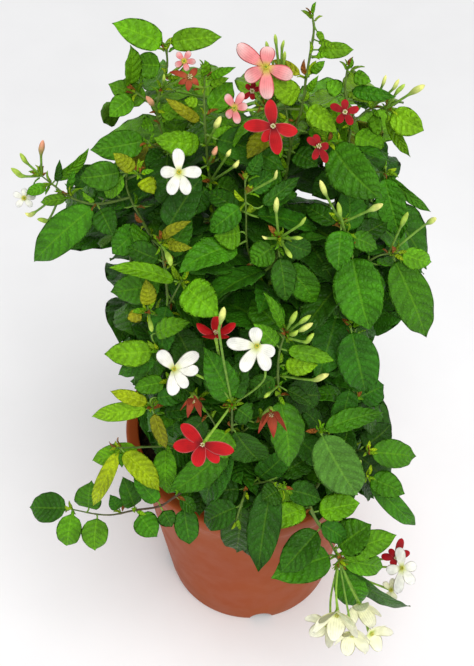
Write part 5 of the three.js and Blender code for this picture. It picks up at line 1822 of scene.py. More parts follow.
class Room:
    """The space that the plant takes, in small cells."""

    CELL = 3.0

    def __init__(self, low: Array, high: Array) -> None:
        """Starts with all the space between two corners free.

        Args:
            low: the lower corner.
            high: the upper corner.
        """
        self.low = np.asarray(low, float)
        self.shape = np.ceil((np.asarray(high) - self.low) / self.CELL).astype(int)
        self.taken = np.zeros(self.shape, bool)

    def take(self, points: Array, reach: float) -> None:
        """Takes the cells within a reach of points.

        Args:
            points: the points.
            reach: how far round the points.
        """
        most = int(reach // self.CELL) + 1
        steps = np.arange(-most, most + 1)
        cells = np.unique(np.floor((points - self.low) / self.CELL).astype(int), axis=0)
        for shift in np.array(np.meshgrid(steps, steps, steps)).reshape(3, -1).T:
            if float(np.linalg.norm(shift)) * self.CELL > reach:
                continue
            moved = cells + shift
            inside = np.all((moved >= 0) & (moved < self.shape), axis=1)
            self.taken[tuple(moved[inside].T)] = True

    def free(self, points: Array, touch: float = 0.0) -> bool:
        """Whether the points lie in the box, and all but a share of them in free cells.

        Args:
            points: the points.
            touch: the share that may be taken.

        Returns:
            Whether they do.
        """
        cells = ((points - self.low) / self.CELL).astype(int)
        if cells.min() < 0 or (cells >= self.shape).any():
            return False
        return float(self.taken[cells[:, 0], cells[:, 1], cells[:, 2]].mean()) <= touch


class Picture:
    """What the view shows, in small squares: how near its pieces are, and where nothing covers it."""

    SQUARE = 3

    def __init__(self) -> None:
        """Starts with nothing in the view, and marks the bush's outline and its front."""
        self.size = (VIEW.width // self.SQUARE + 1, VIEW.height // self.SQUARE + 1)
        self.nearest = np.zeros(self.size)
        self.covered = np.zeros(self.size, bool)
        across, down = np.indices(self.size)
        x = (across + 0.5) * self.SQUARE
        y = (down + 0.5) * self.SQUARE
        self.inside = np.zeros(self.size, bool)
        for (ax, ay), (bx, by) in zip(OUTLINE, OUTLINE[1:] + OUTLINE[:1]):
            if ay != by:
                self.inside ^= ((ay > y) != (by > y)) & (x < (bx - ax) * (y - ay) / (by - ay) + ax)
        for spot_x, spot_y, reach in CLEAR_SPOTS:
            self.inside &= np.hypot(x - spot_x, y - spot_y) > reach
        self.front = VIEW.front_depth(x, y)

    def squares(self, points: Array) -> tuple[Array, Array, Array]:
        """The squares of points, and their depths.

        Args:
            points: the points.

        Returns:
            Their columns, their rows and their depths.
        """
        places, depths = VIEW.places(points)
        x = np.clip((places[:, 0] / self.SQUARE).astype(int), 0, self.size[0] - 1)
        y = np.clip((places[:, 1] / self.SQUARE).astype(int), 0, self.size[1] - 1)
        return x, y, depths

    def show(self, points: Array) -> None:
        """Adds points that must stay in sight.

        Args:
            points: the points.
        """
        x, y, depths = self.squares(points)
        order = np.argsort(-depths)
        fresh = np.full(self.size, np.inf)
        fresh[x[order], y[order]] = depths[order]
        shown = np.isfinite(fresh)
        known = np.where(self.nearest > 0, self.nearest, np.inf)
        self.nearest[shown] = np.minimum(known, fresh)[shown]
        self.covered[x, y] = True

    def cover(self, points: Array) -> None:
        """Adds points that only cover the background."""
        x, y, _ = self.squares(points)
        self.covered[x, y] = True

    def allows(self, points: Array, behind: float, margin: float) -> bool:
        """Whether points lie in the outline, behind the front, and hide nothing that is shown.

        Args:
            points: the points.
            behind: how far behind the front they have to be.
            margin: how far behind what is shown they have to be.

        Returns:
            Whether they do.
        """
        x, y, depths = self.squares(points)
        if not self.inside[x, y].all() or (-points[:, 1] > self.front[x, y] - behind).any():
            return False
        nearest = self.nearest[x, y]
        return not ((nearest > 0) & (depths < nearest + margin)).any()

    def gain(self, points: Array) -> int:
        """How many open squares points would cover."""
        x, y, _ = self.squares(points)
        return int(np.unique((x * self.size[1] + y)[~self.covered[x, y]]).size)

    def gaps(self, block: int, least: float) -> list[tuple[float, float]]:
        """The middles of the blocks of squares in the outline that are open by at least a share.

        Args:
            block: how many squares a block has on a side.
            least: the share.

        Returns:
            The middles, the most open first.
        """
        found = []
        for column in range(0, self.size[0] - block, block):
            for row in range(0, self.size[1] - block, block):
                area = (slice(column, column + block), slice(row, row + block))
                open_share = float((self.inside[area] & ~self.covered[area]).mean())
                if open_share >= least:
                    middle = (column + block / 2, row + block / 2)
                    found.append((open_share, middle[0] * self.SQUARE, middle[1] * self.SQUARE))
        found.sort(reverse=True)
        return [(x, y) for _, x, y in found]


@dataclass
class Thicket:
    """The inner leaves: on every cane, where the leaves that are shown leave room."""

    layout: Layout
    low: Array
    high: Array
    spacing: float = 30
    first_rise: float = 24
    last_share: float = 0.96
    length: float = 64
    length_spread: float = 26
    width_share: float = 0.54
    width_spread: float = 0.1
    least_arch: float = 0.05
    arch_spread: float = 0.05
    stalk: float = 9
    turn_spread: float = 40
    roll_spread: float = 50
    climb_spread: float = 16
    face_out: float = 0.5
    shares: tuple[float, ...] = (1.0, 0.75, 0.52)
    swings: tuple[float, ...] = (0, 30, -30, 60, -60)
    climbs: tuple[float, ...] = (-8, -35, 18, -60)
    fine: float = 3.0
    coarse: float = 5.0
    touch: float = 0.07
    leaf_room: float = 3.5
    stem_room: float = 3.5
    behind: float = 2.0
    margin: float = 1.5
    rim_room: float = 6.0
    rim_inset: float = 20
    soil_room: float = 12
    shown_share: float = 0.7
    middle_share: float = 0.6
    petal_asides: tuple[float, ...] = (-0.25, 0, 0.25)
    petal_root_share: float = 0.4
    hang_lowest: float = 120
    block: int = 3
    gap_share: float = 0.4
    gap_depths: tuple[float, ...] = (10, 24, 40, 60, 84, 112, 144, 180)
    gap_lengths: tuple[float, ...] = (66, 48, 34)
    gap_rolls: tuple[float, ...] = (0, 35, -35)
    gap_joint_step: float = 8
    gap_joints: tuple[int, ...] = (0, 6, 12, 18)
    gap_facing: float = 0.9
    gap_most_slant: float = 0.9
    least_stalk: float = 7
    most_stalk: float = 46
    number: int = 1000

    def __post_init__(self) -> None:
        """Fills the room and the picture with what was laid out."""
        self.room = Room(self.low, self.high)
        self.picture = Picture()
        for shoot in self.layout.shoots.values():
            for leaf in shoot.leaves:
                samples = blade_samples(leaf, self.fine)
                self.room.take(samples, self.leaf_room)
                if leaf.lift > SHOWN_LIFT:
                    self.picture.show(blade_samples(leaf, self.fine * self.shown_share))
                else:
                    self.picture.cover(samples)
            thin = [bud.points for bud in shoot.buds] + [flower.tube for flower in shoot.flowers]
            for path in [line.points for line in shoot.lines] + thin:
                self.room.take(path_samples(path, self.fine), self.stem_room)
            for path in thin:
                self.picture.show(path_samples(path, self.fine * self.shown_share))
        for flower in self.layout.flowers.values():
            for tip in flower.tips:
                for aside in self.petal_asides:
                    side = cross(flower.face, tip - flower.centre) * aside
                    root = flower.centre + side * self.petal_root_share
                    samples = path_samples([root, tip + side], self.fine)
                    self.room.take(samples, self.leaf_room)
                    self.picture.show(samples)

    def fits(self, leaf: Leaf) -> Optional[Array]:
        """A leaf's points, if it has room and hides nothing that is shown.

        Args:
            leaf: the leaf.

        Returns:
            The points, or None.
        """
        middle = leaf.base * (1 - self.middle_share) + leaf.tip * self.middle_share
        if not self.room.free(np.stack([leaf.tip, middle])):
            return None
        samples = blade_samples(leaf, self.coarse)
        radius = np.hypot(samples[:, 0], samples[:, 1])
        floor = np.where(radius < POT.rim_radius - self.rim_inset, SOIL_TOP, POT.height)
        floor = np.where(radius < POT.rim_radius + self.rim_room, floor, self.hang_lowest)
        if (samples[:, 2] < floor + self.rim_room).any() or not self.room.free(samples, self.touch):
            return None
        return samples if self.picture.allows(samples, self.behind, self.margin) else None

    def leaf_at(
        self, joint: Array, axis: Array, stalk: float, length: float, face: Array, roll: float
    ) -> Leaf:
        """A leaf that stands from a joint along an axis.

        Args:
            joint: where it leaves its cane.
            axis: the way that it points.
            stalk: its stalk's length.
            length: its blade's length.
            face: the way that it faces.
            roll: its roll, in degrees.

        Returns:
            The leaf.
        """
        number = self.number
        base = joint + axis * stalk
        return Leaf(
            joint=joint,
            base=base,
            tip=base + axis * length,
            face=unit(face),
            roll=roll,
            width=length * (self.width_share + self.width_spread * (draw(number, 57) - 0.5)),
            arch=self.least_arch + self.arch_spread * draw(number, 59),
            plain=True,
            sessile=True,
            lift=FILL_LIFT,
            number=number,
        )

    def keep(self, shoot: Shoot, leaf: Leaf) -> None:
        """Adds a leaf and takes its room.

        Args:
            shoot: the shoot.
            leaf: the leaf.
        """
        dense = blade_samples(leaf, self.fine)
        self.room.take(dense, self.leaf_room)
        self.picture.cover(dense)
        shoot.leaves.append(leaf)

    def close_gaps(self) -> int:
        """Adds a leaf behind each open place of the picture.

        Returns:
            How many were added.
        """
        owners, joints = [], []
        for shoot in self.layout.shoots.values():
            for line in shoot.lines:
                path = path_samples(line.points, self.gap_joint_step)
                joints.append(path[path[:, 2] > SOIL_TOP + self.soil_room])
                owners += [shoot] * len(joints[-1])
        points = np.concatenate(joints)
        added = 0
        for x, y in self.picture.gaps(self.block, self.gap_share):
            self.number += 1
            best, most = None, 1
            for behind in self.gap_depths:
                target = VIEW.seen(x, y, VIEW.front_depth(x, y) - behind)
                gaps = np.linalg.norm(points - target, axis=1)
                for index in np.argsort(gaps)[list(self.gap_joints)]:
                    for leaf in self.gap_tries(points[index], target, float(gaps[index])):
                        samples = self.fits(leaf)
                        gain = 0 if samples is None else self.picture.gain(samples)
                        if gain > most:
                            best, most = (owners[index], leaf), gain
            if best is not None:
                self.keep(*best)
                added += 1
        return added

    def gap_tries(self, joint: Array, target: Array, gap: float) -> Iterable[Leaf]:
        """Leaves from a joint whose blades have their middle at a target.

        Args:
            joint: where it leaves its cane.
            target: the middle of its blade.
            gap: how far apart they are.

        Returns:
            The leaves, one by one.
        """
        axis = (target - joint) / gap
        face = SKYWARD + self.gap_facing * unit(np.array(VIEW.eye) - target)
        if abs(float(axis @ unit(face))) > self.gap_most_slant:
            return
        for length in self.gap_lengths:
            stalk = gap - length / 2
            if self.least_stalk < stalk < self.most_stalk:
                for roll in self.gap_rolls:
                    yield self.leaf_at(joint, axis, stalk, length, face, roll)

    def line_canes(self) -> int:
        """Adds opposite leaves along every cane, where they have room.

        Returns:
            How many were added.
        """
        added = 0
        for order, shoot in enumerate(self.layout.shoots.values()):
            for line in shoot.lines:
                path = path_samples(line.points, 1.0)
                marks = np.arange(self.first_rise, len(path) * self.last_share, self.spacing)
                for step, mark in enumerate(marks):
                    joint = path[int(mark)]
                    if joint[2] < SOIL_TOP + self.soil_room:
                        continue
                    turn = bearing_of(joint) + 90 * (step % 2)
                    turn += self.turn_spread * (draw(step, order) - 0.5)
                    for side in (0, 180):
                        self.number += 1
                        leaf = next(self.tries(joint, turn + side), None)
                        if leaf is not None:
                            self.keep(shoot, leaf)
                            added += 1
        return added

    def tries(self, joint: Array, bearing: float) -> Iterable[Leaf]:
        """The leaves at a joint that have room, in the order of their tries.

        Args:
            joint: where it leaves its cane.
            bearing: its turn from +X, in degrees.

        Returns:
            The leaves, one by one.
        """
        number = self.number
        full = self.length + self.length_spread * (draw(number, 51) - 0.5)
        roll = self.roll_spread * (draw(number, 53) - 0.5)
        for share in self.shares:
            for climb in self.climbs:
                rise = math.radians(climb + self.climb_spread * (draw(number, 55) - 0.5))
                for swing in self.swings:
                    out, axis = leaning(math.radians(bearing + swing), rise)
                    face = SKYWARD + out * self.face_out
                    leaf = self.leaf_at(joint, axis, self.stalk, full * share, face, roll)
                    if self.fits(leaf) is not None:
                        yield leaf

    def grow(self) -> None:
        """Adds all the inner leaves."""
        LOG.info("leaves behind the open places: %d", self.close_gaps())
        LOG.info("leaves along the canes: %d", self.line_canes())


def linear(red: float, green: float, blue: float) -> Colour:
    """A colour of 0 to 255 parts on a screen, as light.

    Args:
        red: its red.
        green: its green.
        blue: its blue.

    Returns:
        The colour.
    """
    return tuple(
        part / 12.92 if part <= 0.04045 else ((part + 0.055) / 1.055) ** 2.4
        for part in (red / 255, green / 255, blue / 255)
    )


class LeafTone(Enum):
    """The tones of the leaves, by age and place; the darker ones on leaves deep in and under the bush
    are partly painted shade, the lighter ones at its top partly painted light.
    """

    DEEP = linear(40, 84, 12)
    DARK = linear(48, 102, 14)
    MID = linear(62, 122, 14)
    FRESH = linear(88, 148, 16)
    BRIGHT = linear(102, 160, 14)
    LIME = linear(118, 168, 18)
    YELLOW = linear(150, 180, 16)
    OLIVE = linear(134, 144, 20)
    PALE = linear(78, 126, 40)
    RUSSET = linear(150, 92, 36)


# The span that most of a noise's numbers lie in
NOISE_LOW, NOISE_HIGH = 0.3, 0.7


class Nodes:
    """A short way to lay out a material's nodes."""

    def __init__(self, name: str) -> None:
        """Starts a material with one Principled shader.

        Args:
            name: the material's name.
        """
        self.material = bpy.data.materials.new(name)
        self.material.use_nodes = True
        self.tree = self.material.node_tree
        self.shader = self.tree.nodes["Principled BSDF"]

    def make(self, kind: str, **settings: object) -> bpy.types.Node:
        """Adds a node with its settings.

        Args:
            kind: the node's type.
            settings: its settings by name.

        Returns:
            The node.
        """
        node = self.tree.nodes.new(kind)
        for key, value in settings.items():
            setattr(node, key, value)
        return node

    def join(self, source: bpy.types.NodeSocket, target: bpy.types.NodeSocket) -> None:
        """Joins two sockets."""
        self.tree.links.new(source, target)

    def feed(self, value: object, target: bpy.types.NodeSocket) -> None:
        """Joins a socket to a target, or sets a plain number or colour on it.

        Args:
            value: the socket, number or colour.
            target: what it goes into.
        """
        if isinstance(value, bpy.types.NodeSocket):
            self.join(value, target)
        elif isinstance(value, tuple):
            target.default_value = (*value, 1.0)[: len(target.default_value)]
        else:
            target.default_value = value

    def math(self, operation: str, first: object, second: object = 0.0) -> bpy.types.NodeSocket:
        """One sum on two numbers.

        Args:
            operation: the sum.
            first: a number or socket.
            second: another.

        Returns:
            The result.
        """
        node = self.make("ShaderNodeMath", operation=operation)
        self.feed(first, node.inputs[0])
        self.feed(second, node.inputs[1])
        return node.outputs[0]

    def span(
        self, value: object, low: float, high: float, start: float, end: float
    ) -> bpy.types.NodeSocket:
        """A number moved smoothly from one span to another.

        Args:
            value: the number.
            low: where the first span starts.
            high: where it ends.
            start: where the other span starts.
            end: where it ends.

        Returns:
            The moved number.
        """
        node = self.make("ShaderNodeMapRange", interpolation_type="SMOOTHSTEP")
        self.feed(value, node.inputs["Value"])
        for key, number in (("From Min", low), ("From Max", high), ("To Min", start), ("To Max", end)):
            node.inputs[key].default_value = number
        return node.outputs["Result"]

    def mottle(self, scale: float, detail: float, start: float, end: float) -> bpy.types.NodeSocket:
        """A number that varies in soft patches.

        Args:
            scale: how many patches to a metre.
            detail: how fine they are.
            start: its least.
            end: its most.

        Returns:
            The number.
        """
        return self.span(self.noise(scale, detail), NOISE_LOW, NOISE_HIGH, start, end)

    def mix(self, share: object, first: object, second: object) -> bpy.types.NodeSocket:
        """Two colours mixed by a share.

        Args:
            share: the second colour's share.
            first: a colour.
            second: the other.

        Returns:
            The mixed colour.
        """
        node = self.make("ShaderNodeMix", data_type="RGBA", blend_type="MIX", clamp_factor=True)
        self.feed(share, node.inputs["Factor"])
        self.feed(first, node.inputs[6])
        self.feed(second, node.inputs[7])
        return node.outputs[2]

    def noise(self, scale: float, detail: float = 3.0, roughness: float = 0.5) -> bpy.types.NodeSocket:
        """Noise at a scale per metre.

        Args:
            scale: the scale.
            detail: how many finer layers it has.
            roughness: how strong they are.

        Returns:
            The noise, about 0.5.
        """
        node = self.make("ShaderNodeTexNoise")
        node.inputs["Scale"].default_value = scale
        node.inputs["Detail"].default_value = detail
        node.inputs["Roughness"].default_value = roughness
        self.join(self.position(), node.inputs["Vector"])
        return node.outputs["Fac"]

    def position(self) -> bpy.types.NodeSocket:
        """The place in the piece, in metres."""
        return self.make("ShaderNodeTexCoord").outputs["Object"]

    def attribute(self, name: str) -> bpy.types.Node:
        """A value that each point of the mesh holds."""
        return self.make("ShaderNodeAttribute", attribute_name=name)

    def parts(self, vector: bpy.types.NodeSocket) -> list[bpy.types.NodeSocket]:
        """A vector's three numbers.

        Args:
            vector: the vector.

        Returns:
            The numbers.
        """
        node = self.make("ShaderNodeSeparateXYZ")
        self.join(vector, node.inputs[0])
        return list(node.outputs)

    def scale(self, colour: object, by: object) -> bpy.types.NodeSocket:
        """A colour made lighter or darker by a number.

        Args:
            colour: the colour.
            by: the number.

        Returns:
            The changed colour.
        """
        node = self.make("ShaderNodeVectorMath", operation="SCALE")
        self.feed(colour, node.inputs[0])
        self.feed(by, node.inputs["Scale"])
        return node.outputs[0]

    def bump(self, height: bpy.types.NodeSocket, depth: float, strength: float = 1.0) -> None:
        """Raises the surface by a height, so many metres deep.

        Args:
            height: the height, from 0 to 1.
            depth: how deep it is.
            strength: how strongly it shows.
        """
        node = self.make("ShaderNodeBump")
        node.inputs["Distance"].default_value = depth
        node.inputs["Strength"].default_value = strength
        self.join(height, node.inputs["Height"])
        self.join(node.outputs[0], self.shader.inputs["Normal"])

    def finish(self, colour: object, roughness: object, **plain: float) -> bpy.types.Material:
        """Sets the shader's colour, roughness and plain numbers.

        Args:
            colour: the colour.
            roughness: how rough it is.
            plain: other inputs and their numbers.

        Returns:
            The material.
        """
        self.feed(colour, self.shader.inputs["Base Color"])
        self.feed(roughness, self.shader.inputs["Roughness"])
        for key, value in plain.items():
            self.shader.inputs[key.replace("_", " ")].default_value = value
        return self.material


@dataclass(frozen=True)
class LeafFinish:
    """A leaf: a green that varies, paler veins, painted shade in its grooves, a pale duller underside
    and a thin light rim.
    """

    vein_half: float = 0.06
    rib_light: float = 0.42
    vein_light: float = 0.12
    groove_shade: float = 0.8
    underside: Colour = linear(96, 134, 38)
    rim: Colour = linear(140, 166, 30)
    upper_gloss: float = 0.42
    lower_gloss: float = 0.7
    cells_per_metre: float = 300

    def make(self) -> bpy.types.Material:
        """Makes the material.

        Returns:
            The material.
        """
        n = Nodes("leaf")
        tone = n.attribute("tone")
        share, across, level = n.parts(n.attribute("place").outputs["Vector"])
        spread = n.math("ABSOLUTE", across)
        bent = n.math("ADD", share, n.mottle(120, 2, -0.08, 0.08))
        near = n.math("PINGPONG", bent, 0.5)
        side_vein = n.span(near, self.vein_half * 0.4, self.vein_half * 1.6, 1, 0)
        side_vein = n.math("MULTIPLY", side_vein, n.span(spread, 0.55, 0.98, 0.8, 0))
        rib = n.span(spread, 0.02, 0.08, 1, 0)
        vein = n.math("MAXIMUM", side_vein, rib)
        cells = n.make("ShaderNodeTexVoronoi", feature="DISTANCE_TO_EDGE")
        cells.inputs["Scale"].default_value = self.cells_per_metre
        n.join(n.position(), cells.inputs["Vector"])
        net = n.span(cells.outputs["Distance"], 0.0, 0.3, 0, 1)
        blotch = n.mottle(48, 4, 0.76, 1.26)
        # painted shade in the grooves along the side veins, and painted highlight on the raised cushions
        # between them
        cushion = n.span(near, 0.0, 0.36, self.groove_shade, 1.08)
        # the fine network is made darker along its sunk lines and lighter on its cells: painted shade
        # and highlight
        shade = n.math("MULTIPLY", n.math("MULTIPLY", blotch, cushion), n.span(net, 0, 1, 0.87, 1.06))
        colour = n.scale(tone.outputs["Color"], shade)
        light = n.mix(0.25, n.scale(tone.outputs["Color"], 1.8), self.rim)
        colour = n.mix(n.math("MULTIPLY", side_vein, self.vein_light), colour, light)
        colour = n.mix(n.math("MULTIPLY", rib, self.rib_light), colour, light)
        edge = n.span(spread, 0.95, 1.0, 0, 0.35)
        colour = n.mix(edge, colour, light)
        below = n.span(level, -0.9, -0.1, 1, 0)
        dull = n.mix(0.45, tone.outputs["Color"], self.underside)
        colour = n.mix(below, colour, n.mix(n.math("MULTIPLY", vein, 0.5), dull, light))
        rough = n.mottle(90, 2, self.upper_gloss - 0.06, self.upper_gloss + 0.1)
        rough = n.math("ADD", rough, n.math("MULTIPLY", below, self.lower_gloss - self.upper_gloss))
        height = n.math("ADD", n.math("MULTIPLY", net, 0.8), n.span(near, 0.0, 0.4, 0, 1))
        n.bump(height, 0.0006, 0.85)
        return n.finish(colour, rough, Specular_IOR_Level=0.14)


@dataclass(frozen=True)
class StemFinish:
    """A stem: its own tone from brown to green, with faint ridges."""

    def make(self) -> bpy.types.Material:
        """Makes the material.

        Returns:
            The material.
        """
        n = Nodes("stem")
        tone = n.attribute("tone")
        grain = n.mottle(260, 4, 0.75, 1.2)
        n.bump(n.noise(700, 3), 0.0004, 0.5)
        return n.finish(n.scale(tone.outputs["Color"], grain), 0.55, Specular_IOR_Level=0.4)


@dataclass(frozen=True)
class PetalColours:
    """The colours of a flower: its petals' middle, tips, rim, throat and backs."""

    middle: Colour
    tip: Colour
    rim: Colour
    throat: Colour
    back: Colour


PETALS = {
    "white": PetalColours(
        linear(240, 240, 226), linear(242, 242, 236), linear(244, 240, 228),
        linear(206, 216, 120), linear(240, 240, 214),
    ),
    "cream": PetalColours(
        linear(246, 246, 206), linear(247, 246, 224), linear(244, 240, 200),
        linear(200, 216, 96), linear(240, 242, 196),
    ),
    "pink": PetalColours(
        linear(232, 138, 138), linear(244, 198, 194), linear(224, 84, 84),
        linear(206, 190, 70), linear(210, 70, 78),
    ),
    # the red and crimson throats are a darker red: painted shade where the petals meet the tube
    "red": PetalColours(
        linear(178, 8, 16), linear(206, 18, 26), linear(232, 112, 112),
        linear(112, 4, 10), linear(176, 30, 40),
    ),
    "crimson": PetalColours(
        linear(150, 4, 16), linear(178, 12, 26), linear(206, 74, 80),
        linear(104, 4, 12), linear(150, 12, 28),
    ),
    "spent": PetalColours(
        linear(172, 74, 44), linear(158, 50, 32), linear(186, 110, 70),
        linear(140, 100, 44), linear(166, 64, 42),
    ),
}


@dataclass(frozen=True)
class PetalFinish:
    """Puts a finished piece on the part's body and hides the solid that it stands for."""

    name: str
    colours: PetalColours

    def make(self) -> bpy.types.Material:
        """Makes the material.

        Returns:
            The material.
        """
        n = Nodes(f"petal_{self.name}")
        along, across, level = n.parts(n.attribute("place").outputs["Vector"])
        drawn = n.attribute("tone").outputs["Alpha"]
        spread = n.math("ABSOLUTE", across)
        colour = n.mix(n.span(along, 0.45, 1.0, 0, 1), self.colours.middle, self.colours.tip)
        # the throat's colour: yellow-green in pale flowers, and in red ones a darker red that is painted
        # shade
        colour = n.mix(n.span(along, 0.02, 0.34, 1, 0), colour, self.colours.throat)
        colour = n.mix(n.span(spread, 0.8, 0.97, 0, 0.85), colour, self.colours.rim)
        below = n.span(level, -0.9, -0.1, 1, 0)
        colour = n.mix(below, colour, self.colours.back)
        stripe = n.math("PINGPONG", n.math("MULTIPLY", across, 3.5), 0.5)
        streak = n.span(stripe, 0.0, 0.22, 0.84, 1.0)
        blotch = n.mottle(160, 3, 0.86, 1.08)
        vary = n.span(drawn, 0.0, 1.0, 0.94, 1.04)
        colour = n.scale(colour, n.math("MULTIPLY", n.math("MULTIPLY", streak, blotch), vary))
        n.bump(n.math("ADD", stripe, n.noise(900, 2)), 0.0003, 0.6)
        return n.finish(colour, 0.62, Specular_IOR_Level=0.22)


@dataclass(frozen=True)
class PotFinish:
    """The pot: satin terracotta-coloured plastic with faint streaks, and dust at its foot."""

    colour: Colour = linear(152, 66, 20)
    worn: Colour = linear(164, 80, 32)
    dust: Colour = linear(152, 92, 54)

    def make(self) -> bpy.types.Material:
        """Makes the material.

        Returns:
            The material.
        """
        n = Nodes("pot_plastic")
        _, _, height = n.parts(n.position())
        cloud = n.mottle(9, 4, 0, 0.5)
        colour = n.mix(cloud, self.colour, self.worn)
        speck = n.span(n.noise(240, 5, roughness=0.7), 0.62, 0.8, 0, 0.35)
        colour = n.mix(speck, colour, self.dust)
        foot = n.span(height, 0.0, 0.05, 0.4, 0)
        splash = n.math("MULTIPLY", foot, n.span(n.noise(60, 5), 0.35, 0.7, 0.2, 1))
        colour = n.mix(splash, colour, self.dust)
        rough = n.mottle(40, 4, 0.44, 0.58)
        n.bump(n.noise(500, 4), 0.0002, 0.35)
        return n.finish(colour, rough, Specular_IOR_Level=0.14)


@dataclass(frozen=True)
class SoilFinish:
    """The soil: dark moist compost with paler crumbs."""

    dark: Colour = linear(34, 25, 18)
    pale: Colour = linear(84, 62, 44)

    def make(self) -> bpy.types.Material:
        """Makes the material.

        Returns:
            The material.
        """
        n = Nodes("compost")
        colour = n.mix(n.span(n.noise(170, 6, roughness=0.7), 0.4, 0.7, 0, 1), self.dark, self.pale)
        n.bump(n.noise(420, 6, roughness=0.7), 0.002, 0.8)
        return n.finish(colour, 0.95, Specular_IOR_Level=0.2)


@dataclass(frozen=True)
class FloorFinish:
    """A pale floor, with painted shade that darkens it farther back."""

    colour: Colour = linear(250, 250, 251)

    def make(self) -> bpy.types.Material:
        """Makes the material.

        Returns:
            The material.
        """
        n = Nodes("pale_floor")
        _, back, _ = n.parts(n.position())
        cloud = n.mottle(6, 4, 0.97, 1.0)
        # painted shade: the floor grows darker farther back
        shade = n.math("MULTIPLY", cloud, n.span(back, -0.1, 1.1, 1.0, 0.8))
        return n.finish(n.scale(self.colour, shade), 0.9, Specular_IOR_Level=0.1)


# Where the picture shows leaves of an own tone, the deep tone under the bush partly painted shade: (x,
# y, reach in pixels)
TONE_SPOTS = {
    LeafTone.BRIGHT: [
        (137, 33, 16), (196, 35, 18), (166, 50, 6), (333, 50, 12), (145, 268, 12), (203, 296, 18),
        (130, 349, 16), (218, 370, 14), (118, 446, 12), (286, 515, 14), (337, 507, 14),
        (408, 568, 14),
    ],
    LeafTone.DARK: [
        (357, 358, 16), (137, 367, 10), (187, 528, 14), (168, 518, 8), (113, 502, 8), (48, 508, 12),
    ],
    # the skirt's leaves under the bush: a deep tone that is partly painted shade
    LeafTone.DEEP: [
        (262, 515, 22), (226, 490, 34), (236, 522, 20),
    ],
    LeafTone.MID: [
        (366, 93, 10), (357, 285, 16), (62, 235, 20), (116, 136, 18), (147, 523, 12),
        (283, 430, 22), (393, 454, 20), (405, 285, 24), (357, 170, 22),
    ],
    LeafTone.OLIVE: [
        (127, 163, 9), (137, 314, 8), (146, 292, 8), (160, 428, 10), (176, 242, 16),
    ],
    LeafTone.PALE: [
        (337, 464, 24),
    ],
    LeafTone.YELLOW: [
        (148, 183, 9), (129, 397, 14), (102, 476, 14), (139, 468, 14),
    ],
    LeafTone.LIME: [
        (406, 121, 12), (285, 90, 14), (321, 117, 14), (298, 363, 14), (120, 412, 14),
    ],
    LeafTone.FRESH: [
        (151, 64, 12), (131, 66, 8), (416, 258, 8), (165, 324, 10), (273, 303, 9), (120, 101, 12),
        (232, 245, 22), (151, 384, 9), (311, 353, 10), (267, 333, 10), (95, 532, 12),
        (164, 468, 10), (170, 225, 10), (393, 102, 20),
    ],
}
# The tones of all other leaves: deep in the bush, at its front, and above this row of the picture. Deep
# in the bush they are darker, partly painted shade; above the row they are lighter, partly painted
# light.
INNER_SHADED_TONES = [LeafTone.DEEP, LeafTone.DARK, LeafTone.DARK, LeafTone.MID, LeafTone.DARK]
OUTER_TONES = [LeafTone.DARK, LeafTone.MID, LeafTone.FRESH, LeafTone.MID, LeafTone.FRESH]
# lighter tones at the top of the bush: partly the young leaves' own colour, partly painted light from
# above
TOP_LIT_TONES = [
    LeafTone.FRESH, LeafTone.BRIGHT, LeafTone.FRESH, LeafTone.LIME, LeafTone.BRIGHT, LeafTone.BRIGHT,
    LeafTone.OLIVE, LeafTone.FRESH,
]
TOP_BELOW = 150


def leaf_tone(leaf: Leaf) -> Colour:
    """A leaf's tone, by its place in the picture, its depth in the bush and a draw; darker deep in the
    bush, as partly painted shade, and lighter at the top, as partly painted light.

    Args:
        leaf: the leaf.

    Returns:
        The tone.
    """
    middle = (leaf.base + leaf.tip) / 2
    x, y = VIEW.place(middle)
    drawn = draw(leaf.number, 31)
    if leaf.lift > SHOWN_LIFT:
        for tone, spots in TONE_SPOTS.items():
            if any(math.dist((x, y), spot[:2]) < spot[2] for spot in spots):
                return tone.value
    rows = INNER_SHADED_TONES if leaf.lift < SHOWN_LIFT else OUTER_TONES
    if y < TOP_BELOW:
        rows = TOP_LIT_TONES
    return rows[int(drawn * len(rows)) % len(rows)].value


LIGHT_LEAST, LIGHT_SPREAD = 0.88, 0.26
WARM_LEAST, WARM_SPREAD = 0.9, 0.24


def vary(tone: Sequence[float], number: int) -> list[float]:
    """A tone made a little lighter, darker, yellower or bluer by draws.

    Args:
        tone: the tone.
        number: the number of its draws.

    Returns:
        The varied tone.
    """
    light = LIGHT_LEAST + LIGHT_SPREAD * draw(number, 33)
    warm = WARM_LEAST + WARM_SPREAD * draw(number, 35)
    return [tone[0] * light * warm, tone[1] * light, tone[2] * light]


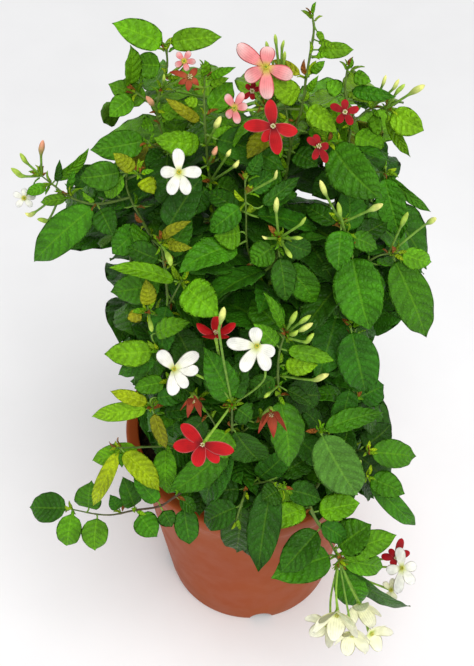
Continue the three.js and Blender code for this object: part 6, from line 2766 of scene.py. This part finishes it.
@dataclass
class Pot:
    """The pot: a lathe with a rolled rim band, a flat floor and drain notches at the foot."""

    sizes: PotSizes = POT
    around: int = 144
    arch_around: int = 48
    arch_height: float = 16
    rim_round: float = 4.5
    lip_inner_round: float = 1.8
    flare: tuple[tuple[float, float], ...] = (
        (-12, 0), (-5, 0.05), (1, 0.2), (7, 0.5), (13, 0.78), (20, 0.95),
    )
    hollow: float = 1.5
    hollow_inset: float = 16
    ring_inset: float = 13
    wall_rows: int = 9
    wall_from: float = 12
    wall_below_rim: float = 20
    sharp_from: float = math.radians(40)

    def profile(self) -> list[tuple[float, float]]:
        """The half section, from the middle of the underside round to the middle of the floor.

        Returns:
            Pairs of a radius and a height.
        """
        s = self.sizes
        found = [(0.0, self.hollow), (s.foot_radius - self.hollow_inset, self.hollow)]
        found.append((s.foot_radius - self.ring_inset, 0.0))
        found += self.arc(s.foot_radius - s.foot_bevel, s.foot_bevel, s.foot_bevel, -90, 0, 5)
        for height in np.linspace(self.wall_from, s.under_rim - self.wall_below_rim, self.wall_rows):
            found.append((s.wall_radius(height), float(height)))
        lip = s.rim_radius
        for over, share in self.flare:
            wall = s.wall_radius(s.under_rim + over)
            found.append((wall + (lip - wall) * share, s.under_rim + over))
        found += self.arc(lip - self.rim_round, s.height - self.rim_round, self.rim_round, 0, 90, 6)
        inner = s.wall_radius(s.height) - s.wall
        round_in = self.lip_inner_round
        found += self.arc(inner + round_in, s.height - round_in, round_in, 90, 180, 4)
        found += [(inner, s.under_rim + 4), (inner, s.under_rim)]
        found += [(s.foot_radius - s.wall, s.floor + 3), (s.foot_radius - s.wall - 3, s.floor)]
        found.append((0.0, s.floor))
        return found

    @staticmethod
    def arc(
        x: float, z: float, radius: float, start: float, end: float, steps: int
    ) -> list[tuple[float, float]]:
        """Points of a round corner, from one angle to another."""
        turns = [math.radians(start + (end - start) * step / steps) for step in range(steps + 1)]
        return [(x + radius * math.cos(turn), z + radius * math.sin(turn)) for turn in turns]

    def build(self) -> bpy.types.Object:
        """Makes the pot.

        Returns:
            The pot, with its notches cut.
        """
        profile = self.profile()
        points, faces = [], []
        rows: list[list[int]] = []
        for radius, height in profile:
            if radius == 0:
                rows.append([len(points)] * self.around)
                points.append((0.0, 0.0, height))
                continue
            rows.append([len(points) + index for index in range(self.around)])
            for index in range(self.around):
                turn = 2 * math.pi * index / self.around
                points.append((radius * math.cos(turn), radius * math.sin(turn), height))
        for low, high in zip(rows, rows[1:]):
            for index in range(self.around):
                nearby = (index + 1) % self.around
                face = [low[index], low[nearby], high[nearby], high[index]]
                faces.append(tuple(dict.fromkeys(face)))
        gather = MeshGather()
        gather.add(np.array(points), faces, WHITE, NO_PLACE)
        pot = gather.build("pot_shell", PotFinish().make())
        pot.data.set_sharp_from_angle(angle=self.sharp_from)
        self.cut_notches(pot)
        return pot

    def cut_notches(self, pot: bpy.types.Object) -> None:
        """Cuts the drain notches in the foot.

        Args:
            pot: the pot.
        """
        s = self.sizes
        bm = bmesh.new()
        for index in range(s.notch_count):
            turn = math.radians(s.notch_first_angle + 360 / s.notch_count * index)
            rod = {"segments": self.arch_around, "radius1": 1, "radius2": 1, "depth": 2}
            made = bmesh.ops.create_cone(bm, cap_ends=True, **rod)["verts"]
            lying = Matrix.Rotation(math.pi / 2, 3, "Y")
            bmesh.ops.rotate(bm, verts=made, cent=(0, 0, 0), matrix=lying)
            size = Vector((s.notch_reach, s.notch_width / 2, self.arch_height)) * MM
            bmesh.ops.scale(bm, verts=made, vec=size)
            bmesh.ops.rotate(bm, verts=made, cent=(0, 0, 0), matrix=Matrix.Rotation(turn, 3, "Z"))
            place = Vector((math.cos(turn), math.sin(turn), 0)) * (s.foot_radius * MM)
            bmesh.ops.translate(bm, verts=made, vec=place)
        mesh = bpy.data.meshes.new("notch_cutter")
        bm.to_mesh(mesh)
        bm.free()
        cutter = put("notch_cutter", mesh)
        cut = pot.modifiers.new("notches", "BOOLEAN")
        cut.object = cutter
        cut.solver = "EXACT"
        bpy.context.view_layer.objects.active = pot
        with bpy.context.temp_override(object=pot, active_object=pot, selected_objects=[pot]):
            bpy.ops.object.modifier_apply(modifier=cut.name)
        bpy.data.objects.remove(cutter)


@dataclass
class Soil:
    """The soil: an uneven round of compost, with crumbs on it."""

    around: int = 96
    rings: int = 34
    heave: float = 2.4
    crumbs: int = 420
    crumb: float = 2.6
    seed: int = 11
    wave_counts: tuple[float, ...] = (0.05, 0.083, 0.14, 0.21, 0.37)
    clearance: float = 0.6
    edge_rings: int = 3
    edge_drop: float = 1.5
    side_depth: float = 40
    crumb_path: tuple[float, ...] = (-1, -0.4, 0.5, 1)
    crumb_radii: tuple[float, ...] = (0.3, 0.8, 0.7, 0.25)
    crumb_sides: int = 6
    crumb_least: float = 0.35
    crumb_rise: float = 0.1
    crumb_flatness: tuple[float, ...] = (1, 1, 0.4)
    crumb_inset: float = 6
    heave_share: float = 0.6
    wave_turn: float = 2.4
    cross_wave: float = 1.3
    foot_inset: float = 3
    floor_gap: float = 0.4

    def height(self, x: Array, y: Array) -> Array:
        """The soil's height over its mean at places.

        Args:
            x: their first numbers.
            y: their second numbers.

        Returns:
            The heights.
        """
        found = np.zeros_like(x)
        for index, wave in enumerate(self.wave_counts):
            turn = self.wave_turn * index
            along = (x * math.cos(turn) + y * math.sin(turn)) * wave
            other = (x * math.sin(turn) - y * math.cos(turn)) * wave * self.cross_wave
            found += np.sin(along + index) * np.cos(other) / (1 + index)
        return found * self.heave * self.heave_share

    def build(self) -> bpy.types.Object:
        """Makes the soil.

        Returns:
            The soil, a closed body that stands on the pot's floor.
        """
        top = SOIL_TOP
        radius = POT.wall_radius(top) - POT.wall - self.clearance
        low_radius = POT.foot_radius - POT.wall - self.foot_inset - self.clearance
        low = POT.floor + self.floor_gap
        turns = np.linspace(0, 2 * math.pi, self.around, endpoint=False)
        points = [np.array([[0.0, 0.0, top + float(self.height(np.zeros(1), np.zeros(1))[0])]])]
        for ring in range(1, self.rings + 1):
            reach = radius * ring / self.rings
            x, y = reach * np.cos(turns), reach * np.sin(turns)
            fade = min(1.0, (self.rings - ring) / self.edge_rings)
            level = top + self.height(x, y) * fade - self.edge_drop * (ring / self.rings) ** 4
            points.append(np.stack([x, y, level], 1))
        side = top - self.side_depth
        side_radius = POT.wall_radius(side) - POT.wall - self.clearance
        for reach, height in ((side_radius, side), (low_radius, low)):
            level = np.full_like(turns, height)
            points.append(np.stack([reach * np.cos(turns), reach * np.sin(turns), level], 1))
        points.append(np.array([[0.0, 0.0, low]]))
        faces: list[tuple[int, ...]] = []
        rows = len(points) - 2
        for index in range(self.around):
            nearby = (index + 1) % self.around
            faces.append((0, 1 + index, 1 + nearby))
            for row in range(rows - 1):
                inner, outer = 1 + row * self.around, 1 + (row + 1) * self.around
                faces.append((inner + index, outer + index, outer + nearby, inner + nearby))
            last = 1 + (rows - 1) * self.around
            faces.append((last + nearby, last + index, last + self.around))
        gather = MeshGather()
        gather.add(np.concatenate(points), faces, WHITE, NO_PLACE)
        self.scatter(gather, top, radius - self.crumb_inset)
        return gather.build("soil_surface", SoilFinish().make())

    def scatter(self, gather: MeshGather, top: float, radius: float) -> None:
        """Adds the crumbs, half sunk in.

        Args:
            gather: what it goes into.
            top: the soil's mean height.
            radius: how far out they lie.
        """
        rng = np.random.default_rng(self.seed)
        for _ in range(self.crumbs):
            reach = radius * math.sqrt(rng.random())
            turn = 2 * math.pi * rng.random()
            x, y = reach * math.cos(turn), reach * math.sin(turn)
            size = self.crumb * (self.crumb_least + rng.random() ** 2)
            level = top + float(self.height(np.array([x]), np.array([y]))[0])
            centre = np.array([x, y, level + self.crumb_rise * size])
            way = unit(rng.normal(size=3) * self.crumb_flatness)
            path = np.array([centre + way * size * along for along in self.crumb_path])
            radii = [share * size for share in self.crumb_radii]
            tube, faces = sweep(path, radii, self.crumb_sides)
            gather.add(tube, faces, WHITE, NO_PLACE)


STEM_BROWN = linear(78, 56, 36)
STEM_GREEN = linear(90, 118, 38)
TWIG_GREEN = linear(108, 150, 42)
TUBE_GREEN = linear(150, 194, 56)
BUD_TIP = {
    "pale": linear(234, 236, 132),
    "green": linear(176, 206, 72),
    "pink": linear(226, 156, 122),
}
# Buds whose tips are pale or pink, by their shoots and numbers; the others are green
PALE_BUDS = {
    "shoot_white_flowers": [0], "shoot_right_top": [0, 1, 2], "shoot_right_middle": [0, 2, 4],
    "shoot_middle": [0, 2, 5], "shoot_crown_middle": [0, 2, 3], "shoot_centre_right": [2, 5],
    "shoot_left_top": [3],
}
PINK_BUDS = {"shoot_left_top": [0], "shoot_crown_middle": [1], "shoot_crown_left": [0]}


def graded(share: Array, first: Colour, last: Colour) -> Array:
    """Tones from one colour to another."""
    tone = np.outer(1 - share, first) + np.outer(share, last)
    return np.concatenate([tone, np.full((len(tone), 1), PLAIN_DRAW)], axis=1)


YOUNG_TONES = [LeafTone.LIME, LeafTone.BRIGHT, LeafTone.YELLOW, LeafTone.LIME, LeafTone.RUSSET]


@dataclass
class Sprigs:
    """A shoot's youngest leaves, at its twigs' ends and in its leaves' joints, and its bracts."""

    shoot: Shoot
    order: int
    golden: float = math.radians(137.5)
    tip_count: int = 5
    tip_length: float = 12
    joint_share: float = 0.4
    joint_length: float = 11
    bract_count: int = 3
    bract_length: float = 7
    width_share: float = 0.4
    bract_width_share: float = 0.3
    tip_least: float = 0.55
    tip_spread: float = 0.6
    tip_shrink: float = 0.09
    tip_step: float = 1.3
    tip_lean: float = 1.15
    tip_lean_step: float = 0.16
    joint_least: float = 0.6
    joint_spread: float = 0.7
    joint_lean: float = 0.75
    joint_up: float = 0.9
    joint_outward: float = 0.5
    joint_turn: float = 3
    bract_least: float = 0.7
    bract_spread: float = 0.7
    bract_lean: float = 0.9
    stalk_share: float = 0.12
    face_back: float = 0.3
    arch: float = 0.12
    quilt: float = 0.6

    def young(
        self, foot: Array, way: Array, open_angle: float, turn: float, length: float, slim: float
    ) -> Leaf:
        """One young leaf.

        Args:
            foot: where it stands.
            way: the way that its twig grows.
            open_angle: how far it leans off the twig.
            turn: the side of the twig that it leans to.
            length: its length.
            slim: its width as a share of its length.

        Returns:
            The leaf.
        """
        first = square_to(SLANTWARD if abs(way[2]) < 0.9 else RIGHTWARD, way)
        out = first * math.cos(turn) + cross(way, first) * math.sin(turn)
        axis = unit(way * math.cos(open_angle) + out * math.sin(open_angle))
        base = foot + axis * self.stalk_share * length
        face = way - out * self.face_back
        tip = base + axis * length
        return Leaf(foot, base, tip, face, 0.0, length * slim, self.arch, True, True)

    def tips(self) -> Iterable[Leaf]:
        """The young leaves at the ends of the stems and twigs.

        Returns:
            The leaves, one by one.
        """
        for index, line in enumerate(self.shoot.lines):
            end, way = line.points[-1], unit(line.points[-1] - line.points[-2])
            for step in range(self.tip_count):
                drawn = draw(self.order * 40 + index * 7 + step, 61)
                length = self.tip_length * (self.tip_least + self.tip_spread * drawn)
                length *= 1 - self.tip_shrink * step
                foot = end - way * (self.tip_count - 1 - step) * self.tip_step
                lean = self.tip_lean - self.tip_lean_step * step
                yield self.young(foot, way, lean, step * self.golden, length, self.width_share)

    def joints(self) -> Iterable[Leaf]:
        """The pairs of young leaves in some of the leaves' joints.

        Returns:
            The leaves, one by one.
        """
        for index, leaf in enumerate(self.shoot.leaves):
            number = self.order * 90 + index
            if draw(number, 63) > self.joint_share:
                continue
            way = unit(leaf.base - leaf.joint) + SKYWARD * self.joint_up
            way = unit(way + self.joint_outward * unit(leaf.face))
            for side in (0, 1):
                drawn = draw(number + side, 65)
                length = self.joint_length * (self.joint_least + self.joint_spread * drawn)
                turn = math.pi * side + self.joint_turn * draw(number, 67)
                yield self.young(leaf.joint, way, self.joint_lean, turn, length, self.width_share)

    def bracts(self) -> Iterable[Leaf]:
        """The bracts at the feet of the buds and flower tubes.

        Returns:
            The bracts, one by one.
        """
        feet = [(bud.points[0], bud.points[1]) for bud in self.shoot.buds]
        feet += [(flower.tube[0], flower.tube[1]) for flower in self.shoot.flowers]
        for index, (foot, beyond) in enumerate(feet):
            way = unit(beyond - foot)
            for step in range(self.bract_count):
                drawn = draw(self.order * 60 + index * 5 + step, 69)
                turn = index + step * self.golden
                length = self.bract_length * (self.bract_least + self.bract_spread * drawn)
                root, slim = foot + way * step, self.bract_width_share
                yield self.young(root, way, self.bract_lean, turn, length, slim)

    def grow(self, gather: MeshGather) -> None:
        """Adds them all.

        Args:
            gather: what it goes into.
        """
        for index, leaf in enumerate([*self.tips(), *self.joints(), *self.bracts()]):
            number = self.order * 200 + index
            tone = YOUNG_TONES[int(draw(number, 71) * len(YOUNG_TONES)) % len(YOUNG_TONES)].value
            lay_blade(gather, leaf, vary(tone, number), self.quilt, number)


@dataclass(frozen=True)
class BudForm:
    """A closed bud: in millimetres, but for the shares of its swollen end."""

    step: float = 1.6
    sides: int = 10
    foot: float = 0.6
    swell: float = 17
    swell_share: float = 0.75
    broadest: float = 0.5
    belly: float = 1.08
    taper: float = 1.15
    point: float = 0.22
    colour_gain: float = 1.4
    colour_from: float = 0.1


@dataclass(frozen=True)
class TubeForm:
    """A flower's tube and calyx, in millimetres; a sepal's knots are aside of and below its seat."""

    step: float = 2.5
    sides: int = 10
    foot: float = 0.6
    below_mouth: tuple[float, ...] = (0, 2.5, 7, 14, 60)
    radii: tuple[float, ...] = (2.3, 1.9, 1.35, 1.15, 0.9)
    green_over: float = 60
    spent_brown: float = 0.3
    sepal: tuple[tuple[float, float], ...] = ((1.4, 2.6), (2.4, 0.8), (4.0, 0.4))
    sepal_step: float = 1.2
    sepal_radii: tuple[float, float] = (0.8, 0.15)
    sepal_sides: int = 5


BUD_FORM = BudForm()
TUBE_FORM = TubeForm()


@dataclass
class ShootDress:
    """A shoot's fine stems, leaves, buds and flower tubes."""

    shoot: Shoot
    step: float = 4.0
    foot_share: float = 0.86
    tip_share: float = 0.5
    twig_share: float = 0.62
    node_swell: float = 0.3
    node_reach: float = 3.0
    green_from: float = 0.23
    green_over: float = 0.45
    cane_sides: int = 10
    twig_sides: int = 8

    def stem_paths(self) -> list[tuple[Array, Array]]:
        """The rounded centre lines of the stems, with their radii.

        Returns:
            The line and the radii of each stem.
        """
        found = []
        for index, line in enumerate(self.shoot.lines):
            path = smooth_path(line.points, self.step)
            slim = (self.foot_share, self.tip_share) if index == 0 else (self.twig_share, self.tip_share)
            radii = np.linspace(line.radii[0] * slim[0], line.radii[-1] * slim[1], len(path))
            swell = np.zeros(len(path))
            for leaf in self.shoot.leaves:
                gap = np.linalg.norm(path - leaf.joint, axis=1)
                swell = np.maximum(swell, np.exp(-((gap / self.node_reach) ** 2)))
            radii = radii * (1 + self.node_swell * swell)
            found.append((path, radii))
        return found

    def build_stems(self, material: bpy.types.Material) -> bpy.types.Object:
        """Makes the stems, twigs and leaf stalks.

        Args:
            material: the finish.

        Returns:
            The stems.
        """
        gather = MeshGather()
        paths = self.stem_paths()
        for index, (path, radii) in enumerate(paths):
            sides = self.cane_sides if index == 0 else self.twig_sides
            points, faces = sweep(path, radii, sides)
            share = np.repeat(np.linspace(0, 1, len(path)), sides)
            share = np.clip((share - self.green_from) / self.green_over, 0, 1)
            if index > 0:
                share = np.ones_like(share)
            gather.add(points, faces, graded(share, STEM_BROWN, STEM_GREEN), NO_PLACE)
        centre_points = np.concatenate([path for path, _ in paths])
        for leaf in self.shoot.leaves:
            gap = np.linalg.norm(centre_points - leaf.joint, axis=1)
            start = centre_points[int(np.argmin(gap))]
            lay_stalk(gather, leaf, start, TWIG_GREEN)
        return gather.build(f"{self.shoot.name}_stems", material)

    def build_leaves(self, material: bpy.types.Material, seed: int) -> bpy.types.Object:
        """Makes the blades.

        Args:
            material: the finish.
            seed: the first number of its draws.

        Returns:
            The blades.
        """
        gather = MeshGather()
        for index, leaf in enumerate(self.shoot.leaves):
            tone = vary(leaf_tone(leaf), seed + index)
            lay_blade(gather, leaf, tone, 1.0, seed + index)
        Sprigs(self.shoot, seed // SEED_STEP).grow(gather)
        return gather.build(f"{self.shoot.name}_leaves", material)

    def build_buds(self, material: bpy.types.Material) -> Optional[bpy.types.Object]:
        """Makes the closed buds and the tubes of the open flowers.

        Args:
            material: the finish.

        Returns:
            The buds and tubes, or None where there are none.
        """
        if not self.shoot.buds and not self.shoot.flowers:
            return None
        gather = MeshGather()
        for bud in self.shoot.buds:
            self.lay_bud(gather, bud)
        for flower in self.shoot.flowers:
            self.lay_tube(gather, flower)
        return gather.build(f"{self.shoot.name}_buds", material)

    def lay_bud(self, gather: MeshGather, bud: Bud) -> None:
        """Adds a bud: a thin stalk that swells and comes to a point.

        Args:
            gather: what it goes into.
            bud: the bud.
        """
        name = self.shoot.name
        kind = "pale" if bud.number in PALE_BUDS.get(name, []) else "green"
        kind = "pink" if bud.number in PINK_BUDS.get(name, []) else kind
        form = BUD_FORM
        path = smooth_path(bud.points, form.step)
        ends = lengths_along(path)
        swell = min(float(ends[-1]) * form.swell_share, form.swell * bud.belly / RULES.bud_belly)
        share = np.clip((ends - (ends[-1] - swell)) / swell, 0, 1)
        rise = np.clip(share / form.broadest, 0, 1)
        fall = (share - form.broadest) / (1 - form.broadest)
        fall = np.sqrt(np.clip(1 - fall**2, 0, 1)) ** form.taper
        most = bud.belly * form.belly
        grown = 1 + (most - 1) * rise**2 * (3 - 2 * rise)
        belly = np.where(share < form.broadest, grown, most * fall)
        radii = np.maximum(belly, form.point)
        radii[0] = form.foot
        points, faces = sweep(path, radii, form.sides)
        mix = np.repeat(np.clip(share * form.colour_gain - form.colour_from, 0, 1), form.sides)
        gather.add(points, faces, graded(mix, TWIG_GREEN, BUD_TIP[kind]), NO_PLACE)

    def lay_tube(self, gather: MeshGather, flower: Flower) -> None:
        """Adds a flower's long tube, with its calyx under the petals.

        Args:
            gather: what it goes into.
            flower: the flower.
        """
        form = TUBE_FORM
        path = smooth_path(flower.tube, form.step)
        ends = lengths_along(path)
        left = ends[-1] - ends
        radii = np.interp(left, form.below_mouth, form.radii)
        radii[0] = form.foot
        points, faces = sweep(path, radii, form.sides)
        mix = np.repeat(np.clip(1 - left / form.green_over, 0, 1), form.sides)
        tones = graded(mix, TWIG_GREEN, TUBE_GREEN)
        if flower.colour == "spent":
            brown = np.outer(np.ones(len(tones)), STEM_BROWN)
            tones[:, :3] = tones[:, :3] * (1 - form.spent_brown) + brown * form.spent_brown
        gather.add(points, faces, tones, NO_PLACE)
        seat = flower.tube[-1]
        for index in range(RULES.petals):
            angle = 2 * math.pi * (index + 0.5) / RULES.petals
            out = flower.outward(angle)
            knots = [seat + out * aside - flower.face * below for aside, below in form.sepal]
            sepal = smooth_path(knots, form.sepal_step)
            radii = np.linspace(*form.sepal_radii, len(sepal))
            body, sides = sweep(sepal, radii, form.sepal_sides)
            gather.add(body, sides, [*TUBE_GREEN, PLAIN_DRAW], NO_PLACE)


# A petal's outline: how it widens, where it narrows again, how blunt it ends, and how slim it is
PETAL_OUTLINES = {
    "white": (0.62, 3.2, 0.62, 0.68),
    "red": (0.62, 2.2, 0.7, 0.63),
    "crimson": (0.6, 2.6, 0.6, 0.66),
    "spent": (0.55, 1.6, 0.9, 0.6),
    "hanging": (0.5, 3.2, 0.6, 0.6),
}
PETAL_COLUMNS = (-1, -0.82, -0.55, -0.28, 0, 0.28, 0.55, 0.82, 1)
PETAL_GRID = BladeGrid(4, 4, PETAL_COLUMNS).cells()


@dataclass(frozen=True)
class PetalForm:
    """How a petal is bent: in millimetres, or in shares of its half width or its reach."""

    thick: float = 0.35
    mouth_share: float = 0.4
    root_half: float = 0.9
    root_share: float = 0.18
    arch: float = 0.6
    arch_least: float = 0.4
    curl: float = 0.9
    uncurl: float = 0.25
    curl_share: float = 0.34
    spent_curl: float = 3.0
    nod: float = 0.8
    nod_from: float = 0.7
    nod_over: float = 0.3
    ripple: float = 0.05
    ripple_turns: float = 9
    ripple_spread: float = 6
    corrugation: float = 0.125
    corrugation_turns: float = 5
    twist: float = 0.7
    bend: float = 0.12
    layer: float = 0.22
    broad_at: float = 0.62
    widest_turn: float = 2.4
    overlap: float = 1.05


PETAL_FORM = PetalForm()
PETAL_SALTS = range(40, 47)
# The stamens' and the style's colours in pale flowers and in red ones
THROAT_TONES = (linear(222, 226, 150), linear(206, 190, 60))
RED_THROAT_TONES = (linear(214, 150, 120), linear(216, 204, 160))
RED_FLOWERS = ("red", "crimson", "spent")


@dataclass(frozen=True)
class StamenForm:
    """The stamens and the style in a flower's throat, in millimetres."""

    foot_out: float = 0.7
    sunk: float = 0.4
    top_out: float = 1.1
    top_spread: float = 0.5
    stalk_radii: tuple[float, ...] = (0.2, 0.18, 0.16)
    stalk_sides: int = 5
    head_reaches: tuple[float, ...] = (-0.6, -0.3, 0.3, 0.6)
    head_radii: tuple[float, ...] = (0.14, 0.42, 0.42, 0.14)
    head_sides: int = 6
    head_rise: float = 0.2
    style_aside: float = 0.8
    style_radii: tuple[float, ...] = (0.24, 0.2, 0.24)
    mouth_levels: tuple[float, ...] = (-0.5, 0.25)
    mouth_flare: float = 0.3
    mouth_narrow: float = 0.8
    mouth_sides: int = 12


STAMEN_FORM = StamenForm()


@dataclass
class Corolla:
    """An open flower: five petals on the mouth of its tube, with its stamens."""

    flower: Flower
    number: int
    mouth: float = 1.5
    width_share: float = 0.58
    anthers: int = 10
    anther_heights: tuple[float, float] = (1.3, 2.6)
    style: float = 4.2

    def petal_gaps(self) -> list[tuple[Array, float, float, float]]:
        """Each petal's flat direction, its reach, its drop and half its width.

        Returns:
            The four for each petal.
        """
        flower = self.flower
        found = []
        for tip in flower.tips:
            reach = tip - flower.centre
            bearing = math.atan2(float(reach @ flower.up), float(reach @ flower.right))
            flat = flower.outward(bearing)
            found.append((bearing, flat, float(reach @ flat), float(reach @ flower.face), tip))
        found.sort(key=lambda row: row[0])
        size = sum(float(np.linalg.norm(row[4] - flower.centre)) for row in found) / len(found)
        form = PETAL_FORM
        petals = []
        for index, (bearing, flat, out, drop, _) in enumerate(found):
            before = (bearing - found[index - 1][0]) % (2 * math.pi)
            after = (found[(index + 1) % len(found)][0] - bearing) % (2 * math.pi)
            most = out * form.broad_at * math.tan(min(before + after, form.widest_turn) / 4)
            petals.append((flat, out, drop, min(size * self.width_share / 2, most * form.overlap)))
        return petals

    def build_petals(self, material: bpy.types.Material) -> bpy.types.Object:
        """Makes the petals, joined round the mouth of the tube.

        Args:
            material: the finish.

        Returns:
            The petals.
        """
        gather = MeshGather()
        flower, form = self.flower, PETAL_FORM
        share, place, level, faces = PETAL_GRID
        kind = "hanging" if "hanging" in flower.name else flower.colour
        rise, fall, blunt, slim = PETAL_OUTLINES.get(kind, PETAL_OUTLINES["white"])
        curl_gain = form.spent_curl if flower.colour == "spent" else 1.0
        start = self.mouth * form.mouth_share
        middle = np.sin(math.pi * share)
        for index, (flat, out, drop, half) in enumerate(self.petal_gaps()):
            drawn = [draw(self.number * 7 + index, salt) for salt in PETAL_SALTS]
            side = cross(flower.face, flat)
            width = share**rise * np.maximum(1 - share**fall, 0) ** blunt / slim * half
            width += form.root_half * np.clip(1 - share / form.root_share, 0, 1) * (share > 0)
            along = start + share * (out - start)
            lift = drop * share**2 + form.arch * middle * (form.arch_least + drawn[0])
            curl = (form.curl * drawn[1] - form.uncurl) * curl_gain
            lift = lift - curl * width * form.curl_share * np.abs(place) ** 2
            nod = np.clip((share - form.nod_from) / form.nod_over, 0, 1)
            lift -= form.nod * drawn[2] * nod**2
            ripple = np.sin(form.ripple_turns * share + form.ripple_spread * drawn[3])
            ripple = form.ripple * width * ripple * np.abs(place) ** 2
            lift += ripple + form.corrugation * np.cos(place * form.corrugation_turns) * middle
            turn = (drawn[4] - 0.5) * form.twist * share
            layer = form.layer * (index % 2) * np.clip(1 - share, 0, 1)
            lateral = place * width
            sideways = lateral * np.cos(turn) + (drawn[5] - 0.5) * form.bend * out * middle * share
            upward = lift + lateral * np.sin(turn) + layer
            upward -= np.where(level < 0, form.thick * np.clip(1.15 - share, 0.3, 1), 0)
            points = (
                flower.centre
                + np.outer(along, flat)
                + np.outer(sideways, side)
                + np.outer(upward, flower.face)
            )
            marks = np.stack([share, place, level], axis=1)
            gather.add(points, faces, [1, 1, 1, drawn[6]], marks)
        return gather.build(f"{flower.name}_petals", material)

    def build_stamens(self, material: bpy.types.Material) -> bpy.types.Object:
        """Makes the stamens and the style in the throat.

        Args:
            material: the finish.

        Returns:
            The stamens and the style.
        """
        gather = MeshGather()
        flower = self.flower
        form = STAMEN_FORM
        pale, yellow = RED_THROAT_TONES if flower.colour in RED_FLOWERS else THROAT_TONES
        for index in range(self.anthers):
            angle = 2 * math.pi * (index + 0.5) / self.anthers
            out = flower.outward(angle)
            tall = self.anther_heights[index % 2]
            foot = flower.centre + out * form.foot_out - flower.face * form.sunk
            aside = form.top_out + form.top_spread * draw(index, self.number)
            top = flower.centre + out * aside + flower.face * tall
            path = np.array([foot, (foot + top) / 2, top])
            stalk, sides = sweep(path, form.stalk_radii, form.stalk_sides)
            gather.add(stalk, sides, [*pale, PLAIN_DRAW], NO_PLACE)
            path = np.array([top + out * reach for reach in form.head_reaches])
            head, sides = sweep(path + flower.face * form.head_rise, form.head_radii, form.head_sides)
            gather.add(head, sides, [*yellow, PLAIN_DRAW], NO_PLACE)
        foot = flower.centre - flower.face * form.sunk
        tip = flower.centre + flower.face * self.style + flower.right * form.style_aside
        path = np.array([foot, (foot + tip) / 2, tip])
        style, sides = sweep(path, form.style_radii, form.head_sides)
        gather.add(style, sides, [*TUBE_GREEN, PLAIN_DRAW], NO_PLACE)
        path = np.array([flower.centre + flower.face * level for level in form.mouth_levels])
        radii = [self.mouth + form.mouth_flare, self.mouth * form.mouth_narrow]
        mouth, sides = sweep(path, radii, form.mouth_sides)
        gather.add(mouth, sides, [*TUBE_GREEN, PLAIN_DRAW], NO_PLACE)
        return gather.build(f"{flower.name}_stamens", material)


@dataclass
class Studio:
    """The camera at the photographed view, a pale floor and soft light."""

    sensor: float = 36.0
    farthest: float = 30
    floor_reach: float = 8.0
    sky: Colour = (1.0, 1.0, 1.0)
    sky_strength: float = 0.57
    sun_energy: float = 2.15
    sun_spread: float = math.radians(50)
    sun_from: tuple[float, float, float] = (0.3, -0.7, 1.25)

    def place_camera(self) -> None:
        """Puts the camera at the view's eye."""
        camera = bpy.data.cameras.new("camera")
        camera.sensor_width = self.sensor
        camera.lens = VIEW.focal / VIEW.height * self.sensor
        camera.clip_end = self.farthest
        eye = put("camera", camera)
        eye.location = Vector(VIEW.eye) * MM
        eye.rotation_euler = (math.pi / 2 - VIEW.slope, 0, 0)
        bpy.context.scene.camera = eye

    def lay_floor(self) -> None:
        """Lays the floor."""
        mesh = bpy.data.meshes.new("floor")
        reach = self.floor_reach
        corners = [(-reach, -reach, 0), (reach, -reach, 0), (reach, reach, 0), (-reach, reach, 0)]
        mesh.from_pydata(corners, [], [(0, 1, 2, 3)])
        mesh.materials.append(FloorFinish().make())
        floor = put("floor", mesh)
        floor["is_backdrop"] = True

    def light(self) -> None:
        """Lights the scene with a soft sun and a pale sky."""
        world = bpy.data.worlds.new("sky")
        bpy.context.scene.world = world
        world.use_nodes = True
        sky = world.node_tree.nodes["Background"]
        sky.inputs["Color"].default_value = (*self.sky, 1)
        sky.inputs["Strength"].default_value = self.sky_strength
        lamp = bpy.data.lights.new("sun", "SUN")
        lamp.energy = self.sun_energy
        lamp.angle = self.sun_spread
        sun = put("sun", lamp)
        sun.rotation_euler = Vector(self.sun_from).to_track_quat("Z", "Y").to_euler()

    def build(self) -> None:
        """Sets up the whole studio."""
        self.place_camera()
        self.lay_floor()
        self.light()
        bpy.context.scene.view_settings.view_transform = "Standard"


def keep(piece: bpy.types.Object, node: str) -> None:
    """Puts a finished piece on the part: its body and the solid that it stands for.

    Args:
        piece: the piece.
        node: the solid's name.
    """
    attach(piece, BODY)
    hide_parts(node)
    LOG.info("%s: %d faces", piece.name, len(piece.data.polygons))


# The shoots whose canes are thin and brown for most of their length
WOODY_SHOOTS = ("shoot_trailing",)
WOODY = {"foot_share": 0.5, "tip_share": 0.42, "green_from": 0.7, "green_over": 0.3}


def main() -> list[list[list[float]]]:
    """Builds every piece in order.

    Returns:
        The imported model's box, before anything was added.
    """
    logging.basicConfig(level=logging.INFO, format="%(message)s")
    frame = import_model()
    solid_box = [list(corner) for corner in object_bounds()]
    Studio().build()
    layout = Layout(frame["nodes"])
    low, high = (np.array(corner) / MM for corner in solid_box)
    Thicket(layout, low, high).grow()
    keep(Pot().build(), "pot")
    keep(Soil().build(), "soil")
    leaf, stem = LeafFinish().make(), StemFinish().make()
    for index, shoot in enumerate(layout.shoots.values()):
        dress = ShootDress(shoot, **(WOODY if shoot.name in WOODY_SHOOTS else {}))
        keep(dress.build_stems(stem), shoot.name)
        keep(dress.build_leaves(leaf, SEED_STEP * index), shoot.name)
        buds = dress.build_buds(stem)
        if buds is not None:
            keep(buds, shoot.name)
    petals = {name: PetalFinish(name, colours).make() for name, colours in PETALS.items()}
    for number, flower in enumerate(layout.flowers.values()):
        corolla = Corolla(flower, number)
        colours = "cream" if "hanging" in flower.name else flower.colour
        keep(corolla.build_petals(petals[colours]), flower.name)
        keep(corolla.build_stamens(stem), flower.name)
    return solid_box


if __name__ == "__main__":
    cad_box = main()
